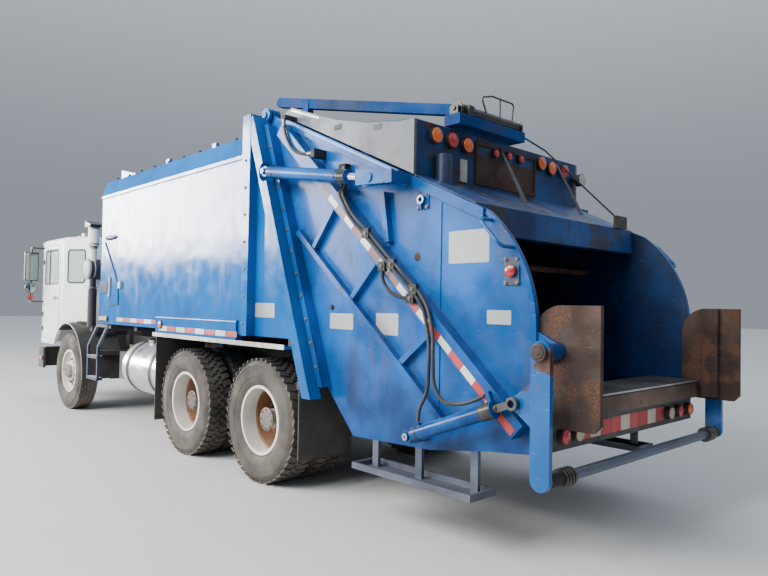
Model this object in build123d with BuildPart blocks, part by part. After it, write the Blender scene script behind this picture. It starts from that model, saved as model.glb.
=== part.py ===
from build123d import *
import os
from math import asin, cos, hypot, radians, sin, sqrt, tan

# Rear-loading refuse truck, 6x4 chassis with a low forward cab. Lengths in millimetres.
# +X points forward, +Y to the driver's side, +Z up. While it is drawn, X is 0 at the rear-most
# axle; every piece is then moved so that the origin lies under the middle of the whole length.

# Overall places along the length
wheelbase = 5047
tandem_spacing = 1383
front_overhang = 1393
bumper_front_x = wheelbase + front_overhang
guide_front_x = -2690
guide_length = 420
guide_rear_x = guide_front_x - guide_length
mirror_outer_y = 1440
middle_x = (bumper_front_x + guide_rear_x) / 2

# Wheels and tyres
tyre_radius = 535
tyre_width = 280
tyre_shoulder = 45
tyre_side_round = 90
tyre_bulge = 14
bead_radius = 288
rim_flange_radius = 299
rim_flange = 8
rim_wall = 14
rim_width = 210
disc_thickness = 12
disc_outer_radius = 262
front_wheel_y = 1030
front_disc_offset = 60
dual_outer_y = 1055
dual_pitch = 325
dual_disc_offsets = (-175, -150)
hand_hole_count = 10
hand_hole_radius = 24
hand_hole_circle = 204
hub_radius = 110
hub_cap_radius = 60
front_hub_length = 100
rear_hub_reach = 190

# Frame rails
rail_top_z = 1040
rail_height = 267
rail_flange = 86
rail_web = 10
rail_outer_y = 432
rear_flap_gap = 65
front_flap_gap = 112
flap_thickness = 12
rail_rear_x = -tyre_radius - rear_flap_gap
rail_front_x = bumper_front_x - 190
crossmember_size = 120
crossmember_drop = 60

# Axles and steering
king_pin_y = 850
king_pin_radius = 24
axle_beam_z = 440
axle_beam_height = 110
axle_beam_width = 90
spring_y = 447
spring_width = 80
spring_length = 1330
spring_hanger = 60
leaf_thickness = 14
leaf_count = 5
leaf_step = 220
axle_tube_radius = 62
diff_radius = 205
spindle_radius = 42
walking_beam_y = 505
walking_beam_width = 70

# Cab, from its front to its rear corners
cab_front_x = bumper_front_x - 100
cab_corner_front_x = cab_front_x - 90
cab_corner_rear_x = wheelbase + 223
cab_rear_x = cab_corner_rear_x - 400
cab_half_width = 1180
cab_front_half_width = 1010
cab_rear_half_width = 960
cab_wall = 40
cab_floor_z = 1240
cab_roof_z = 2460
cab_skirt_z = 880
cab_roof_round = 55
arch_radius = 690
window_round = 45
glass_thickness = 8

# Doors
door_front_margin = 45
door_rear_margin = 180
door_front_x = cab_corner_front_x - door_front_margin
door_rear_x = cab_corner_rear_x + door_rear_margin
door_bottom_z = 960
door_top_z = 2350
door_gap = 6
door_thickness = 45
door_window_sill_z = 1780
door_window_top_z = 2290
door_window_margin = 75
door_handle_z = 1575

# Refuse body
body_front_x = 3700
body_post_x = 250
body_floor_z = 1254
body_seam_z = 2867
body_eave_z = 3050
body_roof_z = 3085
body_half_width = 1220
body_eave_half_width = 1165
body_roof_half_width = 1090
body_wall = 30
rear_recess = 60

# Slanted joint between body and tailgate: a line through (joint_x, joint_z)
joint_x = -100
joint_z = 2680
joint_lean = 0.385
joint_gap = 8
flange_band = 110
leg_bottom_z = 810
frame_top_z = 3185
band_proud = 20

# Tailgate hinge
hinge_z = 3220
hinge_pin_radius = 25
hinge_ear_radius = 62
hinge_ear_width = 30
hinge_ear_gap = 18
pin_clearance = 0.6

# Tailgate sides and hopper
side_half_width = 1055
side_wall = 25
side_arc_x = -1790
side_arc_z = 1400
side_arc_radius = 940
side_top_x = -120
side_top_z = 3160
side_top_slope = 0.4524
side_base_z = 700
hopper_sill_z = 1005
hopper_arc_radius = 820
hopper_wall = 20
sill_rear_x = -2820
lamp_panel_x = -2746
guide_low_z = 870
guide_high_z = 1560
guide_inner_y = 1000
light_panel_x = -1710
light_panel_low_z = 2455
light_panel_top_z = 2845
hopper_roof_rear_x = -2250
hopper_roof_rear_z = 2205
lip_height = 190
cover_front_x = -230

# Packer: its track, carrier and blade
packer_low_x = -1750
packer_low_z = 1480
packer_stroke = 865
packer_angle = 41.3
carrier_length = 900
carrier_half_width = 985
carrier_depth = 60
track_start = 60
track_end = 1740
track_gap = 112
track_bar = 24
track_depth = 26
blade_length = 790
blade_rest_angle = 75
blade_half_width = 1000
blade_plate = 24
blade_rib = 70
packer_pin_radius = 28
packer_eye_radius = 60

# Kick bar, its arms and its cylinders
arm_pivot_x = -2857
arm_pivot_z = 1304
arm_width = 124
arm_low_z = 545
arm_y = 1200
arm_thickness = 30
arm_tube_radius = 44
arm_pin_radius = 24
kick_bar_z = 600
kick_bar_radius = 32
kick_bar_set_back = 23
kick_lug_x = -2670
kick_lug_z = 1000
kick_pin_x = -1850
kick_pin_z = 690
kick_pin_radius = 22
kick_barrel_radius = 47
kick_barrel_end = 745
kick_rod_radius = 24
kick_cylinder_y = arm_y + 7

# Tailgate lift cylinders
lift_y = body_half_width
lift_pin_x = -110
lift_pin_z = 2665
lift_pin_radius = 26
lift_eye_x = -1480
lift_eye_z = 2430
lift_barrel_radius = 50
lift_barrel_end = 1110
lift_rod_radius = 30
lift_neck_start = 1220
lift_pocket_radius = 85
gland_ring = 3
eye_width = 36

# Hoses and round bars
hose_radius = 12
hose_clearance = 2

os.makedirs("parts", exist_ok=True)
pieces = []


def write(piece, name):
    """Label a finished piece, move it to the common origin and export it."""
    placed = piece.part.moved(Location((-middle_x, 0, 0)))
    placed.label = name
    export_step(placed, f"parts/{name}.step")
    pieces.append(placed)


def joint_line_x(z, gap=0):
    """X of the slanted body joint at height z, set back by gap along X."""
    return joint_x + (z - joint_z) * joint_lean - gap


def side_plane(y):
    """Plane whose local axes are world X and Z; it extrudes towards -Y."""
    return Plane(origin=(0, y, 0), x_dir=(1, 0, 0), z_dir=(0, -1, 0))


def add_box(x_range, y_range, z_range, mode=Mode.ADD):
    """Box between the given low and high values on each axis."""
    size = [high - low for low, high in (x_range, y_range, z_range)]
    centre = [(high + low) / 2 for low, high in (x_range, y_range, z_range)]
    with Locations(tuple(centre)):
        Box(*size, mode=mode)


def add_side_plate(outline, y_outer, thickness, mode=Mode.ADD):
    """Plate with an outline in X and Z, from y_outer inwards to -Y."""
    with BuildSketch(side_plane(y_outer)) as profile:
        with BuildLine():
            Polyline(*outline, close=True)
        make_face()
    extrude(profile.sketch, amount=thickness, mode=mode)


def add_cross_prism(outline, x_start, length, mode=Mode.ADD):
    """Prism with an outline in Y and Z, from x_start forwards."""
    with BuildSketch(Plane.YZ.offset(x_start)) as profile:
        with BuildLine():
            Polyline(*outline, close=True)
        make_face()
    extrude(profile.sketch, amount=length, mode=mode)


def add_cylinder_y(x, z, radius, y_low, y_high, mode=Mode.ADD):
    """Cylinder along Y between two Y values."""
    with Locations(Plane(origin=(x, y_low, z), z_dir=(0, 1, 0))):
        Cylinder(radius, y_high - y_low, align=(Align.CENTER, Align.CENTER, Align.MIN), mode=mode)


def add_rod(start, end, radius, mode=Mode.ADD):
    """Round bar from one point to another."""
    run = Vector(*end) - Vector(*start)
    with Locations(Plane(origin=start, z_dir=run)):
        Cylinder(radius, run.length, align=(Align.CENTER, Align.CENTER, Align.MIN), mode=mode)


def add_bar(start, end, width_y, depth):
    """Rectangular bar in an XZ plane, width_y across and depth thick."""
    run = Vector(*end) - Vector(*start)
    with BuildSketch(Plane(origin=start, x_dir=(0, 1, 0), z_dir=run)) as section:
        Rectangle(width_y, depth)
    extrude(section.sketch, amount=run.length)


def widest_bends(route):
    """Bend radius at each inner corner of a route, as large as its two runs allow."""
    corners = [Vector(*point) for point in route]
    radii = []
    for before, corner, after in zip(corners, corners[1:], corners[2:]):
        turn = radians((corner - before).get_angle(after - corner))
        shorter = min((corner - before).length, (after - corner).length)
        radii.append(0.45 * shorter / tan(turn / 2))
    return radii


def add_tube(route, radius, bends):
    """Round tube of straight runs joined by tangent arcs of the given bend radii."""
    with BuildLine() as path:
        FilletPolyline(*route, radius=bends)
    with BuildSketch(Plane(origin=path.line @ 0, z_dir=path.line % 0)) as section:
        Circle(radius)
    sweep(section.sketch, path=path.wires()[0])


def add_mirrored():
    """Repeat what stands on the driver's side on the other side."""
    mirror(about=Plane.XZ)


# Frame rails and crossmembers
rail_low_z = rail_top_z - rail_height
crossmember_places = (
    rail_rear_x + crossmember_size / 2,
    tandem_spacing / 2,
    tandem_spacing + tyre_radius + 232,
    body_front_x - 140,
    rail_front_x - 110,
)
with BuildPart() as frame_rails:
    add_box(
        (rail_rear_x, rail_front_x), (rail_outer_y - rail_flange, rail_outer_y), (rail_low_z, rail_top_z)
    )
    add_box(
        (rail_rear_x, rail_front_x),
        (rail_outer_y - rail_flange, rail_outer_y - rail_web),
        (rail_low_z + rail_web, rail_top_z - rail_web),
        mode=Mode.SUBTRACT,
    )
    add_mirrored()
    crossmember_half = rail_outer_y - rail_web
    crossmember_low_z = rail_low_z + crossmember_drop
    for x in crossmember_places:
        add_box(
            (x - crossmember_size / 2, x + crossmember_size / 2),
            (-crossmember_half, crossmember_half),
            (crossmember_low_z, crossmember_low_z + crossmember_size),
        )
write(frame_rails, "frame_rails")

# Front bumper with raked ends, round headlamps in wells, and tow eyes under it
bumper_low_z = 500
bumper_high_z = 800
bumper_depth = 110
bumper_end_y = 1200
bumper_rake = 150
bumper_return = 380
notch_half_width = 300
notch_height = 90
headlamp_y = 800
headlamp_radius = 92
headlamp_well = 38
headlamp_glass = 26
indicator_x = (bumper_front_x - 360, bumper_front_x - 240)
tow_eye_x = bumper_front_x - 65
tow_eye_y = 520
tow_eye_z = bumper_low_z - 50
tow_eye_radius = 22
tow_eye_outer = 45
tow_eye_half_thickness = 15
with BuildPart() as front_bumper:
    with BuildSketch(Plane.XY.offset(bumper_low_z)):
        with BuildLine():
            Polyline(
                (rail_front_x, 0),
                (rail_front_x, rail_outer_y),
                (bumper_front_x - bumper_depth, rail_outer_y),
                (bumper_front_x - bumper_depth, bumper_end_y - 120),
                (bumper_front_x - bumper_return, bumper_end_y - 30),
                (bumper_front_x - bumper_return, bumper_end_y),
                (bumper_front_x - bumper_rake, bumper_end_y),
                (bumper_front_x, bumper_end_y - 200),
                (bumper_front_x, 0),
                close=True,
            )
        make_face()
        mirror(about=Plane.XZ)
    extrude(amount=bumper_high_z - bumper_low_z)
    add_box(
        (rail_front_x, bumper_front_x - 30),
        (-notch_half_width, notch_half_width),
        (bumper_low_z, bumper_low_z + notch_height),
        mode=Mode.SUBTRACT,
    )
    headlamp_z = (bumper_low_z + bumper_high_z) / 2
    for y in (headlamp_y, -headlamp_y):
        well_floor = (bumper_front_x - headlamp_well, y, headlamp_z)
        add_rod(well_floor, (bumper_front_x + 1, y, headlamp_z), headlamp_radius, mode=Mode.SUBTRACT)
        add_rod(
            (well_floor[0] - 5, y, headlamp_z),
            (well_floor[0] + headlamp_glass, y, headlamp_z),
            headlamp_radius - 8,
        )
    for y in (tow_eye_y, -tow_eye_y):
        eye_y = (y - tow_eye_half_thickness, y + tow_eye_half_thickness)
        add_box(
            (tow_eye_x - tow_eye_outer, tow_eye_x + tow_eye_outer), eye_y, (tow_eye_z, bumper_low_z + 20)
        )
        add_cylinder_y(tow_eye_x, tow_eye_z, tow_eye_outer, *eye_y)
        add_cylinder_y(tow_eye_x, tow_eye_z, tow_eye_radius, eye_y[0] - 1, eye_y[1] + 1, mode=Mode.SUBTRACT)
    for low_y, high_y in ((bumper_end_y - 2, bumper_end_y + 12), (-bumper_end_y - 12, -bumper_end_y + 2)):
        add_box(indicator_x, (low_y, high_y), (headlamp_z - 30, headlamp_z + 30))
write(front_bumper, "front_bumper")

# Front axle beam with its king pins, and the leaf springs that carry it
pin_boss_height = 100
king_pin_length = 230
beam_drop_y = 560
with BuildPart() as front_suspension:
    beam_end_y = king_pin_y - 75
    beam_low_z = axle_beam_z - axle_beam_height / 2
    beam_high_z = axle_beam_z + axle_beam_height / 2
    with BuildSketch(Plane.YZ.offset(wheelbase - axle_beam_width / 2)):
        with BuildLine():
            Polyline(
                (0, beam_low_z),
                (beam_drop_y, beam_low_z),
                (beam_end_y, tyre_radius - pin_boss_height / 2),
                (king_pin_y, tyre_radius - pin_boss_height / 2),
                (king_pin_y, tyre_radius + pin_boss_height / 2),
                (beam_end_y, tyre_radius + pin_boss_height / 2),
                (beam_drop_y, beam_high_z),
                (0, beam_high_z),
                close=True,
            )
        make_face()
    extrude(amount=axle_beam_width)
    with Locations((wheelbase, king_pin_y, tyre_radius)):
        Cylinder(axle_beam_width / 2, pin_boss_height)
        Cylinder(king_pin_radius, king_pin_length)
    spring_edge_y = (spring_y - spring_width / 2, spring_y + spring_width / 2)
    for leaf in range(leaf_count):
        leaf_length = spring_length - leaf * leaf_step
        leaf_low_z = beam_high_z + (leaf_count - 1 - leaf) * leaf_thickness
        add_box(
            (wheelbase - leaf_length / 2, wheelbase + leaf_length / 2),
            spring_edge_y,
            (leaf_low_z, leaf_low_z + leaf_thickness),
        )
    hanger_low_z = beam_high_z + (leaf_count - 1) * leaf_thickness
    for x in (wheelbase - spring_length / 2, wheelbase + spring_length / 2 - spring_hanger):
        add_box((x, x + spring_hanger), (rail_outer_y, spring_edge_y[1]), (hanger_low_z, rail_low_z + 120))
        add_box((x, x + spring_hanger), spring_edge_y, (hanger_low_z, rail_low_z))
    add_mirrored()
write(front_suspension, "front_suspension")

# Steering knuckles: a fork on the king pin, the wheel's spindle and the steering arm
knuckle_radius = 55
fork_gap = pin_boss_height / 2 + 5
fork_height = 60
fork_places = (
    (tyre_radius - fork_gap - fork_height, tyre_radius - fork_gap),
    (tyre_radius + fork_gap, tyre_radius + fork_gap + fork_height),
)
steering_arm = (-260, -40)
for side, sign in (("left", 1), ("right", -1)):
    with BuildPart() as knuckle:
        web_y = king_pin_y + axle_beam_width / 2 + 7
        for low_z, high_z in fork_places:
            with Locations((wheelbase, king_pin_y, (low_z + high_z) / 2)):
                Cylinder(knuckle_radius, fork_height)
            add_box((wheelbase - 50, wheelbase + 50), (king_pin_y, web_y + 8), (low_z, high_z))
        add_box(
            (wheelbase - 50, wheelbase + 50), (web_y, web_y + 28), (fork_places[0][0], fork_places[1][1])
        )
        with Locations((wheelbase, king_pin_y, tyre_radius)):
            Cylinder(king_pin_radius + pin_clearance, king_pin_length + 10, mode=Mode.SUBTRACT)
        add_cylinder_y(wheelbase, tyre_radius, spindle_radius, web_y + 18, front_wheel_y + front_disc_offset)
        add_box(
            (wheelbase + steering_arm[0], wheelbase + steering_arm[1]),
            (king_pin_y - 20, king_pin_y + 20),
            (fork_places[0][0] + 3, fork_places[0][0] + 33),
        )
        if sign < 0:
            mirror(about=Plane.XZ, mode=Mode.REPLACE)
    write(knuckle, f"steering_knuckle_{side}")

# Driven rear axles with their differential bowls, on walking beams under the rails
beam_y = (walking_beam_y - walking_beam_width / 2, walking_beam_y + walking_beam_width / 2)
beam_overhang = 90
pinion_offset = 120
pinion_rise = 20
pinion_length = 260
with BuildPart() as rear_suspension:
    mid_x = tandem_spacing / 2
    add_side_plate(
        [
            (-beam_overhang, tyre_radius - 170),
            (mid_x, tyre_radius - 250),
            (tandem_spacing + beam_overhang, tyre_radius - 170),
            (tandem_spacing + beam_overhang, tyre_radius - 70),
            (mid_x, tyre_radius - 120),
            (-beam_overhang, tyre_radius - 70),
        ],
        beam_y[1],
        walking_beam_width,
    )
    add_side_plate(
        [
            (mid_x - 90, tyre_radius - 180),
            (mid_x + 90, tyre_radius - 180),
            (mid_x + 260, rail_low_z + 180),
            (mid_x - 260, rail_low_z + 180),
        ],
        beam_y[1],
        beam_y[1] - rail_outer_y,
    )
    for x in (0, tandem_spacing):
        add_box((x - 70, x + 70), beam_y, (tyre_radius - 100, tyre_radius))
    add_mirrored()
    axle_end_y = dual_outer_y + 20
    housing_end_y = dual_outer_y - dual_pitch - tyre_width / 2 - 40
    for x in (0, tandem_spacing):
        add_cylinder_y(x, tyre_radius, axle_tube_radius, -housing_end_y, housing_end_y)
        add_cylinder_y(x, tyre_radius, spindle_radius, -axle_end_y, axle_end_y)
        with Locations((x, 0, tyre_radius)):
            Sphere(diff_radius)
        with Locations(Plane(origin=(x + pinion_offset, 0, tyre_radius + pinion_rise), z_dir=(1, 0, 0))):
            Cone(120, 60, pinion_length, align=(Align.CENTER, Align.CENTER, Align.MIN))
write(rear_suspension, "rear_suspension")

# Engine and gearbox as one plain block, with the shafts behind it
engine_x = (wheelbase - 487, wheelbase + 733)
gearbox_x = (engine_x[0] - 800, engine_x[0])
pinion_end_x = pinion_offset + pinion_length
with BuildPart() as drivetrain:
    add_box(engine_x, (-300, 300), (640, 1180))
    add_box(gearbox_x, (-210, 210), (660, 1020))
    shaft_z = tyre_radius + pinion_rise
    add_rod((gearbox_x[0] + 10, 0, 780), (tandem_spacing + pinion_end_x + 8, 0, shaft_z), 50)
    add_rod((tandem_spacing - diff_radius, 0, shaft_z), (pinion_end_x + 1, 0, shaft_z), 45)
write(drivetrain, "drivetrain")

# Wheels: a rim and a tyre turned about the axle, single in front and in pairs behind


def tyre_profile(centre_y):
    """Corners of a tyre's half section, outwards and up."""
    half = tyre_width / 2
    half_rim = rim_width / 2
    return [
        (centre_y - half_rim, bead_radius),
        (centre_y - half_rim, rim_flange_radius + 1),
        (centre_y - half, bead_radius + tyre_side_round),
        (centre_y - half, tyre_radius - tyre_side_round),
        (centre_y - half + tyre_bulge, tyre_radius - tyre_shoulder),
        (centre_y - half + tyre_shoulder, tyre_radius),
        (centre_y + half - tyre_shoulder, tyre_radius),
        (centre_y + half - tyre_bulge, tyre_radius - tyre_shoulder),
        (centre_y + half, tyre_radius - tyre_side_round),
        (centre_y + half, bead_radius + tyre_side_round),
        (centre_y + half_rim, rim_flange_radius + 1),
        (centre_y + half_rim, bead_radius),
    ]


def rim_profile(centre_y):
    """Corners of a rim's channel section, with its two flanges."""
    half = rim_width / 2
    return [
        (centre_y - half - rim_flange, bead_radius - rim_wall),
        (centre_y - half - rim_flange, rim_flange_radius),
        (centre_y - half, rim_flange_radius),
        (centre_y - half, bead_radius),
        (centre_y + half, bead_radius),
        (centre_y + half, rim_flange_radius),
        (centre_y + half + rim_flange, rim_flange_radius),
        (centre_y + half + rim_flange, bead_radius - rim_wall),
    ]


def disc_profile(hub_low, disc_low, disc_high, ring_low, ring_high, hub_high):
    """Corners of the hub with its disc, and of the ring that joins the disc to the rims."""
    ring_outer = bead_radius - rim_wall + 2
    ring_inner = disc_outer_radius - 8
    return [
        (hub_low, spindle_radius + pin_clearance),
        (hub_low, hub_radius),
        (disc_low, hub_radius),
        (disc_low, ring_inner),
        (ring_low, ring_inner),
        (ring_low, ring_outer),
        (ring_high, ring_outer),
        (ring_high, ring_inner),
        (disc_high, ring_inner - 20),
        (disc_high, hub_radius + 50),
        (disc_high + 30, hub_radius + 30),
        (disc_high + 30, hub_radius - 20),
        (hub_high, hub_cap_radius + 20),
        (hub_high, spindle_radius + pin_clearance),
    ]


def wheel_plane(axle_x, sign):
    """Plane through the axle: local X is outwards, local Y is up."""
    return Plane(origin=(axle_x, 0, tyre_radius), x_dir=(0, sign, 0), z_dir=(sign, 0, 0))


dual_inner_y = dual_outer_y - dual_pitch
front_disc_y = front_wheel_y + front_disc_offset
front_disc = (
    front_disc_y - front_hub_length,
    front_disc_y - disc_thickness,
    front_disc_y,
    front_wheel_y + 30,
    front_disc_y + disc_thickness,
    front_disc_y + front_disc_offset,
)
dual_disc = (
    dual_inner_y - 60,
    dual_outer_y + dual_disc_offsets[0] - disc_thickness,
    dual_outer_y + dual_disc_offsets[1],
    dual_inner_y + 30,
    dual_outer_y - 30,
    dual_outer_y + dual_disc_offsets[1] + rear_hub_reach,
)
# Columns: name, axle x, tyre centre lines from the truck's middle, places along the hub
wheel_rows = [
    ("front", wheelbase, (front_wheel_y,), front_disc),
    ("middle", tandem_spacing, (dual_inner_y, dual_outer_y), dual_disc),
    ("rear", 0, (dual_inner_y, dual_outer_y), dual_disc),
]
for row_name, axle_x, centre_lines, disc_places in wheel_rows:
    for side, sign in (("left", 1), ("right", -1)):
        plane = wheel_plane(axle_x, sign)
        spin_axis = Axis((axle_x, 0, tyre_radius), (0, 1, 0))
        with BuildPart() as tyre:
            for centre_y in centre_lines:
                with BuildSketch(plane):
                    with BuildLine():
                        Polyline(*tyre_profile(centre_y), close=True)
                    make_face()
                revolve(axis=spin_axis)
        write(tyre, f"tyre_{row_name}_{side}")
        with BuildPart() as rim:
            for centre_y in centre_lines:
                with BuildSketch(plane):
                    with BuildLine():
                        Polyline(*rim_profile(centre_y), close=True)
                    make_face()
                revolve(axis=spin_axis)
            with BuildSketch(plane):
                with BuildLine():
                    Polyline(*disc_profile(*disc_places), close=True)
                make_face()
            revolve(axis=spin_axis)
            disc_low, disc_high = disc_places[1:3]
            with Locations(
                Plane(origin=(axle_x, sign * (disc_low + disc_high) / 2, tyre_radius), z_dir=(0, 1, 0))
            ):
                with PolarLocations(hand_hole_circle, hand_hole_count):
                    Cylinder(hand_hole_radius, disc_high - disc_low + 20, mode=Mode.SUBTRACT)
        write(rim, f"rim_{row_name}_{side}")

# Fuel tank: a round tank along the rail on the driver's side, on two strapped brackets
tank_radius = 310
tank_length = 1000
tank_x = (tandem_spacing + 737, tandem_spacing + 737 + tank_length)
tank_y = rail_outer_y + tank_radius + 98
tank_z = rail_top_z - 300
tank_round = 30
strap_width = 60
strap_inset = 190
cap_radius = 52
with BuildPart() as fuel_tank:
    add_rod((tank_x[0], tank_y, tank_z), (tank_x[1], tank_y, tank_z), tank_radius)
    fillet(fuel_tank.edges().filter_by(GeomType.CIRCLE), tank_round)
    for x in (tank_x[0] + strap_inset, tank_x[1] - strap_inset):
        with Locations(Plane(origin=(x, tank_y, tank_z), z_dir=(1, 0, 0))):
            Cylinder(tank_radius + 6, strap_width)
        add_box((x - 40, x + 40), (rail_outer_y, rail_outer_y + 130), (tank_z - 60, rail_top_z - 30))
    with Locations((tank_x[1] - 330, tank_y + 60, tank_z + tank_radius)):
        Cylinder(cap_radius, 60)
write(fuel_tank, "fuel_tank")

# Battery box, valve box and air tanks on the rails
battery_x = (tank_x[1] + 60, tank_x[1] + 440)
valve_box_x = (tank_x[0] + 180, tank_x[1] + 180)
air_tank_x = (battery_x[1] - 80, battery_x[1] + 680)
with BuildPart() as chassis_boxes:
    add_box(battery_x, (rail_outer_y, 1000), (560, 900))
    add_box((battery_x[0] + 60, battery_x[1] - 60), (rail_outer_y, 900), (900, 985))
    add_box(valve_box_x, (-1040, -rail_outer_y), (480, 900))
    add_rod((air_tank_x[0], -700, 700), (air_tank_x[1], -700, 700), 150)
    for x in (air_tank_x[0] + 80, air_tank_x[1] - 140):
        add_box((x, x + 60), (-600, -rail_outer_y), (640, 900))
write(chassis_boxes, "chassis_boxes")

# Upright exhaust behind the cab on the far side
exhaust_x = cab_rear_x - 270
exhaust_y = -880
muffler_z = (1150, 2100)
stack_top_z = 2760
with BuildPart() as exhaust:
    add_rod((exhaust_x, exhaust_y, muffler_z[0]), (exhaust_x, exhaust_y, muffler_z[1]), 120)
    add_rod((exhaust_x, exhaust_y, muffler_z[1]), (exhaust_x, exhaust_y, stack_top_z), 62)
    add_box(
        (exhaust_x - 60, exhaust_x + 40), (exhaust_y, -rail_outer_y), (muffler_z[0] - 40, muffler_z[0] + 30)
    )
    add_box((exhaust_x - 60, exhaust_x + 40), (-rail_outer_y - 60, -rail_outer_y), (900, muffler_z[0] + 30))
write(exhaust, "exhaust")

# Cab shell: a plan with cut corners, hollow above and below the floor, with its windows cut
cab_plan = [
    (cab_front_x, cab_front_half_width),
    (cab_corner_front_x, cab_half_width),
    (cab_corner_rear_x, cab_half_width),
    (cab_rear_x, cab_rear_half_width),
]
cab_outline = cab_plan + [(x, -y) for x, y in reversed(cab_plan)]
corner_run = Vector(cab_rear_x - cab_corner_rear_x, cab_rear_half_width - cab_half_width, 0)
corner_middle = Vector((cab_rear_x + cab_corner_rear_x) / 2, (cab_rear_half_width + cab_half_width) / 2, 0)
corner_window_z = 2030
corner_window_size = (300, 470)
corner_window_plane = Plane(
    origin=(corner_middle.X, corner_middle.Y, corner_window_z),
    x_dir=(-corner_run.X, -corner_run.Y, 0),
    z_dir=(corner_run.Y, -corner_run.X, 0),
)
windscreen_z = (1640, 2290)
windscreen_y = (40, 950)
rear_window_z = (1800, 2230)
rear_window_half_width = 480
grille_half_width = 430
grille_z = (930, 1190)
slat_count = 6
slat_height = 16
slat_depth = 26
gutter_height = 16
gutter_proud = 14


def add_front_pane(depth, mode=Mode.ADD):
    """Both windscreen panes as blocks that reach depth behind the cab's front."""
    centre_y = (windscreen_y[0] + windscreen_y[1]) / 2
    centre_z = (windscreen_z[0] + windscreen_z[1]) / 2
    with BuildSketch(Plane(origin=(cab_front_x, 0, 0), x_dir=(0, 1, 0), z_dir=(1, 0, 0))) as panes:
        with Locations((centre_y, centre_z), (-centre_y, centre_z)):
            RectangleRounded(
                windscreen_y[1] - windscreen_y[0], windscreen_z[1] - windscreen_z[0], window_round
            )
    extrude(panes.sketch, amount=-depth, mode=mode)


def add_rear_pane(depth, mode=Mode.ADD):
    """Back window as a block that reaches depth ahead of the cab's rear."""
    with BuildSketch(Plane(origin=(cab_rear_x, 0, 0), x_dir=(0, 1, 0), z_dir=(1, 0, 0))) as pane:
        with Locations((0, (rear_window_z[0] + rear_window_z[1]) / 2)):
            RectangleRounded(2 * rear_window_half_width, rear_window_z[1] - rear_window_z[0], window_round)
    extrude(pane.sketch, amount=depth, mode=mode)


def add_corner_panes(depth, mode=Mode.ADD):
    """Both corner windows, depth thick from the outer face inwards."""
    for mirrored in (False, True):
        with BuildSketch(corner_window_plane) as pane:
            RectangleRounded(*corner_window_size, window_round)
        with BuildPart(mode=Mode.PRIVATE) as block:
            extrude(pane.sketch, amount=-depth)
            if mirrored:
                mirror(about=Plane.XZ, mode=Mode.REPLACE)
        add(block.part, mode=mode)


def cut_cab_plan(low_z, height):
    """Hollow the cab between two heights, one wall in from its plan."""
    with BuildSketch(Plane.XY.offset(low_z)) as inside:
        with BuildLine():
            Polyline(*cab_outline, close=True)
        make_face()
        offset(amount=-cab_wall, mode=Mode.REPLACE, kind=Kind.INTERSECTION)
    extrude(inside.sketch, amount=height, mode=Mode.SUBTRACT)


def door_outline(gap):
    """Corners of a door in X and Z, grown by gap on every side."""
    return [
        (door_rear_x - gap, door_bottom_z - gap),
        (door_front_x + gap, door_bottom_z - gap),
        (door_front_x + gap, door_top_z + gap),
        (door_rear_x - gap, door_top_z + gap),
    ]


with BuildPart() as cab_shell:
    with BuildSketch(Plane.XY.offset(cab_skirt_z)):
        with BuildLine():
            Polyline(*cab_outline, close=True)
        make_face()
    extrude(amount=cab_roof_z - cab_skirt_z)
    fillet(cab_shell.faces().sort_by(Axis.Z)[-1].edges(), cab_roof_round)
    cut_cab_plan(cab_floor_z + cab_wall, cab_roof_z - cab_floor_z - 2 * cab_wall)
    cut_cab_plan(cab_skirt_z, cab_floor_z - cab_skirt_z)
    cab_cut_y = cab_half_width + 10
    add_cylinder_y(wheelbase, tyre_radius, arch_radius, -cab_cut_y, cab_cut_y, mode=Mode.SUBTRACT)
    add_box(
        (cab_rear_x - 10, wheelbase),
        (-cab_cut_y, cab_cut_y),
        (cab_skirt_z, cab_floor_z),
        mode=Mode.SUBTRACT,
    )
    for y in (cab_cut_y, -cab_half_width + door_thickness + 10):
        add_side_plate(door_outline(door_gap), y, door_thickness + 20, mode=Mode.SUBTRACT)
    add_front_pane(cab_wall + 10, mode=Mode.SUBTRACT)
    add_rear_pane(cab_wall + 10, mode=Mode.SUBTRACT)
    add_corner_panes(cab_wall + 20, mode=Mode.SUBTRACT)
    grille_y = (-grille_half_width, grille_half_width)
    add_box((cab_front_x - cab_wall - 5, cab_front_x + 5), grille_y, grille_z, mode=Mode.SUBTRACT)
    slat_pitch = (grille_z[1] - grille_z[0]) / (slat_count + 1)
    for slat in range(slat_count):
        slat_z = grille_z[0] + (slat + 1) * slat_pitch
        add_box(
            (cab_front_x - slat_depth, cab_front_x),
            grille_y,
            (slat_z - slat_height / 2, slat_z + slat_height / 2),
        )
    add_box((cab_front_x - slat_depth, cab_front_x), (-slat_height / 2, slat_height / 2), grille_z)
    gutter_z = cab_roof_z - cab_roof_round - gutter_height
    for sign in (1, -1):
        gutter_y = sorted((sign * (cab_half_width - 5), sign * (cab_half_width + gutter_proud)))
        add_box((cab_corner_rear_x, cab_corner_front_x), gutter_y, (gutter_z, gutter_z + gutter_height))
write(cab_shell, "cab_shell")

# Fixed cab glass, half a wall behind the outer face in front and flush elsewhere
with BuildPart() as cab_glass:
    add_front_pane(cab_wall / 2 + glass_thickness)
    add_box(
        (cab_front_x - cab_wall / 2, cab_front_x + 10),
        (-cab_half_width, cab_half_width),
        (cab_floor_z, cab_roof_z),
        mode=Mode.SUBTRACT,
    )
    add_rear_pane(glass_thickness)
    add_corner_panes(glass_thickness)
write(cab_glass, "cab_glass")

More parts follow.
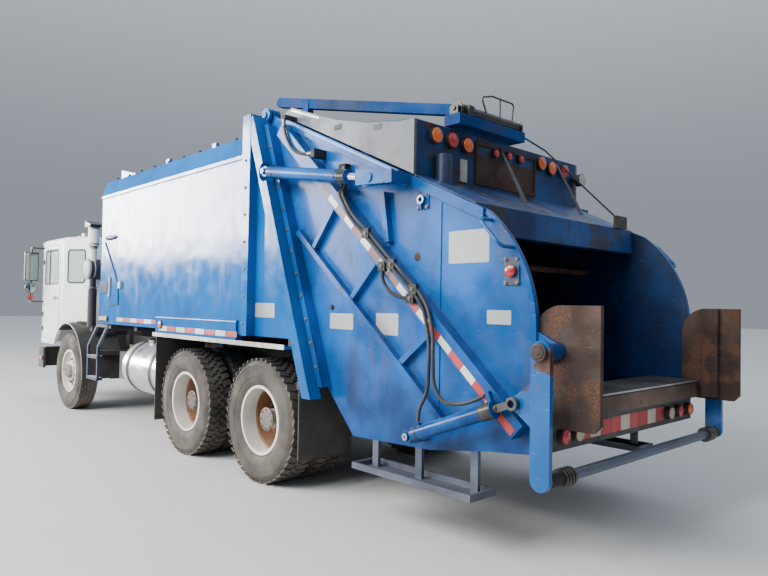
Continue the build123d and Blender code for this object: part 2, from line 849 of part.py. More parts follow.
# Doors with their window openings and handles, and the panes in them
door_window = [
    (door_rear_x + door_window_margin, door_window_sill_z),
    (door_front_x - door_window_margin, door_window_sill_z),
    (door_front_x - door_window_margin, door_window_top_z),
    (door_rear_x + door_window_margin, door_window_top_z),
]
handle_length = 150
handle_height = 30
handle_proud = 22
for side, sign in (("left", 1), ("right", -1)):
    with BuildPart() as door:
        add_side_plate(door_outline(0), cab_half_width, door_thickness)
        add_side_plate(door_window, cab_half_width + 5, door_thickness + 10, mode=Mode.SUBTRACT)
        door_inner_y = cab_half_width - door_thickness
        door_cut_y = (door_inner_y - 10, cab_half_width + 10)
        add_cylinder_y(wheelbase, tyre_radius, arch_radius + door_gap, *door_cut_y, mode=Mode.SUBTRACT)
        add_box(
            (door_rear_x + 40, door_rear_x + 40 + handle_length),
            (cab_half_width, cab_half_width + handle_proud),
            (door_handle_z - handle_height / 2, door_handle_z + handle_height / 2),
        )
        if sign < 0:
            mirror(about=Plane.XZ, mode=Mode.REPLACE)
    write(door, f"door_{side}")
    with BuildPart() as pane:
        pane_y = cab_half_width - door_thickness / 2
        add_side_plate(door_window, pane_y + glass_thickness / 2, glass_thickness)
        if sign < 0:
            mirror(about=Plane.XZ, mode=Mode.REPLACE)
    write(pane, f"door_glass_{side}")

# Seats on their boxes, behind the steering wheel and on the far side
cab_inner_floor_z = cab_floor_z + cab_wall
seat_y = 680
seat_half_width = 240
seat_x = (cab_rear_x + 270, cab_rear_x + 730)
seat_back_x = (seat_x[0] - 50, seat_x[0] + 80)
seat_box_inset = 60
seat_low_z = cab_inner_floor_z + 260
cushion_height = 140
seat_back_height = 500
with BuildPart() as seats:
    seat_edge_y = (seat_y - seat_half_width, seat_y + seat_half_width)
    cushion_top_z = seat_low_z + cushion_height
    add_box(seat_x, seat_edge_y, (seat_low_z, cushion_top_z))
    add_box(seat_back_x, seat_edge_y, (cushion_top_z, cushion_top_z + seat_back_height))
    add_box(
        (seat_x[0] + seat_box_inset, seat_x[1] - seat_box_inset),
        (seat_y - seat_half_width + 80, seat_y + seat_half_width - 80),
        (cab_inner_floor_z, seat_low_z),
    )
    add_mirrored()
write(seats, "seats")

# Dashboard, engine cover and steering wheel
dash_half_width = 960
dash_face_x = cab_front_x - cab_wall - 1
dash_low_z = 1500
dash_top_z = 1640
cover_half_width = 360
cover_top_z = 1560
steering_wheel_x = cab_front_x - 460
steering_wheel_z = 1720
steering_wheel_radius = 230
steering_rim_radius = 15
steering_slope = (-0.55, 0, 0.835)
with BuildPart() as dashboard:
    add_side_plate(
        [
            (dash_face_x - 259, dash_low_z),
            (dash_face_x, dash_low_z),
            (dash_face_x, dash_top_z),
            (dash_face_x - 199, dash_top_z),
            (dash_face_x - 279, dash_top_z - 60),
        ],
        dash_half_width,
        2 * dash_half_width,
    )
    cover_y = (-cover_half_width, cover_half_width)
    add_box((cab_rear_x + 230, dash_face_x - 299), cover_y, (cab_inner_floor_z, cover_top_z))
    add_box((dash_face_x - 299, dash_face_x), cover_y, (cab_inner_floor_z, dash_low_z))
    with Locations(Plane(origin=(steering_wheel_x, seat_y, steering_wheel_z), z_dir=steering_slope)):
        Torus(steering_wheel_radius, steering_rim_radius)
        Cylinder(45, 40)
        Box(2 * steering_wheel_radius - 20, 36, 16)
    add_rod((steering_wheel_x + 2, seat_y, steering_wheel_z - 4), (dash_face_x - 229, seat_y, 1431), 26)
write(dashboard, "dashboard")

# Mirrors on brackets at the cab's front corners: a flat one above and a round one below
mirror_x = cab_corner_front_x + 40
mirror_y = 1345
mirror_z = (1830, 2270)
mirror_half_depth = 30
round_mirror_radius = 85
mirror_rod = 11
bracket_z = (1510, 2335)
with BuildPart() as mirrors:
    stay_y = (mirror_y - mirror_rod, mirror_y + mirror_rod)
    stay_x = (mirror_x - mirror_rod, mirror_x + mirror_rod)
    round_z = mirror_z[0] - round_mirror_radius - 25
    add_box(
        (mirror_x - mirror_half_depth, mirror_x + mirror_half_depth),
        (mirror_y - 95, mirror_outer_y),
        mirror_z,
    )
    with Locations(Plane(origin=(mirror_x, mirror_y, round_z), z_dir=(1, 0, 0))):
        Cylinder(round_mirror_radius, 50)
    add_box(stay_x, stay_y, (round_z + 20, mirror_z[0] + 20))
    add_box(stay_x, stay_y, (bracket_z[0], round_z - 20))
    add_box(stay_x, stay_y, (mirror_z[1] - 10, bracket_z[1] + 10))
    for z in bracket_z:
        add_box((mirror_x - 67, mirror_x + mirror_rod), stay_y, (z - 10, z + 12))
        add_box((mirror_x - 67, mirror_x - 45), (cab_half_width, stay_y[1]), (z - 10, z + 12))
    add_mirrored()
write(mirrors, "mirrors")

# Front mudguards over the steered wheels
guard_radius = 676
guard_thickness = 10
guard_y = (650, 1190)
guard_low_z = 470
guard_front_cut_x = wheelbase + 300
guard_front_low_z = 1100
guard_stay_z = (tyre_radius + 260, tyre_radius + 320)
with BuildPart() as front_mudguards:
    cut_y = (guard_y[0] - 10, guard_y[1] + 10)
    guard_rear_x = wheelbase - guard_radius
    add_cylinder_y(wheelbase, tyre_radius, guard_radius, *guard_y)
    add_box((wheelbase - 900, wheelbase + 900), cut_y, (-400, guard_low_z), mode=Mode.SUBTRACT)
    add_box((guard_front_cut_x, wheelbase + 900), cut_y, (-400, guard_front_low_z), mode=Mode.SUBTRACT)
    add_box((guard_rear_x - 60, guard_rear_x + 4), (rail_outer_y, guard_y[1] - 200), guard_stay_z)
    add_box((guard_rear_x - 60, guard_rear_x + 60), (guard_y[0] + 60, guard_y[1] - 200), guard_stay_z)
    guard_cut_y = (rail_outer_y - 60, guard_y[1] + 10)
    add_cylinder_y(wheelbase, tyre_radius, guard_radius - guard_thickness, *guard_cut_y, mode=Mode.SUBTRACT)
    add_mirrored()
write(front_mudguards, "front_mudguards")

# Air intake stack with its cleaner drum, behind the cab
intake_x = cab_rear_x - 230
intake_y = 990
intake_foot_z = 1170
intake_joint_z = 1700
intake_head_z = 2570
cleaner_z = 1980
cleaner_radius = 145
with BuildPart() as air_intake:
    add_rod((intake_x, intake_y, intake_head_z - 270), (intake_x, intake_y, intake_head_z), 72)
    add_side_plate(
        [
            (intake_x - 90, intake_head_z),
            (intake_x + 105, intake_head_z),
            (intake_x + 105, intake_head_z + 90),
            (intake_x - 110, intake_head_z + 30),
        ],
        intake_y + 90,
        180,
    )
    add_rod((intake_x, intake_y, intake_joint_z), (intake_x, intake_y, intake_head_z - 270), 45)
    add_cylinder_y(intake_x + 50, cleaner_z, cleaner_radius, intake_y - 230, intake_y + 70)
    add_rod((intake_x, intake_y, intake_foot_z), (intake_x, intake_y, intake_joint_z), 60)
    foot_x = (intake_x - 100, intake_x)
    add_box(foot_x, (rail_outer_y, intake_y + 20), (intake_foot_z - 60, intake_foot_z + 20))
    add_box(foot_x, (rail_outer_y, rail_outer_y + 60), (rail_top_z - 140, intake_foot_z - 60))
write(air_intake, "air_intake")

# Lamps on the cab roof
with BuildPart() as roof_lamps:
    add_box((cab_front_x - 440, cab_front_x - 240), (560, 760), (cab_roof_z, cab_roof_z + 90))
    add_box((cab_corner_rear_x + 30, cab_corner_rear_x + 150), (780, 900), (cab_roof_z, cab_roof_z + 80))
    add_box((cab_front_x - 160, cab_front_x - 80), (-620, 620), (cab_roof_z, cab_roof_z + 40))
write(roof_lamps, "roof_lamps")

# Ladder to the body's front corner
ladder_y = 1150
ladder_x = (body_front_x + 200, body_front_x + 550)
ladder_bar = (30, 34)
rung_places = (520, 800)
rung_half_height = 18
ladder_knee_z = 950
ladder_top_z = 1230
ladder_lean = 330
ladder_arm_x = body_front_x - 140
with BuildPart() as front_ladder:
    for x in ladder_x:
        add_bar((x, ladder_y, rung_places[0] - 20), (x, ladder_y, ladder_knee_z + 10), *ladder_bar)
        add_bar((x, ladder_y, ladder_knee_z - 10), (x - ladder_lean, ladder_y, ladder_top_z), *ladder_bar)
    for z in rung_places:
        rung_z = (z - rung_half_height, z + rung_half_height)
        add_box((ladder_x[0] - 10, ladder_x[1] + 10), (ladder_y - 60, ladder_y + 20), rung_z)
    add_box(
        (ladder_arm_x, ladder_x[0] + 50),
        (ladder_y - 16, ladder_y + 16),
        (ladder_top_z - 30, ladder_top_z + 10),
    )
    arm_x = (ladder_arm_x, ladder_arm_x + 80)
    add_box(arm_x, (rail_outer_y, ladder_y + 16), (ladder_top_z - 40, ladder_top_z + 6))
    add_box(arm_x, (rail_outer_y, rail_outer_y + 50), (rail_top_z - 80, ladder_top_z + 6))
write(front_ladder, "front_ladder")

# Refuse body shell: one section drawn in Y and Z, hollow and open at the rear
body_section = [
    (body_half_width, body_floor_z),
    (body_half_width, body_seam_z),
    (body_eave_half_width, body_eave_z),
    (body_roof_half_width, body_roof_z),
]
body_inner_section = [
    (body_half_width - body_wall, body_floor_z + body_wall),
    (body_half_width - body_wall, body_seam_z - 4),
    (body_eave_half_width - body_wall, body_eave_z - 22),
    (body_roof_half_width - 10, body_roof_z - body_wall),
]
eave_strip_height = 34
eave_strip_proud = 8
lifting_lug_places = (974, 2010)
lug_thickness = 30
wedge_x = (body_front_x - 710, body_front_x - 275)
wedge_top_z = body_roof_z + 102
vent_x = (body_front_x - 330, body_front_x - 60)
vent_z = (1640, 1790)
vent_proud = 26


def both_sides(half_section):
    """Close a half section drawn for the driver's side with its mirror image."""
    return half_section + [(-y, z) for y, z in reversed(half_section)]


with BuildPart() as body_shell:
    add_cross_prism(both_sides(body_section), body_post_x, body_front_x - body_post_x)
    add_cross_prism(
        both_sides(body_inner_section),
        body_post_x - 10,
        body_front_x - body_post_x + 10 - body_wall,
        mode=Mode.SUBTRACT,
    )
    strip_y = (body_half_width - 5, body_half_width + eave_strip_proud)
    add_box((body_post_x, body_front_x), strip_y, (body_seam_z - eave_strip_height, body_seam_z))
    add_box(vent_x, (body_half_width - 5, body_half_width + vent_proud), vent_z)
    add_mirrored()
    for x in lifting_lug_places:
        for side in (1, -1):
            lug_outer_y = body_eave_half_width - lug_thickness
            lug_y = sorted((side * (lug_outer_y - lug_thickness), side * lug_outer_y))
            add_box((x - 40, x + 40), lug_y, (body_roof_z - lug_thickness, body_roof_z + 25))
    add_side_plate(
        [
            (wedge_x[1], body_roof_z - 10),
            (wedge_x[1], wedge_top_z),
            (wedge_x[0], body_roof_z + 8),
            (wedge_x[0], body_roof_z - 10),
        ],
        body_roof_half_width,
        2 * body_roof_half_width,
    )
write(body_shell, "body_shell")

# Rear frame of the body: recessed side plates, posts, slanted flange, roof and floor plates
recess_y = body_half_width - rear_recess
post_width = 130
slant = [
    (body_post_x, body_floor_z),
    (body_post_x, body_roof_z),
    (joint_line_x(body_roof_z), body_roof_z),
    (joint_line_x(body_floor_z), body_floor_z),
]
band_outer = [
    (joint_line_x(frame_top_z), frame_top_z),
    (joint_line_x(leg_bottom_z), leg_bottom_z),
    (joint_line_x(leg_bottom_z) + flange_band, leg_bottom_z),
    (joint_line_x(frame_top_z) + flange_band, frame_top_z),
]
with BuildPart() as body_rear_frame:
    inner_y = recess_y - body_wall
    band_y = body_half_width + band_proud
    add_side_plate(slant, recess_y, body_wall)
    add_side_plate(band_outer, band_y, band_y - inner_y)
    add_box((body_post_x - post_width, body_post_x), (inner_y, band_y + 4), (body_floor_z, frame_top_z + 20))
    add_mirrored()
    add_side_plate(
        [
            (body_post_x, body_roof_z - body_wall),
            (body_post_x, body_roof_z),
            (joint_line_x(frame_top_z) + flange_band + 20, frame_top_z),
            (joint_line_x(frame_top_z), frame_top_z),
            (joint_line_x(body_roof_z - body_wall), body_roof_z - body_wall),
        ],
        inner_y,
        2 * inner_y,
    )
    add_side_plate(
        [
            (body_post_x, body_floor_z),
            (body_post_x, body_floor_z + body_wall),
            (joint_line_x(body_floor_z + body_wall), body_floor_z + body_wall),
            (joint_line_x(body_floor_z), body_floor_z),
        ],
        inner_y,
        2 * inner_y,
    )
    hinge_x = joint_line_x(hinge_z)
    ear_foot_z = frame_top_z - hinge_ear_width
    side_inner_y = side_half_width - side_wall
    for low_y in (side_inner_y - hinge_ear_gap - hinge_ear_width, side_half_width + hinge_ear_gap):
        for sign in (1, -1):
            start_y = low_y + hinge_ear_width if sign > 0 else -low_y
            add_cylinder_y(hinge_x, hinge_z, hinge_ear_radius, start_y - hinge_ear_width, start_y)
            add_side_plate(
                [
                    (hinge_x - hinge_ear_radius, hinge_z),
                    (hinge_x + hinge_ear_radius, hinge_z),
                    (hinge_x + hinge_ear_radius + 60, ear_foot_z),
                    (joint_line_x(ear_foot_z), ear_foot_z),
                ],
                start_y,
                hinge_ear_width,
            )
    for sign in (1, -1):
        pin_y = sorted(
            (sign * (side_inner_y - hinge_ear_gap - 42), sign * (side_half_width + hinge_ear_gap + 44))
        )
        slot_y = sorted((sign * (side_inner_y - hinge_ear_gap), sign * (side_half_width + hinge_ear_gap)))
        slot_x = (joint_x - 50, hinge_x + hinge_ear_radius + 12)
        add_box(slot_x, slot_y, (body_roof_z + 10, hinge_z + 90), mode=Mode.SUBTRACT)
        add_cylinder_y(hinge_x, hinge_z, hinge_pin_radius, *pin_y)
        pocket_y = sorted((sign * (recess_y + 2), sign * (body_half_width + 30)))
        add_cylinder_y(lift_pin_x, lift_pin_z, lift_pocket_radius, *pocket_y, mode=Mode.SUBTRACT)
        lift_stub_y = sorted((sign * inner_y, sign * (lift_y + eye_width / 2 + 30)))
        add_cylinder_y(lift_pin_x, lift_pin_z, lift_pin_radius, *lift_stub_y)
write(body_rear_frame, "body_rear_frame")

# Sills and bearers between the body and the frame rails
bearer_height = 60
bearer_half_width = 40
bearer_places = (-440, 300, 1100, 1900, 2700, 3500)
with BuildPart() as body_subframe:
    sill_y = (rail_outer_y - rail_flange, rail_outer_y)
    add_box((rail_rear_x + 20, body_front_x - 40), sill_y, (rail_top_z, body_floor_z))
    add_mirrored()
    bearer_y = (-body_half_width + 60, body_half_width - 60)
    for x in bearer_places:
        add_box(
            (x - bearer_half_width, x + bearer_half_width),
            bearer_y,
            (body_floor_z - bearer_height, body_floor_z),
        )
write(body_subframe, "body_subframe")

# Mudguards over the rear wheels: a sloped ledge on the body's lower edge and a flat skirt
guard_top_z = 1415
rear_guard_z = 1185
ledge_reach = 45
skirt_reach = 75
skirt_thickness = 8
skirt_inner_y = 620
ledge_x = (260, tandem_spacing + 537)
skirt_rear_x = -540
stay_length = 40
skirt_low_z = rear_guard_z - skirt_thickness
skirt_high_z = rear_guard_z + 10
with BuildPart() as rear_mudguards:
    ledge_y = body_half_width + ledge_reach
    skirt_y = body_half_width + skirt_reach
    add_cross_prism(
        [
            (body_half_width, guard_top_z),
            (ledge_y, guard_top_z - 40),
            (ledge_y, skirt_high_z + 12),
            (skirt_y, skirt_high_z),
            (skirt_y, skirt_low_z),
            (skirt_inner_y, skirt_low_z),
            (skirt_inner_y, rear_guard_z),
            (body_half_width - 20, rear_guard_z),
            (body_half_width - 20, body_floor_z - 2),
            (body_half_width, body_floor_z - 2),
        ],
        ledge_x[0],
        ledge_x[1] - ledge_x[0],
    )
    add_cross_prism(
        [
            (body_half_width - 40, rear_guard_z),
            (body_half_width + 30, skirt_high_z),
            (skirt_y, skirt_high_z),
            (skirt_y, skirt_low_z),
            (skirt_inner_y, skirt_low_z),
            (skirt_inner_y, rear_guard_z),
        ],
        skirt_rear_x,
        ledge_x[0] - skirt_rear_x,
    )
    for x in (skirt_rear_x + stay_length, ledge_x[1] - stay_length):
        stay_x = (x, x + stay_length)
        add_box(stay_x, (rail_outer_y, skirt_inner_y + 40), (skirt_low_z - 52, skirt_low_z))
        add_box(stay_x, (rail_outer_y, rail_outer_y + stay_length), (skirt_low_z - 192, skirt_low_z))
    add_mirrored()
write(rear_mudguards, "rear_mudguards")

# Mud flaps ahead of and behind the rear wheels
dual_edge_y = (dual_inner_y - tyre_width / 2, dual_outer_y + tyre_width / 2)
front_flap_x = tandem_spacing + tyre_radius + front_flap_gap
flap_hanger_z = (860, 920)
with BuildPart() as mud_flaps:
    add_box(
        (front_flap_x, front_flap_x + flap_thickness),
        (skirt_inner_y, dual_edge_y[1] + 5),
        (260, skirt_low_z - 1),
    )
    rear_flap_y = (dual_edge_y[0] + 50, dual_edge_y[1] - 5)
    add_box((rail_rear_x - flap_thickness, rail_rear_x), rear_flap_y, (300, 900))
    add_box((rail_rear_x, rail_rear_x + 30), rear_flap_y, flap_hanger_z)
    add_box((rail_rear_x, rail_rear_x + 30), (rail_outer_y, rear_flap_y[0] + 60), flap_hanger_z)
    add_mirrored()
write(mud_flaps, "mud_flaps")

# Ejector: a braced blade that pushes the load out of the body
ejector_x = 3250
ejector_clearance = 15
ejector_runner_height = 120
ejector_knee_height = 700
ejector_runner_length = 380
with BuildPart() as ejector:
    ejector_half_width = recess_y - body_wall - ejector_clearance
    plate_half_width = ejector_half_width - 60
    ejector_low_z = body_floor_z + body_wall + ejector_clearance
    ejector_top_z = body_roof_z - body_wall - 40
    ejector_knee_z = body_floor_z + ejector_knee_height
    add_side_plate(
        [
            (ejector_x - 120, ejector_low_z),
            (ejector_x, ejector_low_z),
            (ejector_x + 160, ejector_knee_z),
            (ejector_x + 160, ejector_top_z),
            (ejector_x + 60, ejector_top_z),
            (ejector_x + 60, ejector_knee_z),
        ],
        plate_half_width,
        2 * plate_half_width,
    )
    for y in (-plate_half_width, -300, 300, plate_half_width):
        add_box(
            (ejector_x, ejector_x + ejector_runner_length),
            (y - 30, y + 30),
            (ejector_low_z, ejector_low_z + ejector_runner_height),
        )
write(ejector, "ejector")

# Tailgate sides: plates with flanges, slanted beams, ribs, the lift ears and the packer's tracks
side_rear_x = side_arc_x - side_arc_radius
side_foot = [(-1120, 560), (-1900, 590), (-2400, 665), (side_rear_x, side_base_z)]


def top_edge_z(x, drop=0):
    """Height of the tailgate side's sloped top edge at x."""
    return side_top_z + (x - side_top_x) * side_top_slope - drop


def arc_meets_top():
    """Point where the side's round rear edge meets its sloped top edge."""
    low_x = side_rear_x
    high_x = side_arc_x
    for _ in range(40):
        x = (low_x + high_x) / 2
        arc_z = side_arc_z + sqrt(side_arc_radius**2 - (x - side_arc_x) ** 2)
        if arc_z < top_edge_z(x):
            low_x = x
        else:
            high_x = x
    return (x, arc_z)


def arc_point(radius, angle):
    """Point on a circle about the middle of the side's round edge, angle up from the rear."""
    return (side_arc_x - radius * cos(angle), side_arc_z + radius * sin(angle))


def slanted_bar(start, end, width):
    """Corners of a bar of the given width whose middle line joins two points in X and Z."""
    run_x = end[0] - start[0]
    run_z = end[1] - start[1]
    scale = width / 2 / hypot(run_x, run_z)
    side_x = -run_z * scale
    side_z = run_x * scale
    return [
        (start[0] + side_x, start[1] + side_z),
        (end[0] + side_x, end[1] + side_z),
        (end[0] - side_x, end[1] - side_z),
        (start[0] - side_x, start[1] - side_z),
    ]


beam_start = (-190, 3030)
beam_end = (-2660, 830)
beam_width = 120
beam_depth = 95
rail_start = (-420, 2140)
rail_end = (-2040, 805)
side_rib_width = 46
side_rib_depth = 55
cross_rib_shares = (0.12, 0.42, 0.75)
flange_top_z = 3110
flange_outer_y = 1150
flange_low_z = 900
arc_top = arc_meets_top()
arc_angle = asin((arc_top[1] - side_arc_z) / side_arc_radius)
edge_channel_front_x = -180
edge_channel_height = 75
edge_channel_proud = 25
rim_band = 30
rim_band_proud = 12
seam_x = -1975
boss_place = (-1810, 2262)
handle_high = (-2400, 2075)
handle_low = (-2560, 1900)
handle_reach = 1190
side_lamp_place = (-2550, 1760)
lift_ear_gap = 42
lift_ear_front = 140
lift_ear_thickness = 24
lift_web_offset = 170
lift_web_length = 60
packer_high_x = packer_low_x + packer_stroke * cos(radians(packer_angle))
packer_high_z = packer_low_z + packer_stroke * sin(radians(packer_angle))


def along_track(x, z, along, across):
    """Point a distance along the packer track (up and forwards) and across it from a point."""
    angle = radians(packer_angle)
    return (x + along * cos(angle) - across * sin(angle), z + along * sin(angle) + across * cos(angle))


def track_strip(start_along, end_along, low_across, high_across, x=packer_low_x, z=packer_low_z):
    """Corners of a strip that lies along the packer track."""
    return [
        along_track(x, z, start_along, low_across),
        along_track(x, z, end_along, low_across),
        along_track(x, z, end_along, high_across),
        along_track(x, z, start_along, high_across),
    ]


def add_rounded_edge(width, proud):
    """Band along the side's round rear edge that stands proud of its plate."""
    inner_radius = side_arc_radius - width
    foot_z = side_base_z + 40
    with BuildSketch(side_plane(side_half_width + proud)) as band:
        with BuildLine():
            ThreePointArc(
                arc_point(side_arc_radius, 0),
                arc_point(side_arc_radius, arc_angle / 2),
                arc_point(side_arc_radius, arc_angle),
            )
            Line(arc_point(side_arc_radius, arc_angle), arc_point(inner_radius, arc_angle))
            ThreePointArc(
                arc_point(inner_radius, arc_angle),
                arc_point(inner_radius, arc_angle / 2),
                arc_point(inner_radius, 0),
            )
            Polyline(
                arc_point(inner_radius, 0),
                (side_rear_x + width, foot_z),
                (side_rear_x, foot_z),
                arc_point(side_arc_radius, 0),
            )
        make_face()
    extrude(band.sketch, amount=proud)


with BuildPart() as tailgate_sides:
    with BuildSketch(side_plane(side_half_width)):
        with BuildLine():
            Polyline(
                arc_top,
                (side_top_x, side_top_z),
                (joint_line_x(side_top_z + 10, joint_gap), side_top_z + 10),
                (joint_line_x(flange_low_z, joint_gap), flange_low_z),
                *side_foot,
                (side_rear_x, side_arc_z),
            )
            ThreePointArc((side_rear_x, side_arc_z), arc_point(side_arc_radius, arc_angle / 2), arc_top)
        make_face()
    extrude(amount=side_wall)
    flange_outline = [
        (joint_line_x(flange_top_z, joint_gap), flange_top_z),
        (joint_line_x(flange_low_z, joint_gap), flange_low_z),
        (joint_line_x(flange_low_z, joint_gap) - 60, flange_low_z),
        (joint_line_x(flange_top_z, joint_gap) - 60, flange_top_z),
    ]
    add_side_plate(flange_outline, flange_outer_y, flange_outer_y - side_inner_y)
    add_cylinder_y(lift_pin_x, lift_pin_z, 66, side_half_width, flange_outer_y + 1, mode=Mode.SUBTRACT)
    channel_rear_x = arc_top[0] + 20
    add_side_plate(
        [
            (edge_channel_front_x, top_edge_z(edge_channel_front_x)),
            (channel_rear_x, top_edge_z(channel_rear_x)),
            (channel_rear_x, top_edge_z(channel_rear_x, edge_channel_height)),
            (edge_channel_front_x, top_edge_z(edge_channel_front_x, edge_channel_height)),
        ],
        side_half_width + edge_channel_proud,
        edge_channel_proud,
    )
    add_rounded_edge(rim_band, rim_band_proud)
    add_box((seam_x - 6, seam_x + 6), (side_half_width, side_half_width + 6), (side_base_z + 120, 2230))
    add_side_plate(slanted_bar(beam_start, beam_end, beam_width), side_half_width + beam_depth, beam_depth)
    add_side_plate(
        slanted_bar(rail_start, rail_end, side_rib_width), side_half_width + side_rib_depth, side_rib_depth
    )
    for share in cross_rib_shares:
        beam_share = share * 0.68 + 0.22
        beam_point = tuple(low + beam_share * (high - low) for low, high in zip(beam_start, beam_end))
        rail_point = tuple(low + share * (high - low) for low, high in zip(rail_start, rail_end))
        add_side_plate(slanted_bar(rail_point, beam_point, 40), side_half_width + 45, 45)
    add_side_plate(slanted_bar((-1440, 2350), (-1500, 1990), 50), side_half_width + 50, 50)
    hinge_arm = [
        (hinge_x - hinge_ear_radius, hinge_z),
        (hinge_x + hinge_ear_radius * 0.94, hinge_z - hinge_ear_radius * 0.34),
        (joint_line_x(frame_top_z - 60, joint_gap), frame_top_z - 60),
        (joint_line_x(frame_top_z - 60, joint_gap) - 160, frame_top_z - 60),
    ]
    add_cylinder_y(hinge_x, hinge_z, hinge_ear_radius, side_inner_y, side_half_width)
    add_side_plate(hinge_arm, side_half_width, side_wall)
    hinge_bore_y = (side_inner_y - 5, side_half_width + 5)
    add_cylinder_y(hinge_x, hinge_z, hinge_pin_radius + pin_clearance, *hinge_bore_y, mode=Mode.SUBTRACT)
    boss_x, boss_z = boss_place
    add_box((boss_x - 55, boss_x + 55), (side_half_width, side_half_width + 8), (boss_z - 65, boss_z + 55))
    add_box((boss_x - 6, boss_x + 6), (side_half_width, side_half_width + 30), (boss_z - 65, boss_z))
    add_cylinder_y(boss_x, boss_z, 30, side_half_width, side_half_width + 34)
    add_cylinder_y(boss_x, boss_z, 12, side_half_width + 10, side_half_width + 40, mode=Mode.SUBTRACT)
    lamp_x, lamp_z = side_lamp_place
    add_box((lamp_x - 55, lamp_x + 55), (side_half_width, side_half_width + 6), (lamp_z - 85, lamp_z + 85))
    add_cylinder_y(lamp_x, lamp_z, 36, side_half_width, side_half_width + 26)
    handle_route = [
        (handle_high[0], side_half_width - 5, handle_high[1]),
        (handle_high[0], handle_reach, handle_high[1]),
        (handle_low[0], handle_reach, handle_low[1]),
        (handle_low[0], side_half_width - 5, handle_low[1]),
    ]
    add_tube(handle_route, hose_radius, 45)
    lift_outer_y = lift_y + lift_ear_gap / 2 + lift_ear_thickness
    lift_ear_rear_x = lift_eye_x - lift_web_offset - lift_web_length
    lift_ear = [
        (lift_eye_x + lift_ear_front, lift_eye_z - 40),
        (lift_eye_x + lift_ear_front, lift_eye_z + 75),
        (lift_ear_rear_x, lift_eye_z + 30),
        (lift_ear_rear_x, lift_eye_z - 60),
    ]
    for y_outer in (lift_y - lift_ear_gap / 2, lift_outer_y):
        add_side_plate(lift_ear, y_outer, lift_ear_thickness)
    add_box(
        (lift_ear_rear_x, lift_eye_x - lift_web_offset),
        (side_half_width, lift_outer_y),
        (lift_eye_z - 60, lift_eye_z + 25),
    )
    add_cylinder_y(lift_eye_x, lift_eye_z, 34, lift_outer_y - 4, lift_outer_y + 10)
    add_cylinder_y(arm_pivot_x, arm_pivot_z, arm_tube_radius, side_inner_y, arm_y - arm_thickness / 2 - 5)
    add_cylinder_y(arm_pivot_x, arm_pivot_z, arm_pin_radius, side_half_width, arm_y + 34)
    add_side_plate(
        [
            (side_rear_x + 60, arm_pivot_z - 130),
            (side_rear_x + 60, arm_pivot_z + 130),
            (arm_pivot_x, arm_pivot_z + arm_tube_radius),
            (arm_pivot_x, arm_pivot_z - arm_tube_radius),
        ],
        side_half_width,
        side_wall,
    )
    add_cylinder_y(kick_pin_x, kick_pin_z, kick_pin_radius, side_half_width, arm_y + 40)
    add_cylinder_y(kick_pin_x, kick_pin_z, 50, side_half_width, arm_y - 34)
    for low_across in (track_gap / 2, -track_gap / 2 - track_bar):
        add_side_plate(
            track_strip(track_start, track_end, low_across, low_across + track_bar),
            side_inner_y,
            track_depth,
        )
    add_mirrored()
write(tailgate_sides, "tailgate_sides")

# Hopper: round trough, loading sill and the lamp panel under it
hopper_front_z = body_floor_z + body_wall
outer_arc_radius = hopper_arc_radius + hopper_wall
hopper_rear_outer_x = packer_low_x - sqrt(
    outer_arc_radius**2 - (packer_low_z - hopper_sill_z + hopper_wall) ** 2
)
hopper_front_outer_x = packer_low_x + sqrt(
    outer_arc_radius**2 - (packer_low_z - hopper_front_z + hopper_wall) ** 2
)
hopper_block_front_x = packer_low_x + 500
sill_nose = 25
sill_low_z = 880
cross_beam_places = (-2250, -1250)
with BuildPart() as hopper:
    with BuildSketch(side_plane(side_inner_y)):
        with BuildLine():
            Polyline(
                (hopper_block_front_x, hopper_sill_z),
                (hopper_block_front_x, hopper_front_z),
                (joint_line_x(hopper_front_z, joint_gap), hopper_front_z),
                (joint_line_x(hopper_front_z - hopper_wall, joint_gap), hopper_front_z - hopper_wall),
                (hopper_front_outer_x, hopper_front_z - hopper_wall),
            )
            ThreePointArc(
                (hopper_front_outer_x, hopper_front_z - hopper_wall),
                (packer_low_x, packer_low_z - outer_arc_radius),
                (hopper_rear_outer_x, hopper_sill_z - hopper_wall),
            )
            Polyline(
                (hopper_rear_outer_x, hopper_sill_z - hopper_wall),
                (lamp_panel_x + 40, hopper_sill_z - hopper_wall),
                (lamp_panel_x + 40, side_base_z),
                (lamp_panel_x, side_base_z),
                (lamp_panel_x, sill_low_z - 20),
                (sill_rear_x, sill_low_z),
                (sill_rear_x, hopper_sill_z - 15),
                (sill_rear_x + sill_nose, hopper_sill_z),
                (hopper_block_front_x, hopper_sill_z),
            )
        make_face()
    extrude(amount=2 * side_inner_y)
    for x in cross_beam_places:
        add_box((x - 30, x + 30), (-side_inner_y, side_inner_y), (640, 860))
    add_cylinder_y(
        packer_low_x, packer_low_z, hopper_arc_radius, -side_inner_y, side_inner_y, mode=Mode.SUBTRACT
    )
    for sign in (1, -1):
        slot_y = sorted((sign * (guide_inner_y - 1), sign * (side_inner_y + 1)))
        slot_z = (guide_low_z - 1, hopper_sill_z + 1)
        add_box((sill_rear_x - 1, guide_front_x + 1), slot_y, slot_z, mode=Mode.SUBTRACT)
write(hopper, "hopper")

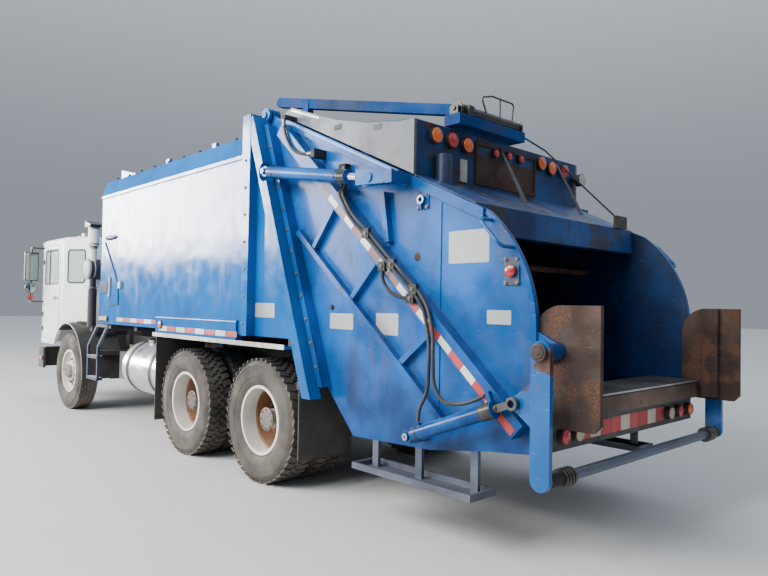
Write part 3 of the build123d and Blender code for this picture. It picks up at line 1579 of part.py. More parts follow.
# Tailgate roof: cover over the packer, rear lamp panel, hopper roof and its lip beam
cover_knee = (-820, 2975)
panel_wall = 20
lip_thickness = 90
recess_half_width = 395
recess_z = (2475, 2802)
recess_frame = 24
recess_proud = 14
brace_places = (95, -710)
canister_y = 800
roof_outline = [
    (cover_front_x, top_edge_z(cover_front_x)),
    (cover_front_x, top_edge_z(cover_front_x) + 40),
    cover_knee,
    (light_panel_x, light_panel_top_z),
    (light_panel_x, light_panel_low_z),
    (hopper_roof_rear_x, hopper_roof_rear_z),
    (hopper_roof_rear_x, hopper_roof_rear_z - lip_height),
    (hopper_roof_rear_x + lip_thickness, hopper_roof_rear_z - lip_height),
    (hopper_roof_rear_x + lip_thickness, hopper_roof_rear_z + 15),
    (light_panel_x + panel_wall, light_panel_low_z - 30),
    (light_panel_x + panel_wall, light_panel_top_z - 22),
    (cover_knee[0] - 2, cover_knee[1] - 20),
    (cover_front_x - 4, top_edge_z(cover_front_x)),
]
with BuildPart() as tailgate_roof:
    add_side_plate(roof_outline, side_inner_y, 2 * side_inner_y)
    cover_beam_z = (3010, top_edge_z(cover_front_x) + 20)
    add_box((cover_front_x - 20, cover_front_x + 80), (-side_inner_y, side_inner_y), cover_beam_z)
    frame_x = (light_panel_x - recess_proud, light_panel_x)
    for low_y in (-recess_half_width, recess_half_width - recess_frame):
        add_box(frame_x, (low_y, low_y + recess_frame), recess_z)
    for low_z in (recess_z[0], recess_z[1] - recess_frame):
        add_box(frame_x, (-recess_half_width, recess_half_width), (low_z, low_z + recess_frame))
    for y in brace_places:
        foot = (hopper_roof_rear_x + 280, y, light_panel_low_z - 124)
        add_bar((light_panel_x - 4, y, light_panel_top_z - 40), foot, 40, 12)
    add_box((light_panel_x - 6, light_panel_x), (490, 570), (2470, 2640))
    canister_x = light_panel_x - 52
    add_rod((canister_x, canister_y, 2380), (canister_x, canister_y, 2620), 60)
write(tailgate_roof, "tailgate_roof")

# Bare shrouds over the sloped top edges of the tailgate
shroud_gap = 14
shroud_front_x = -175
shroud_top = [(-150, 3205), (-227, 3227), (-822, 3007), (-1184, 2913), (-1552, 2852)]
with BuildPart() as side_shrouds:
    add_side_plate(
        [
            (light_panel_x, top_edge_z(light_panel_x) + shroud_gap),
            (shroud_front_x, top_edge_z(shroud_front_x) + shroud_gap),
            (shroud_front_x + 85, 3178),
            *shroud_top,
            (light_panel_x, light_panel_top_z),
        ],
        side_half_width,
        side_wall,
    )
    add_mirrored()
write(side_shrouds, "side_shrouds")

# Guides for a wheeled container behind the sill
guide_round = 180
guide_foot_z = 960
with BuildPart() as container_guides:
    round_x = guide_front_x - guide_round
    round_z = guide_high_z - guide_round
    guide_knee = (round_x + guide_round * sin(radians(45)), round_z + guide_round * cos(radians(45)))
    with BuildSketch(side_plane(side_inner_y)):
        with BuildLine():
            Polyline(
                (guide_front_x, round_z),
                (guide_front_x, guide_foot_z),
                (guide_front_x - 90, guide_low_z),
                (guide_rear_x + 40, guide_low_z),
                (guide_rear_x, guide_low_z + 40),
                (guide_rear_x, guide_high_z),
                (round_x, guide_high_z),
            )
            ThreePointArc((round_x, guide_high_z), guide_knee, (guide_front_x, round_z))
        make_face()
    extrude(amount=side_inner_y - guide_inner_y)
    stiffener_x = (sill_rear_x - 150, sill_rear_x - 40)
    add_box(stiffener_x, (guide_inner_y - 40, guide_inner_y), (guide_low_z + 20, guide_high_z))
    add_mirrored()
write(container_guides, "container_guides")

# Hoist beam slantwise over the tailgate roof, with its cable drum in a trough, a guard and a hook
hoist_front = (20, 1000, 3330)
hoist_rear = (-1800, 550, 2980)
hoist_size = 80
trough_y = (-120, 680)
trough_z = (2870, 2950)
trough_wall = 12
drum_z = 2990
drum_radius = 45
drum_flange_radius = 58
drum_x = light_panel_x - 30
guard_rod = 7
cable_radius = 7
hook_y = (-890, -720)
hook_z = (2205, 2305)
with BuildPart() as hoist_beam:
    add_bar(hoist_front, hoist_rear, hoist_size, hoist_size)
    with Locations(hoist_front):
        Sphere(hoist_size / 2)
    add_box((light_panel_x - 90, light_panel_x + 60), trough_y, trough_z)
    support_y = (trough_y[0] + 100, trough_y[1] - 60)
    add_box((light_panel_x + 10, light_panel_x + 60), support_y, (light_panel_top_z - 2, trough_z[0]))
    for y in trough_y:
        inwards = -trough_wall if y > 0 else trough_wall
        bearing_y = sorted((y, y + inwards))
        add_box((drum_x - 40, drum_x + 40), bearing_y, (trough_z[1] - 5, drum_z + 20))
        flange_y = sorted((y + 2 * inwards, y + 3 * inwards))
        add_cylinder_y(drum_x, drum_z, drum_flange_radius, *flange_y)
    add_cylinder_y(drum_x, drum_z, drum_radius, trough_y[0] + 2 * trough_wall, trough_y[1] - 2 * trough_wall)
    add_cylinder_y(drum_x, drum_z, 18, trough_y[0] - 10, trough_y[1] + 10)
    guard_x = light_panel_x - 60
    guard = [(300, trough_z[1] - 4), (399, 3128), (267, 3162), (-6, 3161), (29, trough_z[1] - 4)]
    add_tube([(guard_x, y, z) for y, z in guard], guard_rod, 25)
    add_rod((guard_x, 172, 3161), (guard_x, 172, trough_z[1] - 4), guard_rod)
    add_box((-330, -250), (900, 960), (3125, 3290))
    add_side_plate(roof_outline, side_inner_y, 2 * side_inner_y, mode=Mode.SUBTRACT)
    add_box((hopper_roof_rear_x - 30, hopper_roof_rear_x), hook_y, hook_z)
    cable_drop = (light_panel_x - 60, -454, 2868)
    add_rod((light_panel_x - 60, trough_y[0] + 20, 2930), cable_drop, cable_radius)
    with Locations(cable_drop):
        Sphere(cable_radius)
    add_rod(cable_drop, (hopper_roof_rear_x - 16, hook_y[1] - 26, hook_z[1] - 20), cable_radius)
write(hoist_beam, "hoist_beam")

# Rear lamps in their rings on the upper panel, the sill's panel and beside the cover
lamp_depth = 30
lens_proud = 8
big_lamp = (52, 58)
small_lamp = (27, 32)
low_lamp = (42, 48)
upper_lamps = [
    (854, 2756, big_lamp),
    (682, 2752, big_lamp),
    (512, 2745, big_lamp),
    (175, 2740, small_lamp),
    (6, 2745, small_lamp),
    (-155, 2745, small_lamp),
    (-456, 2764, big_lamp),
    (-608, 2745, big_lamp),
    (-813, 2750, big_lamp),
]
lower_lamps = [(y, 785, low_lamp) for y in (825, 669, -609, -765, -940)]
work_lamp = (-985, 2690)
with BuildPart() as tailgate_lamps:
    for panel_x, lamps in ((light_panel_x, upper_lamps), (lamp_panel_x, lower_lamps)):
        for y, z, (lens_radius, ring_radius) in lamps:
            add_rod((panel_x, y, z), (panel_x - lamp_depth, y, z), ring_radius)
            add_rod((panel_x, y, z), (panel_x - lamp_depth - lens_proud, y, z), lens_radius)
    work_x = light_panel_x - 70
    add_box(
        (work_x, light_panel_x),
        (work_lamp[0] - 15, work_lamp[0] + 15),
        (work_lamp[1] - 12, work_lamp[1] + 12),
    )
    add_rod((work_x + 20, *work_lamp), (work_x - 30, *work_lamp), 55)
    add_box((light_panel_x - 12, light_panel_x), (work_lamp[0] - 25, work_lamp[0] + 25), (2640, 2720))
write(tailgate_lamps, "tailgate_lamps")

# Hydraulic hoses down the tailgate side to the kick cylinder, with their clamps and port blocks
kick_run = hypot(kick_lug_x - kick_pin_x, kick_lug_z - kick_pin_z)
kick_along = ((kick_lug_x - kick_pin_x) / kick_run, (kick_lug_z - kick_pin_z) / kick_run)
port_reach = 62
port_low = 111
port_high = 728
elbow_reach = 108


def beside_kick(along, across):
    """Point a distance along the kick cylinder from its fixed pin and across it, upwards."""
    run_x, run_z = kick_along
    return (kick_pin_x + along * run_x + across * run_z, kick_pin_z + along * run_z - across * run_x)


beam_face_y = side_half_width + beam_depth
hose_y = beam_face_y + hose_radius + hose_clearance + 2
far_hose_y = arm_y
low_port_end = beside_kick(port_low, port_reach + 12)
high_port_end = beside_kick(port_high - 30, 92)
feed_route = [
    (-975, 1095, 2590),
    (-982, 1100, 2500),
    (-1000, 1106, 2432),
    (-1032, hose_y + 4, 2384),
    (-1162, hose_y, 2180),
    (-1344, hose_y, 2045),
    (-1611, hose_y, 1814),
    (-1827, hose_y, 1641),
    (-1930, hose_y, 1530),
    (-1990, hose_y + 9, 1340),
    (-2019, far_hose_y, 1200),
    (-2012, far_hose_y, 1000),
    (-1938, far_hose_y, 880),
    (low_port_end[0], far_hose_y, low_port_end[1]),
]
return_route = [
    (-1004, 1095, 2600),
    (-1012, 1100, 2508),
    (-1034, 1106, 2440),
    (-1066, hose_y + 2, 2385),
    (-1189, hose_y, 2206),
    (-1371, hose_y, 2069),
    (-1638, hose_y, 1838),
    (-1854, hose_y, 1666),
    (-1965, hose_y, 1548),
    (-2028, hose_y + 9, 1380),
    (-2052, far_hose_y, 1200),
    (-2060, far_hose_y, 1040),
    (-2140, far_hose_y, 940),
    (-2320, far_hose_y, 955),
    (high_port_end[0], far_hose_y, high_port_end[1]),
]
drop_route = [
    (-270, hose_y, 3098),
    (-300, hose_y, 2960),
    (-380, hose_y, 2840),
    (-480, hose_y, 2775),
    (-600, hose_y, 2748),
    (-690, hose_y, 2740),
]
loop_route = [
    (-1533, hose_y, 1800),
    (-1534, hose_y, 1717),
    (-1597, hose_y, 1640),
    (-1694, hose_y, 1600),
    (-1810, hose_y, 1592),
]
clamp_places = ((-1357, 2057), (-1624, 1826), (-1838, 1652), (-1533, 1815), (-1815, 1592))
clamp_half = 34
with BuildPart() as tailgate_hoses:
    add_box((-1030, -950), (side_half_width, side_half_width + 55), (2560, 2620))
    add_box((-725, -680), (side_half_width, hose_y + hose_radius), (2705, 2775))
    add_box((-310, -263), (side_half_width, hose_y + hose_radius), (3096, 3126))
    for x, z in clamp_places:
        add_box(
            (x - clamp_half, x + clamp_half),
            (beam_face_y, hose_y + hose_radius + 4),
            (z - clamp_half, z + clamp_half),
        )
    for route in (feed_route, return_route, drop_route, loop_route):
        add_tube(route, hose_radius, widest_bends(route))
    add_mirrored()
write(tailgate_hoses, "tailgate_hoses")

# Side steps hung below the tailgate sides
step_x = (-2370, -1280)
step_y = (950, 1200)
step_z = (376, 420)
step_edge = 20
step_hanger = 60
hanger_places = (step_x[0] + 60, -1830, step_x[1] - 120)
with BuildPart() as side_steps:
    add_box(step_x, step_y, step_z)
    tray = [(low + step_edge, high - step_edge) for low, high in (step_x, step_y)]
    add_box(*tray, (step_z[0] + 6, step_z[1] + 1), mode=Mode.SUBTRACT)
    for x in hanger_places:
        add_box((x, x + step_hanger), (side_inner_y, side_half_width), (step_z[0] + 6, side_base_z))
    above_foot = [*side_foot, (side_rear_x, side_top_z), (side_foot[0][0], side_top_z)]
    add_side_plate(above_foot, side_half_width + 1, side_wall + 2, mode=Mode.SUBTRACT)
    add_mirrored()
write(side_steps, "side_steps")

# Packer carrier: slides in the tracks, with lugs and the pin for the blade at its low end
shoe_y = (carrier_half_width, side_inner_y - 8)
shoe_length = 130
shoe_play = 6
lug_places = ((945, 985), (300, 340))
with BuildPart() as packer_carrier:
    carrier_plate = track_strip(
        75, carrier_length, -carrier_depth / 2, carrier_depth / 2, packer_high_x, packer_high_z
    )
    add_side_plate(carrier_plate, carrier_half_width, 2 * carrier_half_width)
    lug_reach = packer_eye_radius - 6
    lug_plate = track_strip(0, 140, -lug_reach, lug_reach, packer_high_x, packer_high_z)
    for low_y, high_y in lug_places:
        for plate_y in (high_y, -low_y):
            add_side_plate(lug_plate, plate_y, high_y - low_y)
            add_cylinder_y(
                packer_high_x, packer_high_z, packer_eye_radius, plate_y - high_y + low_y, plate_y
            )
    add_cylinder_y(packer_high_x, packer_high_z, packer_pin_radius, -carrier_half_width, carrier_half_width)
    for along in (110, carrier_length - shoe_length):
        shoe_half = track_gap / 2 - shoe_play
        shoe = track_strip(along, along + shoe_length, -shoe_half, shoe_half, packer_high_x, packer_high_z)
        for plate_y in (shoe_y[1], -shoe_y[0] + 30):
            add_side_plate(shoe, plate_y, shoe_y[1] - shoe_y[0] + 30)
write(packer_carrier, "packer_carrier")


def blade_point(along, across):
    """Point a distance along the blade from its hinge and across it to the rear."""
    angle = radians(blade_rest_angle)
    return (
        packer_high_x - along * sin(angle) - across * cos(angle),
        packer_high_z - along * cos(angle) + across * sin(angle),
    )


# Packer blade: a ribbed plate with a heavy tip, hinged on the carrier's pin
blade_heel = 45
blade_tip = 30
blade_rib_count = 7
blade_rib_pitch = 300
blade_rib_thickness = 18
blade_tube_runs = ((-939, -346), (-294, 294), (346, 939))
with BuildPart() as packer_blade:
    add_side_plate(
        [
            blade_point(blade_heel, -blade_plate),
            blade_point(blade_length - 60, -blade_plate),
            blade_point(blade_length, -blade_plate / 2),
            blade_point(blade_length, blade_tip),
            blade_point(blade_length - 90, blade_tip),
            blade_point(blade_length - 110, 0),
            blade_point(blade_heel, 0),
        ],
        blade_half_width,
        2 * blade_half_width,
    )
    for rib in range(blade_rib_count):
        rib_y = (rib - (blade_rib_count - 1) / 2) * blade_rib_pitch
        add_side_plate(
            [
                blade_point(blade_heel - 5, 0),
                blade_point(blade_length - 95, 0),
                blade_point(blade_length - 95, blade_tip - 2),
                blade_point(blade_rib_pitch, blade_rib),
                blade_point(blade_heel - 5, blade_rib / 2),
            ],
            rib_y + blade_rib_thickness / 2,
            blade_rib_thickness,
        )
    for low_y, high_y in lug_places:
        for sign in (1, -1):
            notch_y = sorted((sign * (low_y - 6), sign * (high_y + 20)))
            add_cylinder_y(packer_high_x, packer_high_z, packer_eye_radius + 8, *notch_y, mode=Mode.SUBTRACT)
    for low_y, high_y in blade_tube_runs:
        add_cylinder_y(packer_high_x, packer_high_z, packer_eye_radius - 4, low_y, high_y)
    add_cylinder_y(
        packer_high_x,
        packer_high_z,
        packer_pin_radius + pin_clearance,
        -blade_half_width - 5,
        blade_half_width + 5,
        mode=Mode.SUBTRACT,
    )
write(packer_blade, "packer_blade")

# Hydraulic cylinders in pairs, each drawn along the line from its fixed pin to its rod's eye
barrel_eye_radius = 45
rod_eye_radius = 38
rod_eye_width = 30
gland_length = 60


def point_between(start, end, distance, y):
    """Point at a distance from start towards end, at the given Y."""
    run = hypot(end[0] - start[0], end[1] - start[1])
    share = distance / run
    return (start[0] + share * (end[0] - start[0]), y, start[1] + share * (end[1] - start[1]))


# Columns: name, pin, rod's eye, Y, barrel radius and end, rod radius and start, neck start, pin radius
cylinder_rows = [
    (
        "lift",
        (lift_pin_x, lift_pin_z),
        (lift_eye_x, lift_eye_z),
        lift_y,
        lift_barrel_radius,
        lift_barrel_end,
        lift_rod_radius,
        130,
        lift_neck_start,
        lift_pin_radius,
    ),
    (
        "kick",
        (kick_pin_x, kick_pin_z),
        (kick_lug_x, kick_lug_z),
        kick_cylinder_y,
        kick_barrel_radius,
        kick_barrel_end,
        kick_rod_radius,
        170,
        kick_barrel_end + 25,
        kick_pin_radius,
    ),
]
for row in cylinder_rows:
    name, pin, eye, y, barrel_radius, barrel_end, rod_radius, rod_start, neck_start, pin_radius = row
    reach = hypot(eye[0] - pin[0], eye[1] - pin[1])
    with BuildPart() as barrels:
        add_rod(point_between(pin, eye, 58, y), point_between(pin, eye, barrel_end, y), barrel_radius)
        gland_start = point_between(pin, eye, barrel_end - gland_length, y)
        add_rod(gland_start, point_between(pin, eye, barrel_end, y), barrel_radius + gland_ring)
        add_bar(point_between(pin, eye, 10, y), point_between(pin, eye, 70, y), eye_width, 64)
        add_cylinder_y(pin[0], pin[1], barrel_eye_radius, y - eye_width / 2, y + eye_width / 2)
        if name == "kick":
            for along, height in ((port_low, port_reach), (port_high, elbow_reach)):
                foot_x, foot_z = beside_kick(along, barrel_radius - 12)
                head_x, head_z = beside_kick(along, height)
                add_bar((foot_x, far_hose_y, foot_z), (head_x, far_hose_y, head_z), 34, 30)
        add_cylinder_y(pin[0], pin[1], pin_radius + pin_clearance, y - 30, y + 30, mode=Mode.SUBTRACT)
        add_rod(
            point_between(pin, eye, rod_start - 20, y),
            point_between(pin, eye, barrel_end + 5, y),
            rod_radius + pin_clearance,
            mode=Mode.SUBTRACT,
        )
        add_mirrored()
    write(barrels, f"{name}_barrels")
    with BuildPart() as rods:
        add_rod(point_between(pin, eye, rod_start, y), point_between(pin, eye, neck_start, y), rod_radius)
        add_bar(
            point_between(pin, eye, neck_start - 20, y),
            point_between(pin, eye, reach, y),
            rod_eye_width,
            44,
        )
        add_cylinder_y(eye[0], eye[1], rod_eye_radius, y - rod_eye_width / 2, y + rod_eye_width / 2)
        add_cylinder_y(eye[0], eye[1], pin_radius + pin_clearance, y - 30, y + 30, mode=Mode.SUBTRACT)
        add_mirrored()
    write(rods, f"{name}_rods")

# Kick bar on its two arms, hinged behind the hopper's sides
lug_cheek_thickness = 20
lug_cheek_half_width = 40
collar_count = 4
collar_pitch = 30
collar_width = 18
collar_radius = 55
collar_start_y = 950
with BuildPart() as kick_bar:
    arm_inner_y = arm_y - arm_thickness / 2
    arm_run = arm_pivot_z - arm_low_z - arm_width / 2
    with BuildSketch(side_plane(arm_y + arm_thickness / 2)):
        with Locations((arm_pivot_x, arm_pivot_z - arm_run / 2)):
            SlotCenterToCenter(arm_run, arm_width, rotation=90)
    extrude(amount=arm_thickness)
    add_side_plate(
        [
            (arm_pivot_x + lug_cheek_half_width, kick_lug_z + 160),
            (arm_pivot_x - lug_cheek_half_width, kick_lug_z + 160),
            (arm_pivot_x - lug_cheek_half_width, kick_lug_z - 150),
            (arm_pivot_x + lug_cheek_half_width, kick_lug_z - 150),
            (kick_lug_x + 10, kick_lug_z - 33),
            (kick_lug_x + 10, kick_lug_z + 33),
        ],
        arm_inner_y,
        lug_cheek_thickness,
    )
    add_cylinder_y(kick_lug_x, kick_lug_z, 34, arm_inner_y - lug_cheek_thickness, arm_inner_y)
    arm_bore_y = (arm_inner_y - 1, arm_y + 30)
    add_cylinder_y(arm_pivot_x, arm_pivot_z, arm_pin_radius + pin_clearance, *arm_bore_y, mode=Mode.SUBTRACT)
    add_mirrored()
    bar_x = arm_pivot_x - kick_bar_set_back
    add_cylinder_y(bar_x, kick_bar_z, kick_bar_radius, -arm_inner_y, arm_inner_y)
    for sign in (1, -1):
        for collar in range(collar_count):
            low_y = collar_start_y + collar * collar_pitch
            collar_y = sorted((sign * low_y, sign * (low_y + collar_width)))
            add_cylinder_y(bar_x, kick_bar_z, collar_radius, *collar_y)
write(kick_bar, "kick_bar")
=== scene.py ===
"""Looks of a rear-loading refuse truck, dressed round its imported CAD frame.

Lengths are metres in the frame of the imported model: +X runs to the cab, +Y to the
side that the camera sees, +Z up, and the ground is at Z = 0. The classes give X from
the rearmost axle, as the CAD source does, and place() brings it into the frame. What
both sides of the truck have is given for the left side, where Y is positive.
"""

import sys
import logging
import math
from collections.abc import Callable, Iterable, Sequence
from dataclasses import dataclass, field
from enum import Enum

import bmesh
import bpy
from mathutils import Matrix, Vector


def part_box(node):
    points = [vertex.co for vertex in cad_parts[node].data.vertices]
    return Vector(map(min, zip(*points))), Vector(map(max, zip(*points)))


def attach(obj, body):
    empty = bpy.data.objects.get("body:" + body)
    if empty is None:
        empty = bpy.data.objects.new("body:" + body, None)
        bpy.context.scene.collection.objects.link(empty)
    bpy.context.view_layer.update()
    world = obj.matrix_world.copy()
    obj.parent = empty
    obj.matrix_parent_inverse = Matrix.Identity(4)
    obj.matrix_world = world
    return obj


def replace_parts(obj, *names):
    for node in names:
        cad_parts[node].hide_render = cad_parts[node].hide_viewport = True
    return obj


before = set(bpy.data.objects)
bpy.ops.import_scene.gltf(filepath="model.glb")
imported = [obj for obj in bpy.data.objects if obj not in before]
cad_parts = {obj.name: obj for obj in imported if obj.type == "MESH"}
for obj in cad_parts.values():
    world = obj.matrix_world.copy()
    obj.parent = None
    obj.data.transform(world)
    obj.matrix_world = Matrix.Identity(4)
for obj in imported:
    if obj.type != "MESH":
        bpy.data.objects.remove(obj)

LOG = logging.getLogger("refuse_truck")
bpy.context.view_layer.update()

Pair = tuple[float, float]
Point = tuple[float, float, float]
Color = tuple[float, float, float]
Place = tuple[Vector, Vector]
Socket = bpy.types.NodeSocket

SIDES = (("left", 1), ("right", -1))
SIGNS = (1, -1)
WHEEL_RADIUS = 0.535
AXLES = {"front": 5.047, "middle": 1.383, "rear": 0.0}
REAR_AXLE_X = sum(corner.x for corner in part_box("rim_rear_left")) / 2


class Body(str, Enum):
    """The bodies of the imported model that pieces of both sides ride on."""

    TRUCK = "truck"
    TAILGATE = "tailgate"
    LIFT_BARRELS = "lift_barrels"
    KICK_BARRELS = "kick_barrels"
    KICK_BAR = "kick_bar"


class Slot(str, Enum):
    """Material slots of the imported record."""

    PAINT_BLUE = "paint_blue"
    PAINT_LIGHT_BLUE = "paint_light_blue"
    PAINT_WHITE = "paint_white"
    PAINT_GREY = "paint_grey"
    CHASSIS_BLACK = "chassis_black"
    RUST_STEEL = "rust_steel"
    WORN_STEEL = "worn_steel"
    TREAD_RUBBER = "tread_rubber"
    FLAP_RUBBER = "flap_rubber"
    RIM_WHITE = "rim_white"
    TANK_ALUMINIUM = "tank_aluminium"
    CHROME_ROD = "chrome_rod"
    STEP_STEEL = "step_steel"
    CAB_GLASS = "cab_glass"
    MIRROR_BLACK = "mirror_black"
    SEAT_VINYL = "seat_vinyl"
    DASH_PLASTIC = "dash_plastic"
    LAMP_AMBER = "lamp_amber"


class Kind(str, Enum):
    """Kinds of input that a Geometry Nodes tree takes."""

    NUMBER = "NodeSocketFloat"
    COUNT = "NodeSocketInt"
    VECTOR = "NodeSocketVector"
    MATERIAL = "NodeSocketMaterial"


class Lens(str, Enum):
    """Colours of the tail lamps."""

    AMBER = "amber"
    RED = "red"
    BEIGE = "beige"


DUST = (0.24, 0.20, 0.155)
RUST = (0.030, 0.012, 0.007)
RUST_LIGHT = (0.095, 0.038, 0.017)
BARE_STEEL = (0.42, 0.40, 0.38)
GRIME = (0.035, 0.03, 0.027)


@dataclass(frozen=True)
class Age:
    """What work has put on a surface, each amount from 0 (none) to 1 (all over).

    The low layer lies up to a given height: dust where its colour is DUST, and painted shade where its colour
    is a darker copy of the paint, which darkens the paint low down and on upward faces. Rust is thicker above the
    height rust_above.
    """

    dust_and_shade: float = 0.0
    dust_and_shade_top: float = 1.6
    dust_and_shade_color: Color = DUST
    rust: float = 0.0
    rust_scale: float = 5.0
    rust_above: float | None = None
    streaks: float = 0.0
    scratches: float = 0.0
    mottle: float = 0.12
    grease: float = 0.0


@dataclass(frozen=True)
class Finish:
    """One surface: its own colour and gloss, and its age.

    Faces nearer to the truck's middle than inner_y have inner_color, which on the tailgate is
    painted shade; hub_rust lies within hub_radius of an axle, waves dent a sheet, and shine is the specular level.
    """

    name: str
    slot: Slot
    color: Color
    roughness: float = 0.4
    metallic: float = 0.0
    coat: float = 0.0
    grain: float = 90.0
    grain_depth: float = 0.08
    age: Age = Age()
    edge_round: float = 0.003
    glass: float = 0.0
    glow: float = 0.0
    waves: float = 0.0
    shine: float = 0.5
    hub_rust: float = 0.0
    hub_radius: float = 0.262
    inner_y: float = 0.0
    inner_color: Color = (0.0, 0.0, 0.0)


BLUE = Finish(
    "body_blue", Slot.PAINT_BLUE, (0.0, 0.105, 0.34), 0.13, shine=0.2, grain=14.0, grain_depth=0.04,
    # The low layer's dark blue is painted shade: the paint darker low down and on upward faces.
    age=Age(dust_and_shade=1.1, dust_and_shade_top=2.2, dust_and_shade_color=(0.0, 0.060, 0.23), rust=0.06, streaks=0.18, scratches=0.06, mottle=0.10),
    waves=0.06,
)
TAILGATE_BLUE = Finish(
    "tailgate_blue", Slot.PAINT_BLUE, (0.0, 0.080, 0.30), 0.24, shine=0.25, grain=14.0, grain_depth=0.06,
    # The low layer's dark blue is painted shade: the paint darker low down and on upward faces.
    age=Age(dust_and_shade=1.5, dust_and_shade_top=2.1, dust_and_shade_color=(0.0, 0.022, 0.10), rust=0.2, streaks=0.7, scratches=0.3, mottle=0.32),
    waves=0.06,
    # Faces inside inner_y get a near black navy: painted shade over the tailgate's recessed and inner faces.
    inner_y=1.034, inner_color=(0.0015, 0.010, 0.038),
)
ROOF_BLUE = Finish(
    "grimy_roof_blue", Slot.PAINT_BLUE, (0.001, 0.036, 0.14), 0.38, shine=0.3, grain=30.0, grain_depth=0.12,
    age=Age(dust_and_shade=0.12, dust_and_shade_top=2.6, rust=0.52, streaks=0.9, scratches=0.5, mottle=0.5, grease=0.75),
)
ARM_BLUE = Finish(
    "arm_blue", Slot.PAINT_BLUE, (0.001, 0.095, 0.32), 0.30, shine=0.25, coat=0.3, grain=18.0,
    # The low layer's dark blue is painted shade: the paint darker low down and on upward faces.
    age=Age(
        dust_and_shade=0.4, dust_and_shade_top=1.8, dust_and_shade_color=(0.001, 0.045, 0.17), rust=0.40, rust_above=1.12, streaks=0.6, scratches=0.6,
        mottle=0.25,
    ),
    inner_y=1.18, inner_color=(0.075, 0.085, 0.10),
)
DARK_STEP = Finish(
    "step_dark", Slot.STEP_STEEL, (0.035, 0.055, 0.10), 0.5, metallic=0.3, grain=90.0, grain_depth=0.2,
    age=Age(dust_and_shade=0.4, dust_and_shade_top=1.0, rust=0.3, scratches=0.7, mottle=0.35),
)
LIGHT_BLUE = Finish(
    "light_blue", Slot.PAINT_LIGHT_BLUE, (0.035, 0.20, 0.55), 0.3, coat=0.4, grain=18.0,
    age=Age(dust_and_shade=0.3, dust_and_shade_top=1.9, rust=0.25, streaks=0.5, scratches=0.5, mottle=0.2),
)
DARK_BLUE = Finish(
    "dark_blue", Slot.PAINT_BLUE, (0.006, 0.018, 0.06), 0.35, coat=0.2, grain=18.0,
    age=Age(dust_and_shade=0.10, dust_and_shade_top=3.6, rust=0.3, streaks=0.6, scratches=0.4, mottle=0.3),
)
WHITE = Finish(
    "cab_white", Slot.PAINT_WHITE, (0.86, 0.87, 0.86), 0.25, coat=0.5, grain=10.0, grain_depth=0.03,
    age=Age(dust_and_shade=0.5, dust_and_shade_top=1.35, streaks=0.25, mottle=0.05),
)
GREY = Finish(
    "shroud_grey", Slot.PAINT_GREY, (0.085, 0.10, 0.125), 0.42, grain=30.0,
    age=Age(dust_and_shade=0.3, dust_and_shade_top=3.4, streaks=0.5, scratches=0.3, rust=0.08, mottle=0.25),
)
BLACK = Finish(
    "chassis_black", Slot.CHASSIS_BLACK, (0.016, 0.015, 0.014), 0.62, grain=60.0,
    age=Age(dust_and_shade=0.35, dust_and_shade_top=1.3, rust=0.3, streaks=0.3, scratches=0.2, mottle=0.3),
)
RUSTY = Finish(
    "rusty_steel", Slot.RUST_STEEL, (0.040, 0.018, 0.011), 0.72, metallic=0.2, grain=120.0, grain_depth=0.2,
    age=Age(dust_and_shade=0.12, dust_and_shade_top=1.6, rust=0.7, streaks=0.7, scratches=0.35, mottle=0.45),
)
SCRAPED = Finish(
    "scraped_steel", Slot.WORN_STEEL, (0.040, 0.042, 0.050), 0.5, metallic=0.4, grain=80.0, grain_depth=0.15,
    age=Age(dust_and_shade=0.3, dust_and_shade_top=2.2, rust=0.45, streaks=0.4, scratches=0.8, mottle=0.4, grease=0.4),
)
SILL_RUST = Finish(
    "sill_rust", Slot.RUST_STEEL, (0.10, 0.060, 0.038), 0.6, metallic=0.3, grain=70.0, grain_depth=0.2,
    age=Age(dust_and_shade=0.4, dust_and_shade_top=1.5, rust=0.5, rust_scale=12.0, streaks=0.9, scratches=0.9, mottle=0.5),
)
TREAD = Finish(
    "tread_rubber", Slot.TREAD_RUBBER, (0.016, 0.0155, 0.015), 0.82, grain=160.0, grain_depth=0.2,
    age=Age(dust_and_shade=0.5, dust_and_shade_top=2.4, mottle=0.3),
)
RUBBER = Finish(
    "flap_rubber", Slot.FLAP_RUBBER, (0.012, 0.012, 0.0125), 0.7, grain=120.0,
    age=Age(dust_and_shade=0.3, dust_and_shade_top=1.6, mottle=0.2),
)
RIM = Finish(
    "rim_white", Slot.RIM_WHITE, (0.70, 0.67, 0.61), 0.42, grain=40.0,
    age=Age(dust_and_shade=0.25, dust_and_shade_top=1.3, rust=0.28, rust_scale=9.0, streaks=0.3, mottle=0.15),
    hub_rust=0.9, hub_radius=0.13,
    inner_y=1.030, inner_color=(0.17, 0.062, 0.018),
)
FRONT_RIM = Finish(
    "front_rim_white", Slot.RIM_WHITE, (0.70, 0.69, 0.66), 0.4, grain=40.0,
    age=Age(dust_and_shade=0.4, dust_and_shade_top=1.2, rust=0.2, rust_scale=9.0, streaks=0.3, mottle=0.15),
    hub_rust=0.35,
)
ALUMINIUM = Finish(
    "tank_aluminium", Slot.TANK_ALUMINIUM, (0.72, 0.73, 0.74), 0.22, metallic=1.0, grain=40.0, grain_depth=0.02,
    age=Age(dust_and_shade=0.5, dust_and_shade_top=1.3, scratches=0.3, streaks=0.2, mottle=0.1),
)
CHROME = Finish(
    "chrome_rod", Slot.CHROME_ROD, (0.75, 0.75, 0.77), 0.1, metallic=1.0, grain=20.0, grain_depth=0.01,
    age=Age(dust_and_shade=0.12, dust_and_shade_top=3.0, grease=0.3, mottle=0.05),
)
GLASS = Finish(
    "cab_glass", Slot.CAB_GLASS, (0.70, 0.82, 0.79), 0.03, grain=3.0, grain_depth=0.0,
    age=Age(dust_and_shade=0.12, dust_and_shade_top=3.0, mottle=0.02),
    glass=0.55,
)
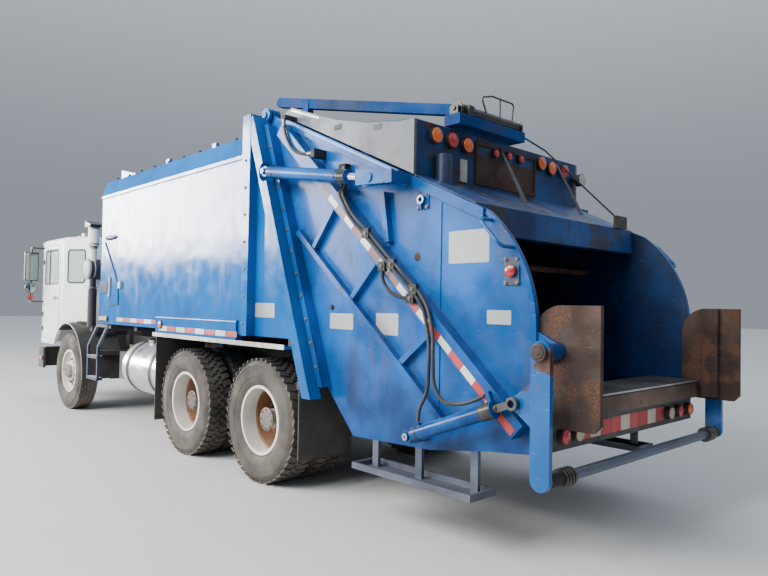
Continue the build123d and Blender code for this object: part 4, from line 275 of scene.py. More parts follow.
MIRROR = Finish(
    "mirror_black", Slot.MIRROR_BLACK, (0.018, 0.018, 0.018), 0.4, grain=150.0,
    age=Age(dust_and_shade=0.15, dust_and_shade_top=3.0, mottle=0.1),
)
VINYL = Finish(
    "seat_vinyl", Slot.SEAT_VINYL, (0.045, 0.045, 0.052), 0.48, grain=220.0, grain_depth=0.2,
    age=Age(dust_and_shade=0.15, dust_and_shade_top=3.0, mottle=0.2),
)
DASH = Finish(
    "dash_plastic", Slot.DASH_PLASTIC, (0.07, 0.07, 0.075), 0.55, grain=240.0, grain_depth=0.15,
    age=Age(dust_and_shade=0.25, dust_and_shade_top=3.0, mottle=0.1),
)
GASKET = Finish(
    "gasket_rubber", Slot.FLAP_RUBBER, (0.010, 0.010, 0.011), 0.55, grain=180.0,
    age=Age(dust_and_shade=0.08, dust_and_shade_top=3.0, mottle=0.15),
)
GREASE = Finish(
    "greasy_black", Slot.CHASSIS_BLACK, (0.010, 0.009, 0.008), 0.25, grain=50.0,
    age=Age(dust_and_shade=0.08, dust_and_shade_top=3.0, rust=0.25, mottle=0.3, grease=0.8),
)
FITTING = Finish(
    "fitting_steel", Slot.STEP_STEEL, (0.30, 0.28, 0.24), 0.42, metallic=0.85, grain=160.0,
    age=Age(dust_and_shade=0.35, dust_and_shade_top=3.0, rust=0.35, rust_scale=14.0, mottle=0.25),
)
BOLT = Finish(
    "bolt_steel", Slot.WORN_STEEL, (0.14, 0.12, 0.11), 0.5, metallic=0.7, grain=160.0,
    age=Age(dust_and_shade=0.3, dust_and_shade_top=3.0, rust=0.5, rust_scale=16.0, mottle=0.3),
)
PALE_STEEL = Finish(
    "worn_bright_steel", Slot.STEP_STEEL, (0.52, 0.50, 0.46), 0.38, metallic=0.7, grain=90.0,
    age=Age(dust_and_shade=0.2, dust_and_shade_top=3.0, rust=0.35, rust_scale=9.0, streaks=0.5, scratches=0.8, mottle=0.3),
)
HOIST_BLUE = Finish(
    "hoist_blue", Slot.PAINT_BLUE, (0.0, 0.040, 0.16), 0.6, shine=0.1, grain=20.0,
    age=Age(rust=0.25, streaks=0.7, scratches=0.4, mottle=0.3, grease=0.4),
)
OLD_ROD = Finish(
    "greasy_rod", Slot.CHROME_ROD, (0.10, 0.095, 0.09), 0.3, metallic=0.7, grain=60.0,
    age=Age(dust_and_shade=0.2, dust_and_shade_top=2.0, rust=0.35, mottle=0.3, grease=0.7),
)
STICKER = Finish(
    "plain_sticker", Slot.PAINT_WHITE, (0.31, 0.33, 0.33), 0.42, grain=60.0,
    age=Age(dust_and_shade=0.4, dust_and_shade_top=3.0, streaks=0.4, scratches=0.3, mottle=0.15),
)
SKIRT = Finish(
    "dirty_skirt", Slot.PAINT_WHITE, (0.46, 0.43, 0.37), 0.4, grain=60.0,
    age=Age(dust_and_shade=0.3, dust_and_shade_top=1.5, rust=0.42, rust_scale=14.0, streaks=0.7, scratches=0.6, mottle=0.25),
)
TAPE_WHITE = Finish(
    "tape_white", Slot.PAINT_WHITE, (0.62, 0.60, 0.55), 0.32, grain=260.0, grain_depth=0.2,
    age=Age(dust_and_shade=0.5, dust_and_shade_top=2.6, streaks=0.4, scratches=0.5, mottle=0.2),
)
TAPE_RED = Finish(
    "tape_red", Slot.LAMP_AMBER, (0.42, 0.006, 0.008), 0.32, grain=260.0, grain_depth=0.2,
    age=Age(dust_and_shade=0.2, dust_and_shade_top=2.6, streaks=0.5, scratches=0.5, mottle=0.25),
)
TAPE_FADED = Finish(
    "tape_faded", Slot.LAMP_AMBER, (0.20, 0.055, 0.055), 0.45, grain=260.0, grain_depth=0.2,
    age=Age(dust_and_shade=0.6, dust_and_shade_top=3.4, streaks=0.6, scratches=0.7, mottle=0.3),
)
RED = Finish(
    "red_lens", Slot.LAMP_AMBER, (0.36, 0.003, 0.004), 0.12, coat=0.5, grain=120.0, grain_depth=0.2,
    age=Age(dust_and_shade=0.08, dust_and_shade_top=3.5, mottle=0.2),
    glow=0.05,
)
BEIGE = Finish(
    "beige_lens", Slot.LAMP_AMBER, (0.48, 0.38, 0.24), 0.2, coat=0.6, grain=120.0, grain_depth=0.2,
    age=Age(dust_and_shade=0.35, dust_and_shade_top=3.5, mottle=0.15),
)
CLEAR_LENS = Finish(
    "clear_lens", Slot.CAB_GLASS, (0.80, 0.82, 0.82), 0.06, coat=0.8, grain=70.0, grain_depth=0.3,
    age=Age(dust_and_shade=0.15, dust_and_shade_top=3.0, mottle=0.05),
    glass=0.55,
)
MIRROR_GLASS = Finish(
    "mirror_glass", Slot.CHROME_ROD, (0.20, 0.23, 0.23), 0.04, metallic=1.0, grain=20.0, grain_depth=0.0,
    age=Age(dust_and_shade=0.12, dust_and_shade_top=3.0, mottle=0.03),
)
AMBER = Finish(
    "amber_lens", Slot.LAMP_AMBER, (0.60, 0.10, 0.004), 0.14, coat=0.5, grain=120.0, grain_depth=0.25,
    age=Age(dust_and_shade=0.1, dust_and_shade_top=3.5, mottle=0.2),
    glow=0.04,
)

NODE_FINISH: dict[str, Finish] = {
    "frame_rails": BLACK, "front_bumper": BLACK, "front_suspension": BLACK,
    "rear_suspension": BLACK, "drivetrain": BLACK, "fuel_tank": ALUMINIUM,
    "chassis_boxes": BLACK, "exhaust": BLACK, "cab_shell": WHITE, "cab_glass": GLASS,
    "seats": VINYL, "dashboard": DASH, "mirrors": MIRROR, "front_mudguards": RUBBER,
    "air_intake": MIRROR, "roof_lamps": MIRROR, "front_ladder": DARK_BLUE, "body_shell": BLUE,
    "body_rear_frame": BLUE, "body_subframe": BLACK, "rear_mudguards": BLUE,
    "mud_flaps": RUBBER, "ejector": SCRAPED, "tailgate_sides": TAILGATE_BLUE,
    "hopper": SCRAPED, "tailgate_roof": ROOF_BLUE, "side_shrouds": GREY,
    "container_guides": RUSTY, "hoist_beam": HOIST_BLUE, "side_steps": DARK_STEP,
    "packer_carrier": SCRAPED, "packer_blade": RUSTY, "lift_barrels": TAILGATE_BLUE,
    "lift_rods": CHROME, "kick_barrels": TAILGATE_BLUE, "kick_rods": OLD_ROD,
    "kick_bar": ARM_BLUE, "door_left": WHITE, "door_right": WHITE,
    "door_glass_left": GLASS, "door_glass_right": GLASS,
    "steering_knuckle_left": BLACK, "steering_knuckle_right": BLACK,
    "tailgate_lamps": MIRROR, "tailgate_hoses": RUBBER,
}

PATCHES: tuple[tuple[str, Finish, Point, Point], ...] = (
    ("hoist_beam", GREASE, (-1.83, -0.14, 2.935), (-1.60, 0.70, 3.070)),
    ("hoist_beam", GREASE, (-1.80, -0.10, 3.060), (-1.74, 0.45, 3.200)),
    ("hoist_beam", GREASE, (-2.30, -0.90, 2.190), (-2.20, -0.70, 2.320)),
    ("hoist_beam", GREASE, (-2.26, -0.87, 2.200), (-1.72, -0.16, 2.860)),
    ("tailgate_roof", SCRAPED, (-1.95, 0.070, 2.340), (-1.72, 0.120, 2.790)),
    ("tailgate_roof", SCRAPED, (-1.95, -0.735, 2.340), (-1.72, -0.685, 2.790)),
    ("tailgate_roof", RUSTY, (-1.73, -0.40, 2.470), (-1.7105, 0.40, 2.810)),
    ("tailgate_roof", DARK_BLUE, (-1.83, 0.735, 2.370), (-1.712, 0.865, 2.630)),
    ("tailgate_roof", STICKER, (-1.72, 0.485, 2.465), (-1.7105, 0.575, 2.645)),
    ("roof_lamps", STICKER, (4.0, 0.0, 1.0), (8.0, 1.3, 4.0)),
    ("kick_bar", GREASE, (-2.95, 0.94, 0.53), (-2.80, 1.10, 0.67)),
    ("kick_bar", GREASE, (-2.95, -1.10, 0.53), (-2.80, -0.94, 0.67)),
    ("kick_bar", SCRAPED, (-2.93, 1.15, 0.80), (-2.62, 1.184, 1.20)),
    ("kick_bar", SCRAPED, (-2.93, -1.184, 0.80), (-2.62, -1.15, 1.20)),
)


def place(x: float, y: float, z: float) -> Vector:
    """A point given from the rearmost axle, in the frame."""
    return Vector((x + REAR_AXLE_X, y, z))


class Nodes:
    """A node tree, with short ways to add to it."""

    tree: bpy.types.NodeTree

    def node(self, kind: str, inputs: dict | None = None, **settings: object) -> bpy.types.Node:
        """Add a node.

        Args:
            kind: Blender's name of the node.
            inputs: Sockets by name or number, each given a value or linked to a socket.
            settings: Properties of the node itself.

        Returns:
            The new node.
        """
        made = self.tree.nodes.new(kind)
        for key, value in settings.items():
            setattr(made, key, value)
        for key, value in (inputs or {}).items():
            if isinstance(value, Socket):
                self.tree.links.new(value, made.inputs[key])
            else:
                made.inputs[key].default_value = value
        return made

    def math(self, how: str, *terms: object, clamp: bool = False) -> Socket:
        """One sum of up to three values or sockets."""
        return self.node("ShaderNodeMath", dict(enumerate(terms)), operation=how, use_clamp=clamp).outputs[0]

    def vector(self, x: object = 0.0, y: object = 0.0, z: object = 0.0) -> Socket:
        """A vector of three values or sockets."""
        return self.node("ShaderNodeCombineXYZ", {0: x, 1: y, 2: z}).outputs[0]


@dataclass
class Shader(Nodes):
    """The node tree of one material, with the patterns that finishes are mixed from."""

    material: bpy.types.Material

    def __post_init__(self) -> None:
        """Empty the tree and place the object coordinates that patterns read."""
        self.material.use_nodes = True
        self.tree = self.material.node_tree
        self.tree.nodes.clear()
        self.place = self.node("ShaderNodeTexCoord").outputs["Object"]
        self.normal = self.node("ShaderNodeNewGeometry").outputs["Normal"]

    def noise(self, scale: float, detail: float = 4.0, stretch: Point = (1, 1, 1), shift: float = 0.0) -> Socket:
        """Fractal noise in object space.

        Args:
            scale: Size of the pattern, larger for finer.
            detail: Octaves.
            stretch: Factors on X, Y and Z before the noise is read.
            shift: Moves the pattern, so that layers differ.

        Returns:
            A value from 0 to 1.
        """
        offset = (shift, shift * 0.7, -shift)
        mapped = self.node("ShaderNodeMapping", {"Vector": self.place, "Location": offset, "Scale": stretch})
        inputs = {"Vector": mapped.outputs[0], "Scale": scale, "Detail": detail}
        return self.node("ShaderNodeTexNoise", inputs).outputs[0]

    def scratch_lines(self) -> Socket:
        """Noise drawn out into thin slanted lines.

        Returns:
            A value from 0 to 1.
        """
        slant = {"Vector": self.place, "Rotation": (0.5, 0.9, 0.3), "Scale": (0.9, 16, 16)}
        mapped = self.node("ShaderNodeMapping", slant).outputs[0]
        inputs = {"Vector": mapped, "Scale": 9.0, "Detail": 3.0, "Roughness": 0.7}
        return self.node("ShaderNodeTexNoise", inputs).outputs[0]

    def part(self, vector: Socket, axis: int) -> Socket:
        """X, Y or Z of a vector."""
        return self.node("ShaderNodeSeparateXYZ", {0: vector}).outputs[axis]

    def band(self, value: Socket, low: float, high: float) -> Socket:
        """A soft step from 0 below low to 1 above high."""
        inputs = {"Value": value, "From Min": low, "From Max": high}
        return self.node("ShaderNodeMapRange", inputs, interpolation_type="SMOOTHSTEP").outputs[0]

    def mix(self, share: object, first: object, second: object) -> Socket:
        """A blend of two colours."""
        colors = [c if isinstance(c, Socket) else (*c, 1.0) for c in (first, second)]
        return self.node("ShaderNodeMix", {0: share, 6: colors[0], 7: colors[1]}, data_type="RGBA").outputs[2]

    def blend(self, share: object, first: object, second: object) -> Socket:
        """A blend of two values."""
        return self.node("ShaderNodeMix", {0: share, 2: first, 3: second}).outputs[0]

    def from_nearest_axle(self) -> Socket:
        """Distance in X and Z from the nearest wheel's axle.

        Returns:
            The distance.
        """
        x, rise = self.part(self.place, 0), self.math("SUBTRACT", self.part(self.place, 2), WHEEL_RADIUS)
        nearest: object = 99.0
        for axle_x in AXLES.values():
            reach = self.math("ABSOLUTE", self.math("SUBTRACT", x, axle_x + REAR_AXLE_X))
            nearest = self.math("MINIMUM", nearest, reach)
        squares = [self.math("MULTIPLY", side, side) for side in (rise, nearest)]
        return self.math("SQRT", self.math("ADD", *squares))


@dataclass
class AgedPaint:
    """One finish in the making: bare paint, then what work has laid over it."""

    finish: Finish
    s: Shader

    def __post_init__(self) -> None:
        """Mix the bare paint, mottled and a little uneven in gloss."""
        s, finish, mottle = self.s, self.finish, self.finish.age.mottle
        self.fine = s.noise(finish.grain, 6)
        broad = s.noise(1.7, 5, shift=3.1)
        dark = tuple(c * (1 - mottle) for c in finish.color)
        pale = tuple(min(1.0, c * (1 + mottle) + 0.02 * mottle) for c in finish.color)
        self.color = s.mix(s.band(broad, 0.35, 0.65), dark, pale)
        gloss = (finish.roughness * 0.8, min(1.0, finish.roughness * 1.25 + 0.03))
        self.rough = s.blend(s.band(s.noise(6, 4, shift=7.7), 0.3, 0.7), *gloss)
        self.metal: object = finish.metallic

    def cover(self, mask: Socket, color: object, rough: float | None = None, hides_metal: bool = False) -> None:
        """Lay a layer over the surface.

        Args:
            mask: Where the layer lies, from 0 to 1.
            color: Its colour or colour socket.
            rough: Its roughness, or None where it keeps the gloss below it.
            hides_metal: Whether it isn't metal.
        """
        self.color = self.s.mix(mask, self.color, color)
        if rough is not None:
            self.rough = self.s.blend(mask, self.rough, rough)
        if hides_metal and self.finish.metallic:
            self.metal = self.s.blend(mask, self.metal, 0.0)

    def inner_faces(self) -> None:
        """Another colour on what lies nearer to the truck's middle; on the tailgate it is painted shade over the
        recessed and inner faces.
        """
        s, edge = self.s, self.finish.inner_y
        inside = s.math("SUBTRACT", 1.0, s.band(s.math("ABSOLUTE", s.part(s.place, 1)), edge - 0.003, edge + 0.001))
        # Noise lets the inner colour, and on the tailgate the painted shade, cover unevenly from 84 to 100 percent.
        layer_weight = s.blend(s.band(s.noise(3.0, 8, shift=12.5), 0.3, 0.6), 0.84, 1.0)
        self.cover(s.math("MULTIPLY", inside, layer_weight), self.finish.inner_color, 0.5)

    def streaks(self) -> None:
        """Grime that ran down, in patches."""
        s = self.s
        runs = s.band(s.noise(9, 5, stretch=(1, 1, 0.12), shift=1.3), 0.52, 0.72)
        patch = s.band(s.noise(1.3, 3, shift=5.2), 0.4, 0.65)
        mask = s.math("MULTIPLY", s.math("MULTIPLY", runs, patch), self.finish.age.streaks)
        self.cover(mask, GRIME, 0.75)

    def scratches(self) -> None:
        """Bare steel in thin lines."""
        lines = self.s.band(self.s.scratch_lines(), 0.66, 0.72)
        self.cover(self.s.math("MULTIPLY", lines, self.finish.age.scratches), BARE_STEEL)

    def rust(self) -> None:
        """Rust in spots and wide patches, thicker above a height where the finish says so."""
        s, age = self.s, self.finish.age
        spots, wide = s.noise(age.rust_scale, 9, shift=9.4), s.noise(1.1, 4, shift=2.6)
        level = s.math("ADD", s.math("MULTIPLY", spots, 0.72), s.math("MULTIPLY", wide, 0.28))
        if age.rust_above:
            layer_weight = s.band(s.part(s.place, 2), age.rust_above - 0.12, age.rust_above + 0.12)
            level = s.math("ADD", level, s.math("MULTIPLY", layer_weight, 0.13))
        mask = s.band(level, 0.74 - 0.3 * age.rust, 0.78 - 0.26 * age.rust)
        self.cover(mask, s.mix(s.band(self.fine, 0.35, 0.7), RUST, RUST_LIGHT), 0.88, hides_metal=True)

    def hub_rust(self) -> None:
        """Rust on the middle of a wheel."""
        s, radius = self.s, self.finish.hub_radius
        disc = s.math("SUBTRACT", 1.0, s.band(s.from_nearest_axle(), radius * 0.86, radius))
        cloud = s.math("MULTIPLY", s.band(s.noise(11, 8, shift=6.1), 0.18, 0.5), self.finish.hub_rust)
        tone = s.mix(s.band(self.fine, 0.3, 0.75), RUST, RUST_LIGHT)
        self.cover(s.math("MULTIPLY", disc, cloud), tone, 0.85)

    def grease(self) -> None:
        """Shining grease in patches."""
        patch = self.s.band(self.s.noise(3.2, 5, shift=11.0), 0.5, 0.62)
        self.cover(self.s.math("MULTIPLY", patch, self.finish.age.grease), GRIME, 0.28)

    def dust_and_shade(self) -> None:
        """Dust on low and level faces, which is dull; where the finish gives a darker copy of its paint instead,
        the same mask lays painted shade that keeps the paint's gloss.
        """
        s, age = self.s, self.finish.age
        # Low parts and upward faces: real dust, or painted shade where the colour is a darker copy of the paint.
        low_part = s.math("SUBTRACT", 1.0, s.band(s.part(s.place, 2), 0.1, age.dust_and_shade_top))
        lying = s.math("MULTIPLY", s.band(s.part(s.normal, 2), 0.2, 0.95), 0.7)
        cloud = s.band(s.noise(4.5, 8, shift=4.0), 0.12, 0.88)
        amount = s.math("MULTIPLY", s.math("MAXIMUM", low_part, lying), cloud)
        mask = s.math("MULTIPLY", amount, age.dust_and_shade, clamp=True)
        self.cover(mask, age.dust_and_shade_color, 0.93 if age.dust_and_shade_color == DUST else None, hides_metal=True)

    def surface(self) -> None:
        """End the tree in a shader with rounded edges, dents and grain."""
        s, finish = self.s, self.finish
        shader = s.node("ShaderNodeBsdfPrincipled", {
            "Base Color": self.color, "Metallic": self.metal, "Roughness": self.rough,
            "Coat Weight": finish.coat, "Coat Roughness": 0.08, "Specular IOR Level": finish.shine,
        })
        if finish.glass:
            shader.inputs["Transmission Weight"].default_value = finish.glass
            shader.inputs["IOR"].default_value = 1.1
        if finish.glow:
            shader.inputs["Emission Color"].default_value = (*finish.color, 1.0)
            shader.inputs["Emission Strength"].default_value = finish.glow
        if finish.grain_depth:
            normal = s.node("ShaderNodeBevel", {"Radius": finish.edge_round}, samples=4).outputs[0]
            if finish.waves:
                sheet = s.noise(1.6, 2, stretch=(1, 1, 1.5), shift=8.2)
                dents = {"Strength": finish.waves, "Distance": 0.12, "Height": sheet, "Normal": normal}
                normal = s.node("ShaderNodeBump", dents).outputs[0]
            grain = {"Strength": finish.grain_depth, "Distance": 0.004, "Height": self.fine, "Normal": normal}
            s.tree.links.new(s.node("ShaderNodeBump", grain).outputs[0], shader.inputs["Normal"])
            if finish.coat:
                s.tree.links.new(normal, shader.inputs["Coat Normal"])
        s.node("ShaderNodeOutputMaterial", {"Surface": shader.outputs[0]})

    def age(self) -> None:
        """Lay every layer that the finish has, in the order in which they came."""
        finish, age = self.finish, self.finish.age
        layers = (
            (finish.inner_y, self.inner_faces), (age.streaks, self.streaks), (age.scratches, self.scratches),
            (age.rust, self.rust), (finish.hub_rust, self.hub_rust), (age.grease, self.grease),
            (age.dust_and_shade, self.dust_and_shade),
        )
        for amount, lay in layers:
            if amount:
                lay()


class PaintShop:
    """Makes each finish's material once and hands it out."""

    def __init__(self) -> None:
        """Start with no materials."""
        self.made: dict[str, bpy.types.Material] = {}

    def get(self, finish: Finish) -> bpy.types.Material:
        """The material of a finish, made on first use.

        Args:
            finish: The finish.

        Returns:
            Its material.
        """
        if finish.name not in self.made:
            material = bpy.data.materials.new(finish.name)
            paint = AgedPaint(finish, Shader(material))
            paint.age()
            paint.surface()
            self.made[finish.name] = material
        return self.made[finish.name]

    def dress_frame(self) -> None:
        """Give every CAD node its finish, and the faces within a patch's box the patch's."""
        for name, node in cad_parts.items():
            finish = NODE_FINISH.get(name)
            if finish is None:
                finish = TREAD if name.startswith("tyre") else FRONT_RIM if "front" in name else RIM
            node.data.materials.clear()
            node.data.materials.append(self.get(finish))
        for name, finish, low, high in PATCHES:
            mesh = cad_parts[name].data
            start, end = place(*low), place(*high)
            mesh.materials.append(self.get(finish))
            for face in mesh.polygons:
                if all(a <= c <= b for a, c, b in zip(start, face.center, end)):
                    face.material_index = len(mesh.materials) - 1


def circle(centre: Vector, side: Vector, up: Vector, radius: float, count: int) -> list[Vector]:
    """Points evenly round a centre, from the direction side towards up."""
    turns = (2 * math.pi * i / count for i in range(count))
    return [centre + radius * (math.cos(a) * side + math.sin(a) * up) for a in turns]


def across(axis: Sequence[float]) -> tuple[Vector, Vector, Vector]:
    """A unit vector along an axis, and two square to it and to each other.

    Args:
        axis: The axis, of any length.

    Returns:
        The three unit vectors.
    """
    along = Vector(axis).normalized()
    side = along.orthogonal().normalized()
    return along, side, along.cross(side)


def rounded(low: Pair, high: Pair, radius: float, steps: int = 4) -> list[Pair]:
    """Outline of a rectangle with round corners.

    Args:
        low: Its low corner.
        high: Its high corner.
        radius: Radius of the corners.
        steps: Facets of each corner.

    Returns:
        The points in order.
    """
    points = []
    corners = ((high[0], high[1], 0), (low[0], high[1], 1), (low[0], low[1], 2), (high[0], low[1], 3))
    for x, z, quarter in corners:
        centre_x = x - math.copysign(radius, x - (low[0] + high[0]) / 2)
        centre_z = z - math.copysign(radius, z - (low[1] + high[1]) / 2)
        for i in range(steps + 1):
            a = math.pi / 2 * (quarter + i / steps)
            points.append((centre_x + radius * math.cos(a), centre_z + radius * math.sin(a)))
    return points


class Shape:
    """A mesh in the making, in the frame's metres."""

    def __init__(self) -> None:
        """Start empty."""
        self.mesh = bmesh.new()

    def skin(self, first: Sequence[bmesh.types.BMVert], second: Sequence[bmesh.types.BMVert]) -> None:
        """Join two loops of equal count by faces.

        Args:
            first: One loop of corners.
            second: The other loop.
        """
        for i in range(len(first)):
            j = (i + 1) % len(first)
            self.mesh.faces.new((first[i], first[j], second[j], second[i]))

    def loft(self, rings: Sequence[Sequence[Vector]], meets_itself: bool = False) -> None:
        """Skin a row of rings of equal count.

        Args:
            rings: Closed loops of points, in order.
            meets_itself: Whether the last ring joins the first. Otherwise both get a face.
        """
        made = [[self.mesh.verts.new(p) for p in ring] for ring in rings]
        for first, second in zip(made, made[1:]):
            self.skin(first, second)
        if meets_itself:
            self.skin(made[-1], made[0])
        else:
            self.mesh.faces.new(list(reversed(made[0])))
            self.mesh.faces.new(made[-1])

    def box(self, low: Sequence[float], high: Sequence[float]) -> None:
        """A block between two corners, to be given round edges or bevelled by its piece."""
        (x0, y0, z0), (x1, y1, z1) = low, high
        self.loft([[Vector(p) for p in ((x0, y0, z), (x1, y0, z), (x1, y1, z), (x0, y1, z))] for z in (z0, z1)])

    def rod(self, start: Vector, end: Vector, radius: float, sides: int = 16) -> None:
        """A round bar."""
        self.lathe(start, end - start, [(0.0, radius), ((end - start).length, radius)], sides)

    def lathe(
        self, origin: Sequence[float], axis: Sequence[float], profile: Sequence[Pair], sides: int = 24,
    ) -> None:
        """Turn a profile of (distance along, radius) about an axis and cap both ends."""
        along, side, up = across(axis)
        self.loft([circle(Vector(origin) + along * reach, side, up, radius, sides) for reach, radius in profile])

    def ring(self, origin: Vector, axis: Sequence[float], section: Sequence[Pair], sides: int = 32) -> None:
        """Turn a closed section about an axis, so that it meets itself.

        Args:
            origin: Point on the axis from which the section is measured.
            axis: Direction of the axis.
            section: Corners as (distance along, radius), in order round the section.
            sides: Facets round it.
        """
        along, side, up = across(axis)
        outwards = circle(Vector(), side, up, 1.0, sides)
        self.loft([[origin + along * t + out * r for t, r in section] for out in outwards], meets_itself=True)

    def hoop(self, origin: Vector, axis: Sequence[float], span: Pair, radii: Pair, sides: int = 32) -> None:
        """A flat ring about an axis, from its start, its span along the axis and its inner and outer radius."""
        section = [(span[0], radii[0]), (span[0], radii[1]), (span[1], radii[1]), (span[1], radii[0])]
        self.ring(origin, axis, section, sides)

    def pipe(self, points: Iterable[Vector], radius: float, sides: int = 8) -> None:
        """A tube along a line of points, without twist.

        Args:
            points: The line, at least two points.
            radius: Radius of the tube.
            sides: Facets round it.
        """
        line = list(points)
        heading, side, _ = across(line[1] - line[0])
        rings = []
        for i, here in enumerate(line):
            new_heading = (line[min(i + 1, len(line) - 1)] - line[max(i - 1, 0)]).normalized()
            side = (heading.rotation_difference(new_heading) @ side).normalized()
            heading = new_heading
            rings.append(circle(here, side, heading.cross(side), radius, sides))
        self.loft(rings)

    def slab(self, corners: Sequence[Vector], thickness: Sequence[float]) -> None:
        """A flat plate with the given outline, thickened by a vector."""
        self.loft([corners, [c + Vector(thickness) for c in corners]])

    def border(self, outline: Sequence[Vector], width: float, push: Vector) -> None:
        """A band of even width inside a closed flat outline, thickened by a vector.

        Args:
            outline: Corners in order, convex.
            width: Width of the band.
            push: Its thickness, square to the outline.
        """
        normal = push.normalized()
        centre = sum(outline, Vector()) / len(outline)
        loops = []
        for i, here in enumerate(outline):
            before, after = outline[i - 1], outline[(i + 1) % len(outline)]
            first, second = (normal.cross(way.normalized()) for way in (here - before, after - here))
            inward = (first + second).normalized()
            reach = width / max(0.3, inward.dot(first))
            if inward.dot(centre - here) < 0:
                inward = -inward
            inner = here + inward * reach
            loops.append([here, here + push, inner + push, inner])
        self.loft(loops, meets_itself=True)

    def blocks(self, low: Point, high: Point, signs: Sequence[int] = SIGNS) -> None:
        """A block on each side of the truck, its corners given for the left side.

        Args:
            low: Low corner on the left.
            high: High corner on the left.
            signs: The sides, 1 for the left and -1 for the right.
        """
        for sign in signs:
            y0, y1 = sorted((sign * low[1], sign * high[1]))
            self.box(place(low[0], y0, low[2]), place(high[0], y1, high[2]))

    def plates(self, outline: Sequence[Pair], y: float, depth: float, signs: Sequence[int] = SIGNS) -> None:
        """An upright plate on each side, from an outline in X and Z at Y outwards."""
        for sign in signs:
            self.slab([place(x, sign * y, z) for x, z in outline], (0, sign * depth, 0))

    def discs(self, spot: Point, profile: Sequence[Pair], sides: int, signs: Sequence[int] = SIGNS) -> None:
        """A turned form on each side, which looks outwards."""
        for sign in signs:
            self.lathe(place(spot[0], sign * spot[1], spot[2]), (0, sign, 0), profile, sides)

    def bars(self, points: Sequence[Point], radius: float) -> None:
        """A round bar along the same points on each side."""
        for sign in SIGNS:
            self.pipe([place(x, sign * y, z) for x, y, z in points], radius)

    def finished(self, name: str) -> bpy.types.Mesh:
        """Hand over the mesh with its faces turned outwards.

        Args:
            name: Name of the mesh.

        Returns:
            The mesh.
        """
        bmesh.ops.remove_doubles(self.mesh, verts=self.mesh.verts, dist=1e-6)
        bmesh.ops.recalc_face_normals(self.mesh, faces=self.mesh.faces)
        mesh = bpy.data.meshes.new(name)
        self.mesh.to_mesh(mesh)
        self.mesh.free()
        return mesh


def merged(meshes: Iterable[bpy.types.Mesh], name: str) -> bpy.types.Mesh:
    """Join meshes into one new mesh.

    Args:
        meshes: What is joined.
        name: Name of the new mesh.

    Returns:
        The new mesh.
    """
    whole = bmesh.new()
    for mesh in meshes:
        whole.from_mesh(mesh)
    joined = bpy.data.meshes.new(name)
    whole.to_mesh(joined)
    whole.free()
    return joined


def evaluated(mesh: bpy.types.Mesh, name: str, modify: Callable[[bpy.types.Object], None]) -> bpy.types.Mesh:
    """A mesh after modifiers, which don't stay.

    Args:
        mesh: What is modified.
        name: Name of the result.
        modify: Puts the modifiers on an object.

    Returns:
        The new mesh.
    """
    holder = bpy.data.objects.new(name + "_holder", mesh)
    bpy.context.scene.collection.objects.link(holder)
    modify(holder)
    graph = bpy.context.evaluated_depsgraph_get()
    result = bpy.data.meshes.new_from_object(holder.evaluated_get(graph))
    result.name = name
    holder.modifiers.clear()
    bpy.data.objects.remove(holder)
    return result


@dataclass
class Crew:
    """Adds finished pieces to the scene and rides them on their bodies."""

    shop: PaintShop
    smooth_angle: float = math.radians(35)
    bevel_angle: float = math.radians(40)

    def add(
        self, name: str, shape: Shape | bpy.types.Mesh, finish: Finish, body: Body | str = Body.TRUCK,
        bevel: float = 0.0, smooth: bool = True,
    ) -> bpy.types.Object:
        """Make an object of a shape and let it ride.

        Args:
            name: Name of the piece.
            shape: A shape in the making, or a finished mesh.
            finish: Its surface.
            body: The body that carries it.
            bevel: Width of its rounded edges, 0 for none.
            smooth: Whether faces are shaded smooth up to smooth_angle.

        Returns:
            The new object.
        """
        mesh = shape.finished(name) if isinstance(shape, Shape) else shape
        mesh.materials.clear()
        mesh.materials.append(self.shop.get(finish))
        piece = bpy.data.objects.new(name, mesh)
        bpy.context.scene.collection.objects.link(piece)
        if smooth:
            mesh.shade_smooth()
            mesh.set_sharp_from_angle(angle=self.smooth_angle)
        if bevel:
            rounding = piece.modifiers.new("rounded_edges", "BEVEL")
            rounding.width = bevel
            rounding.segments = 2
            rounding.limit_method = "ANGLE"
            rounding.angle_limit = self.bevel_angle
        carrier = body.value if isinstance(body, Body) else body
        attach(piece, carrier)
        LOG.info("%s: %d faces on %s", name, len(mesh.polygons), carrier)
        return piece


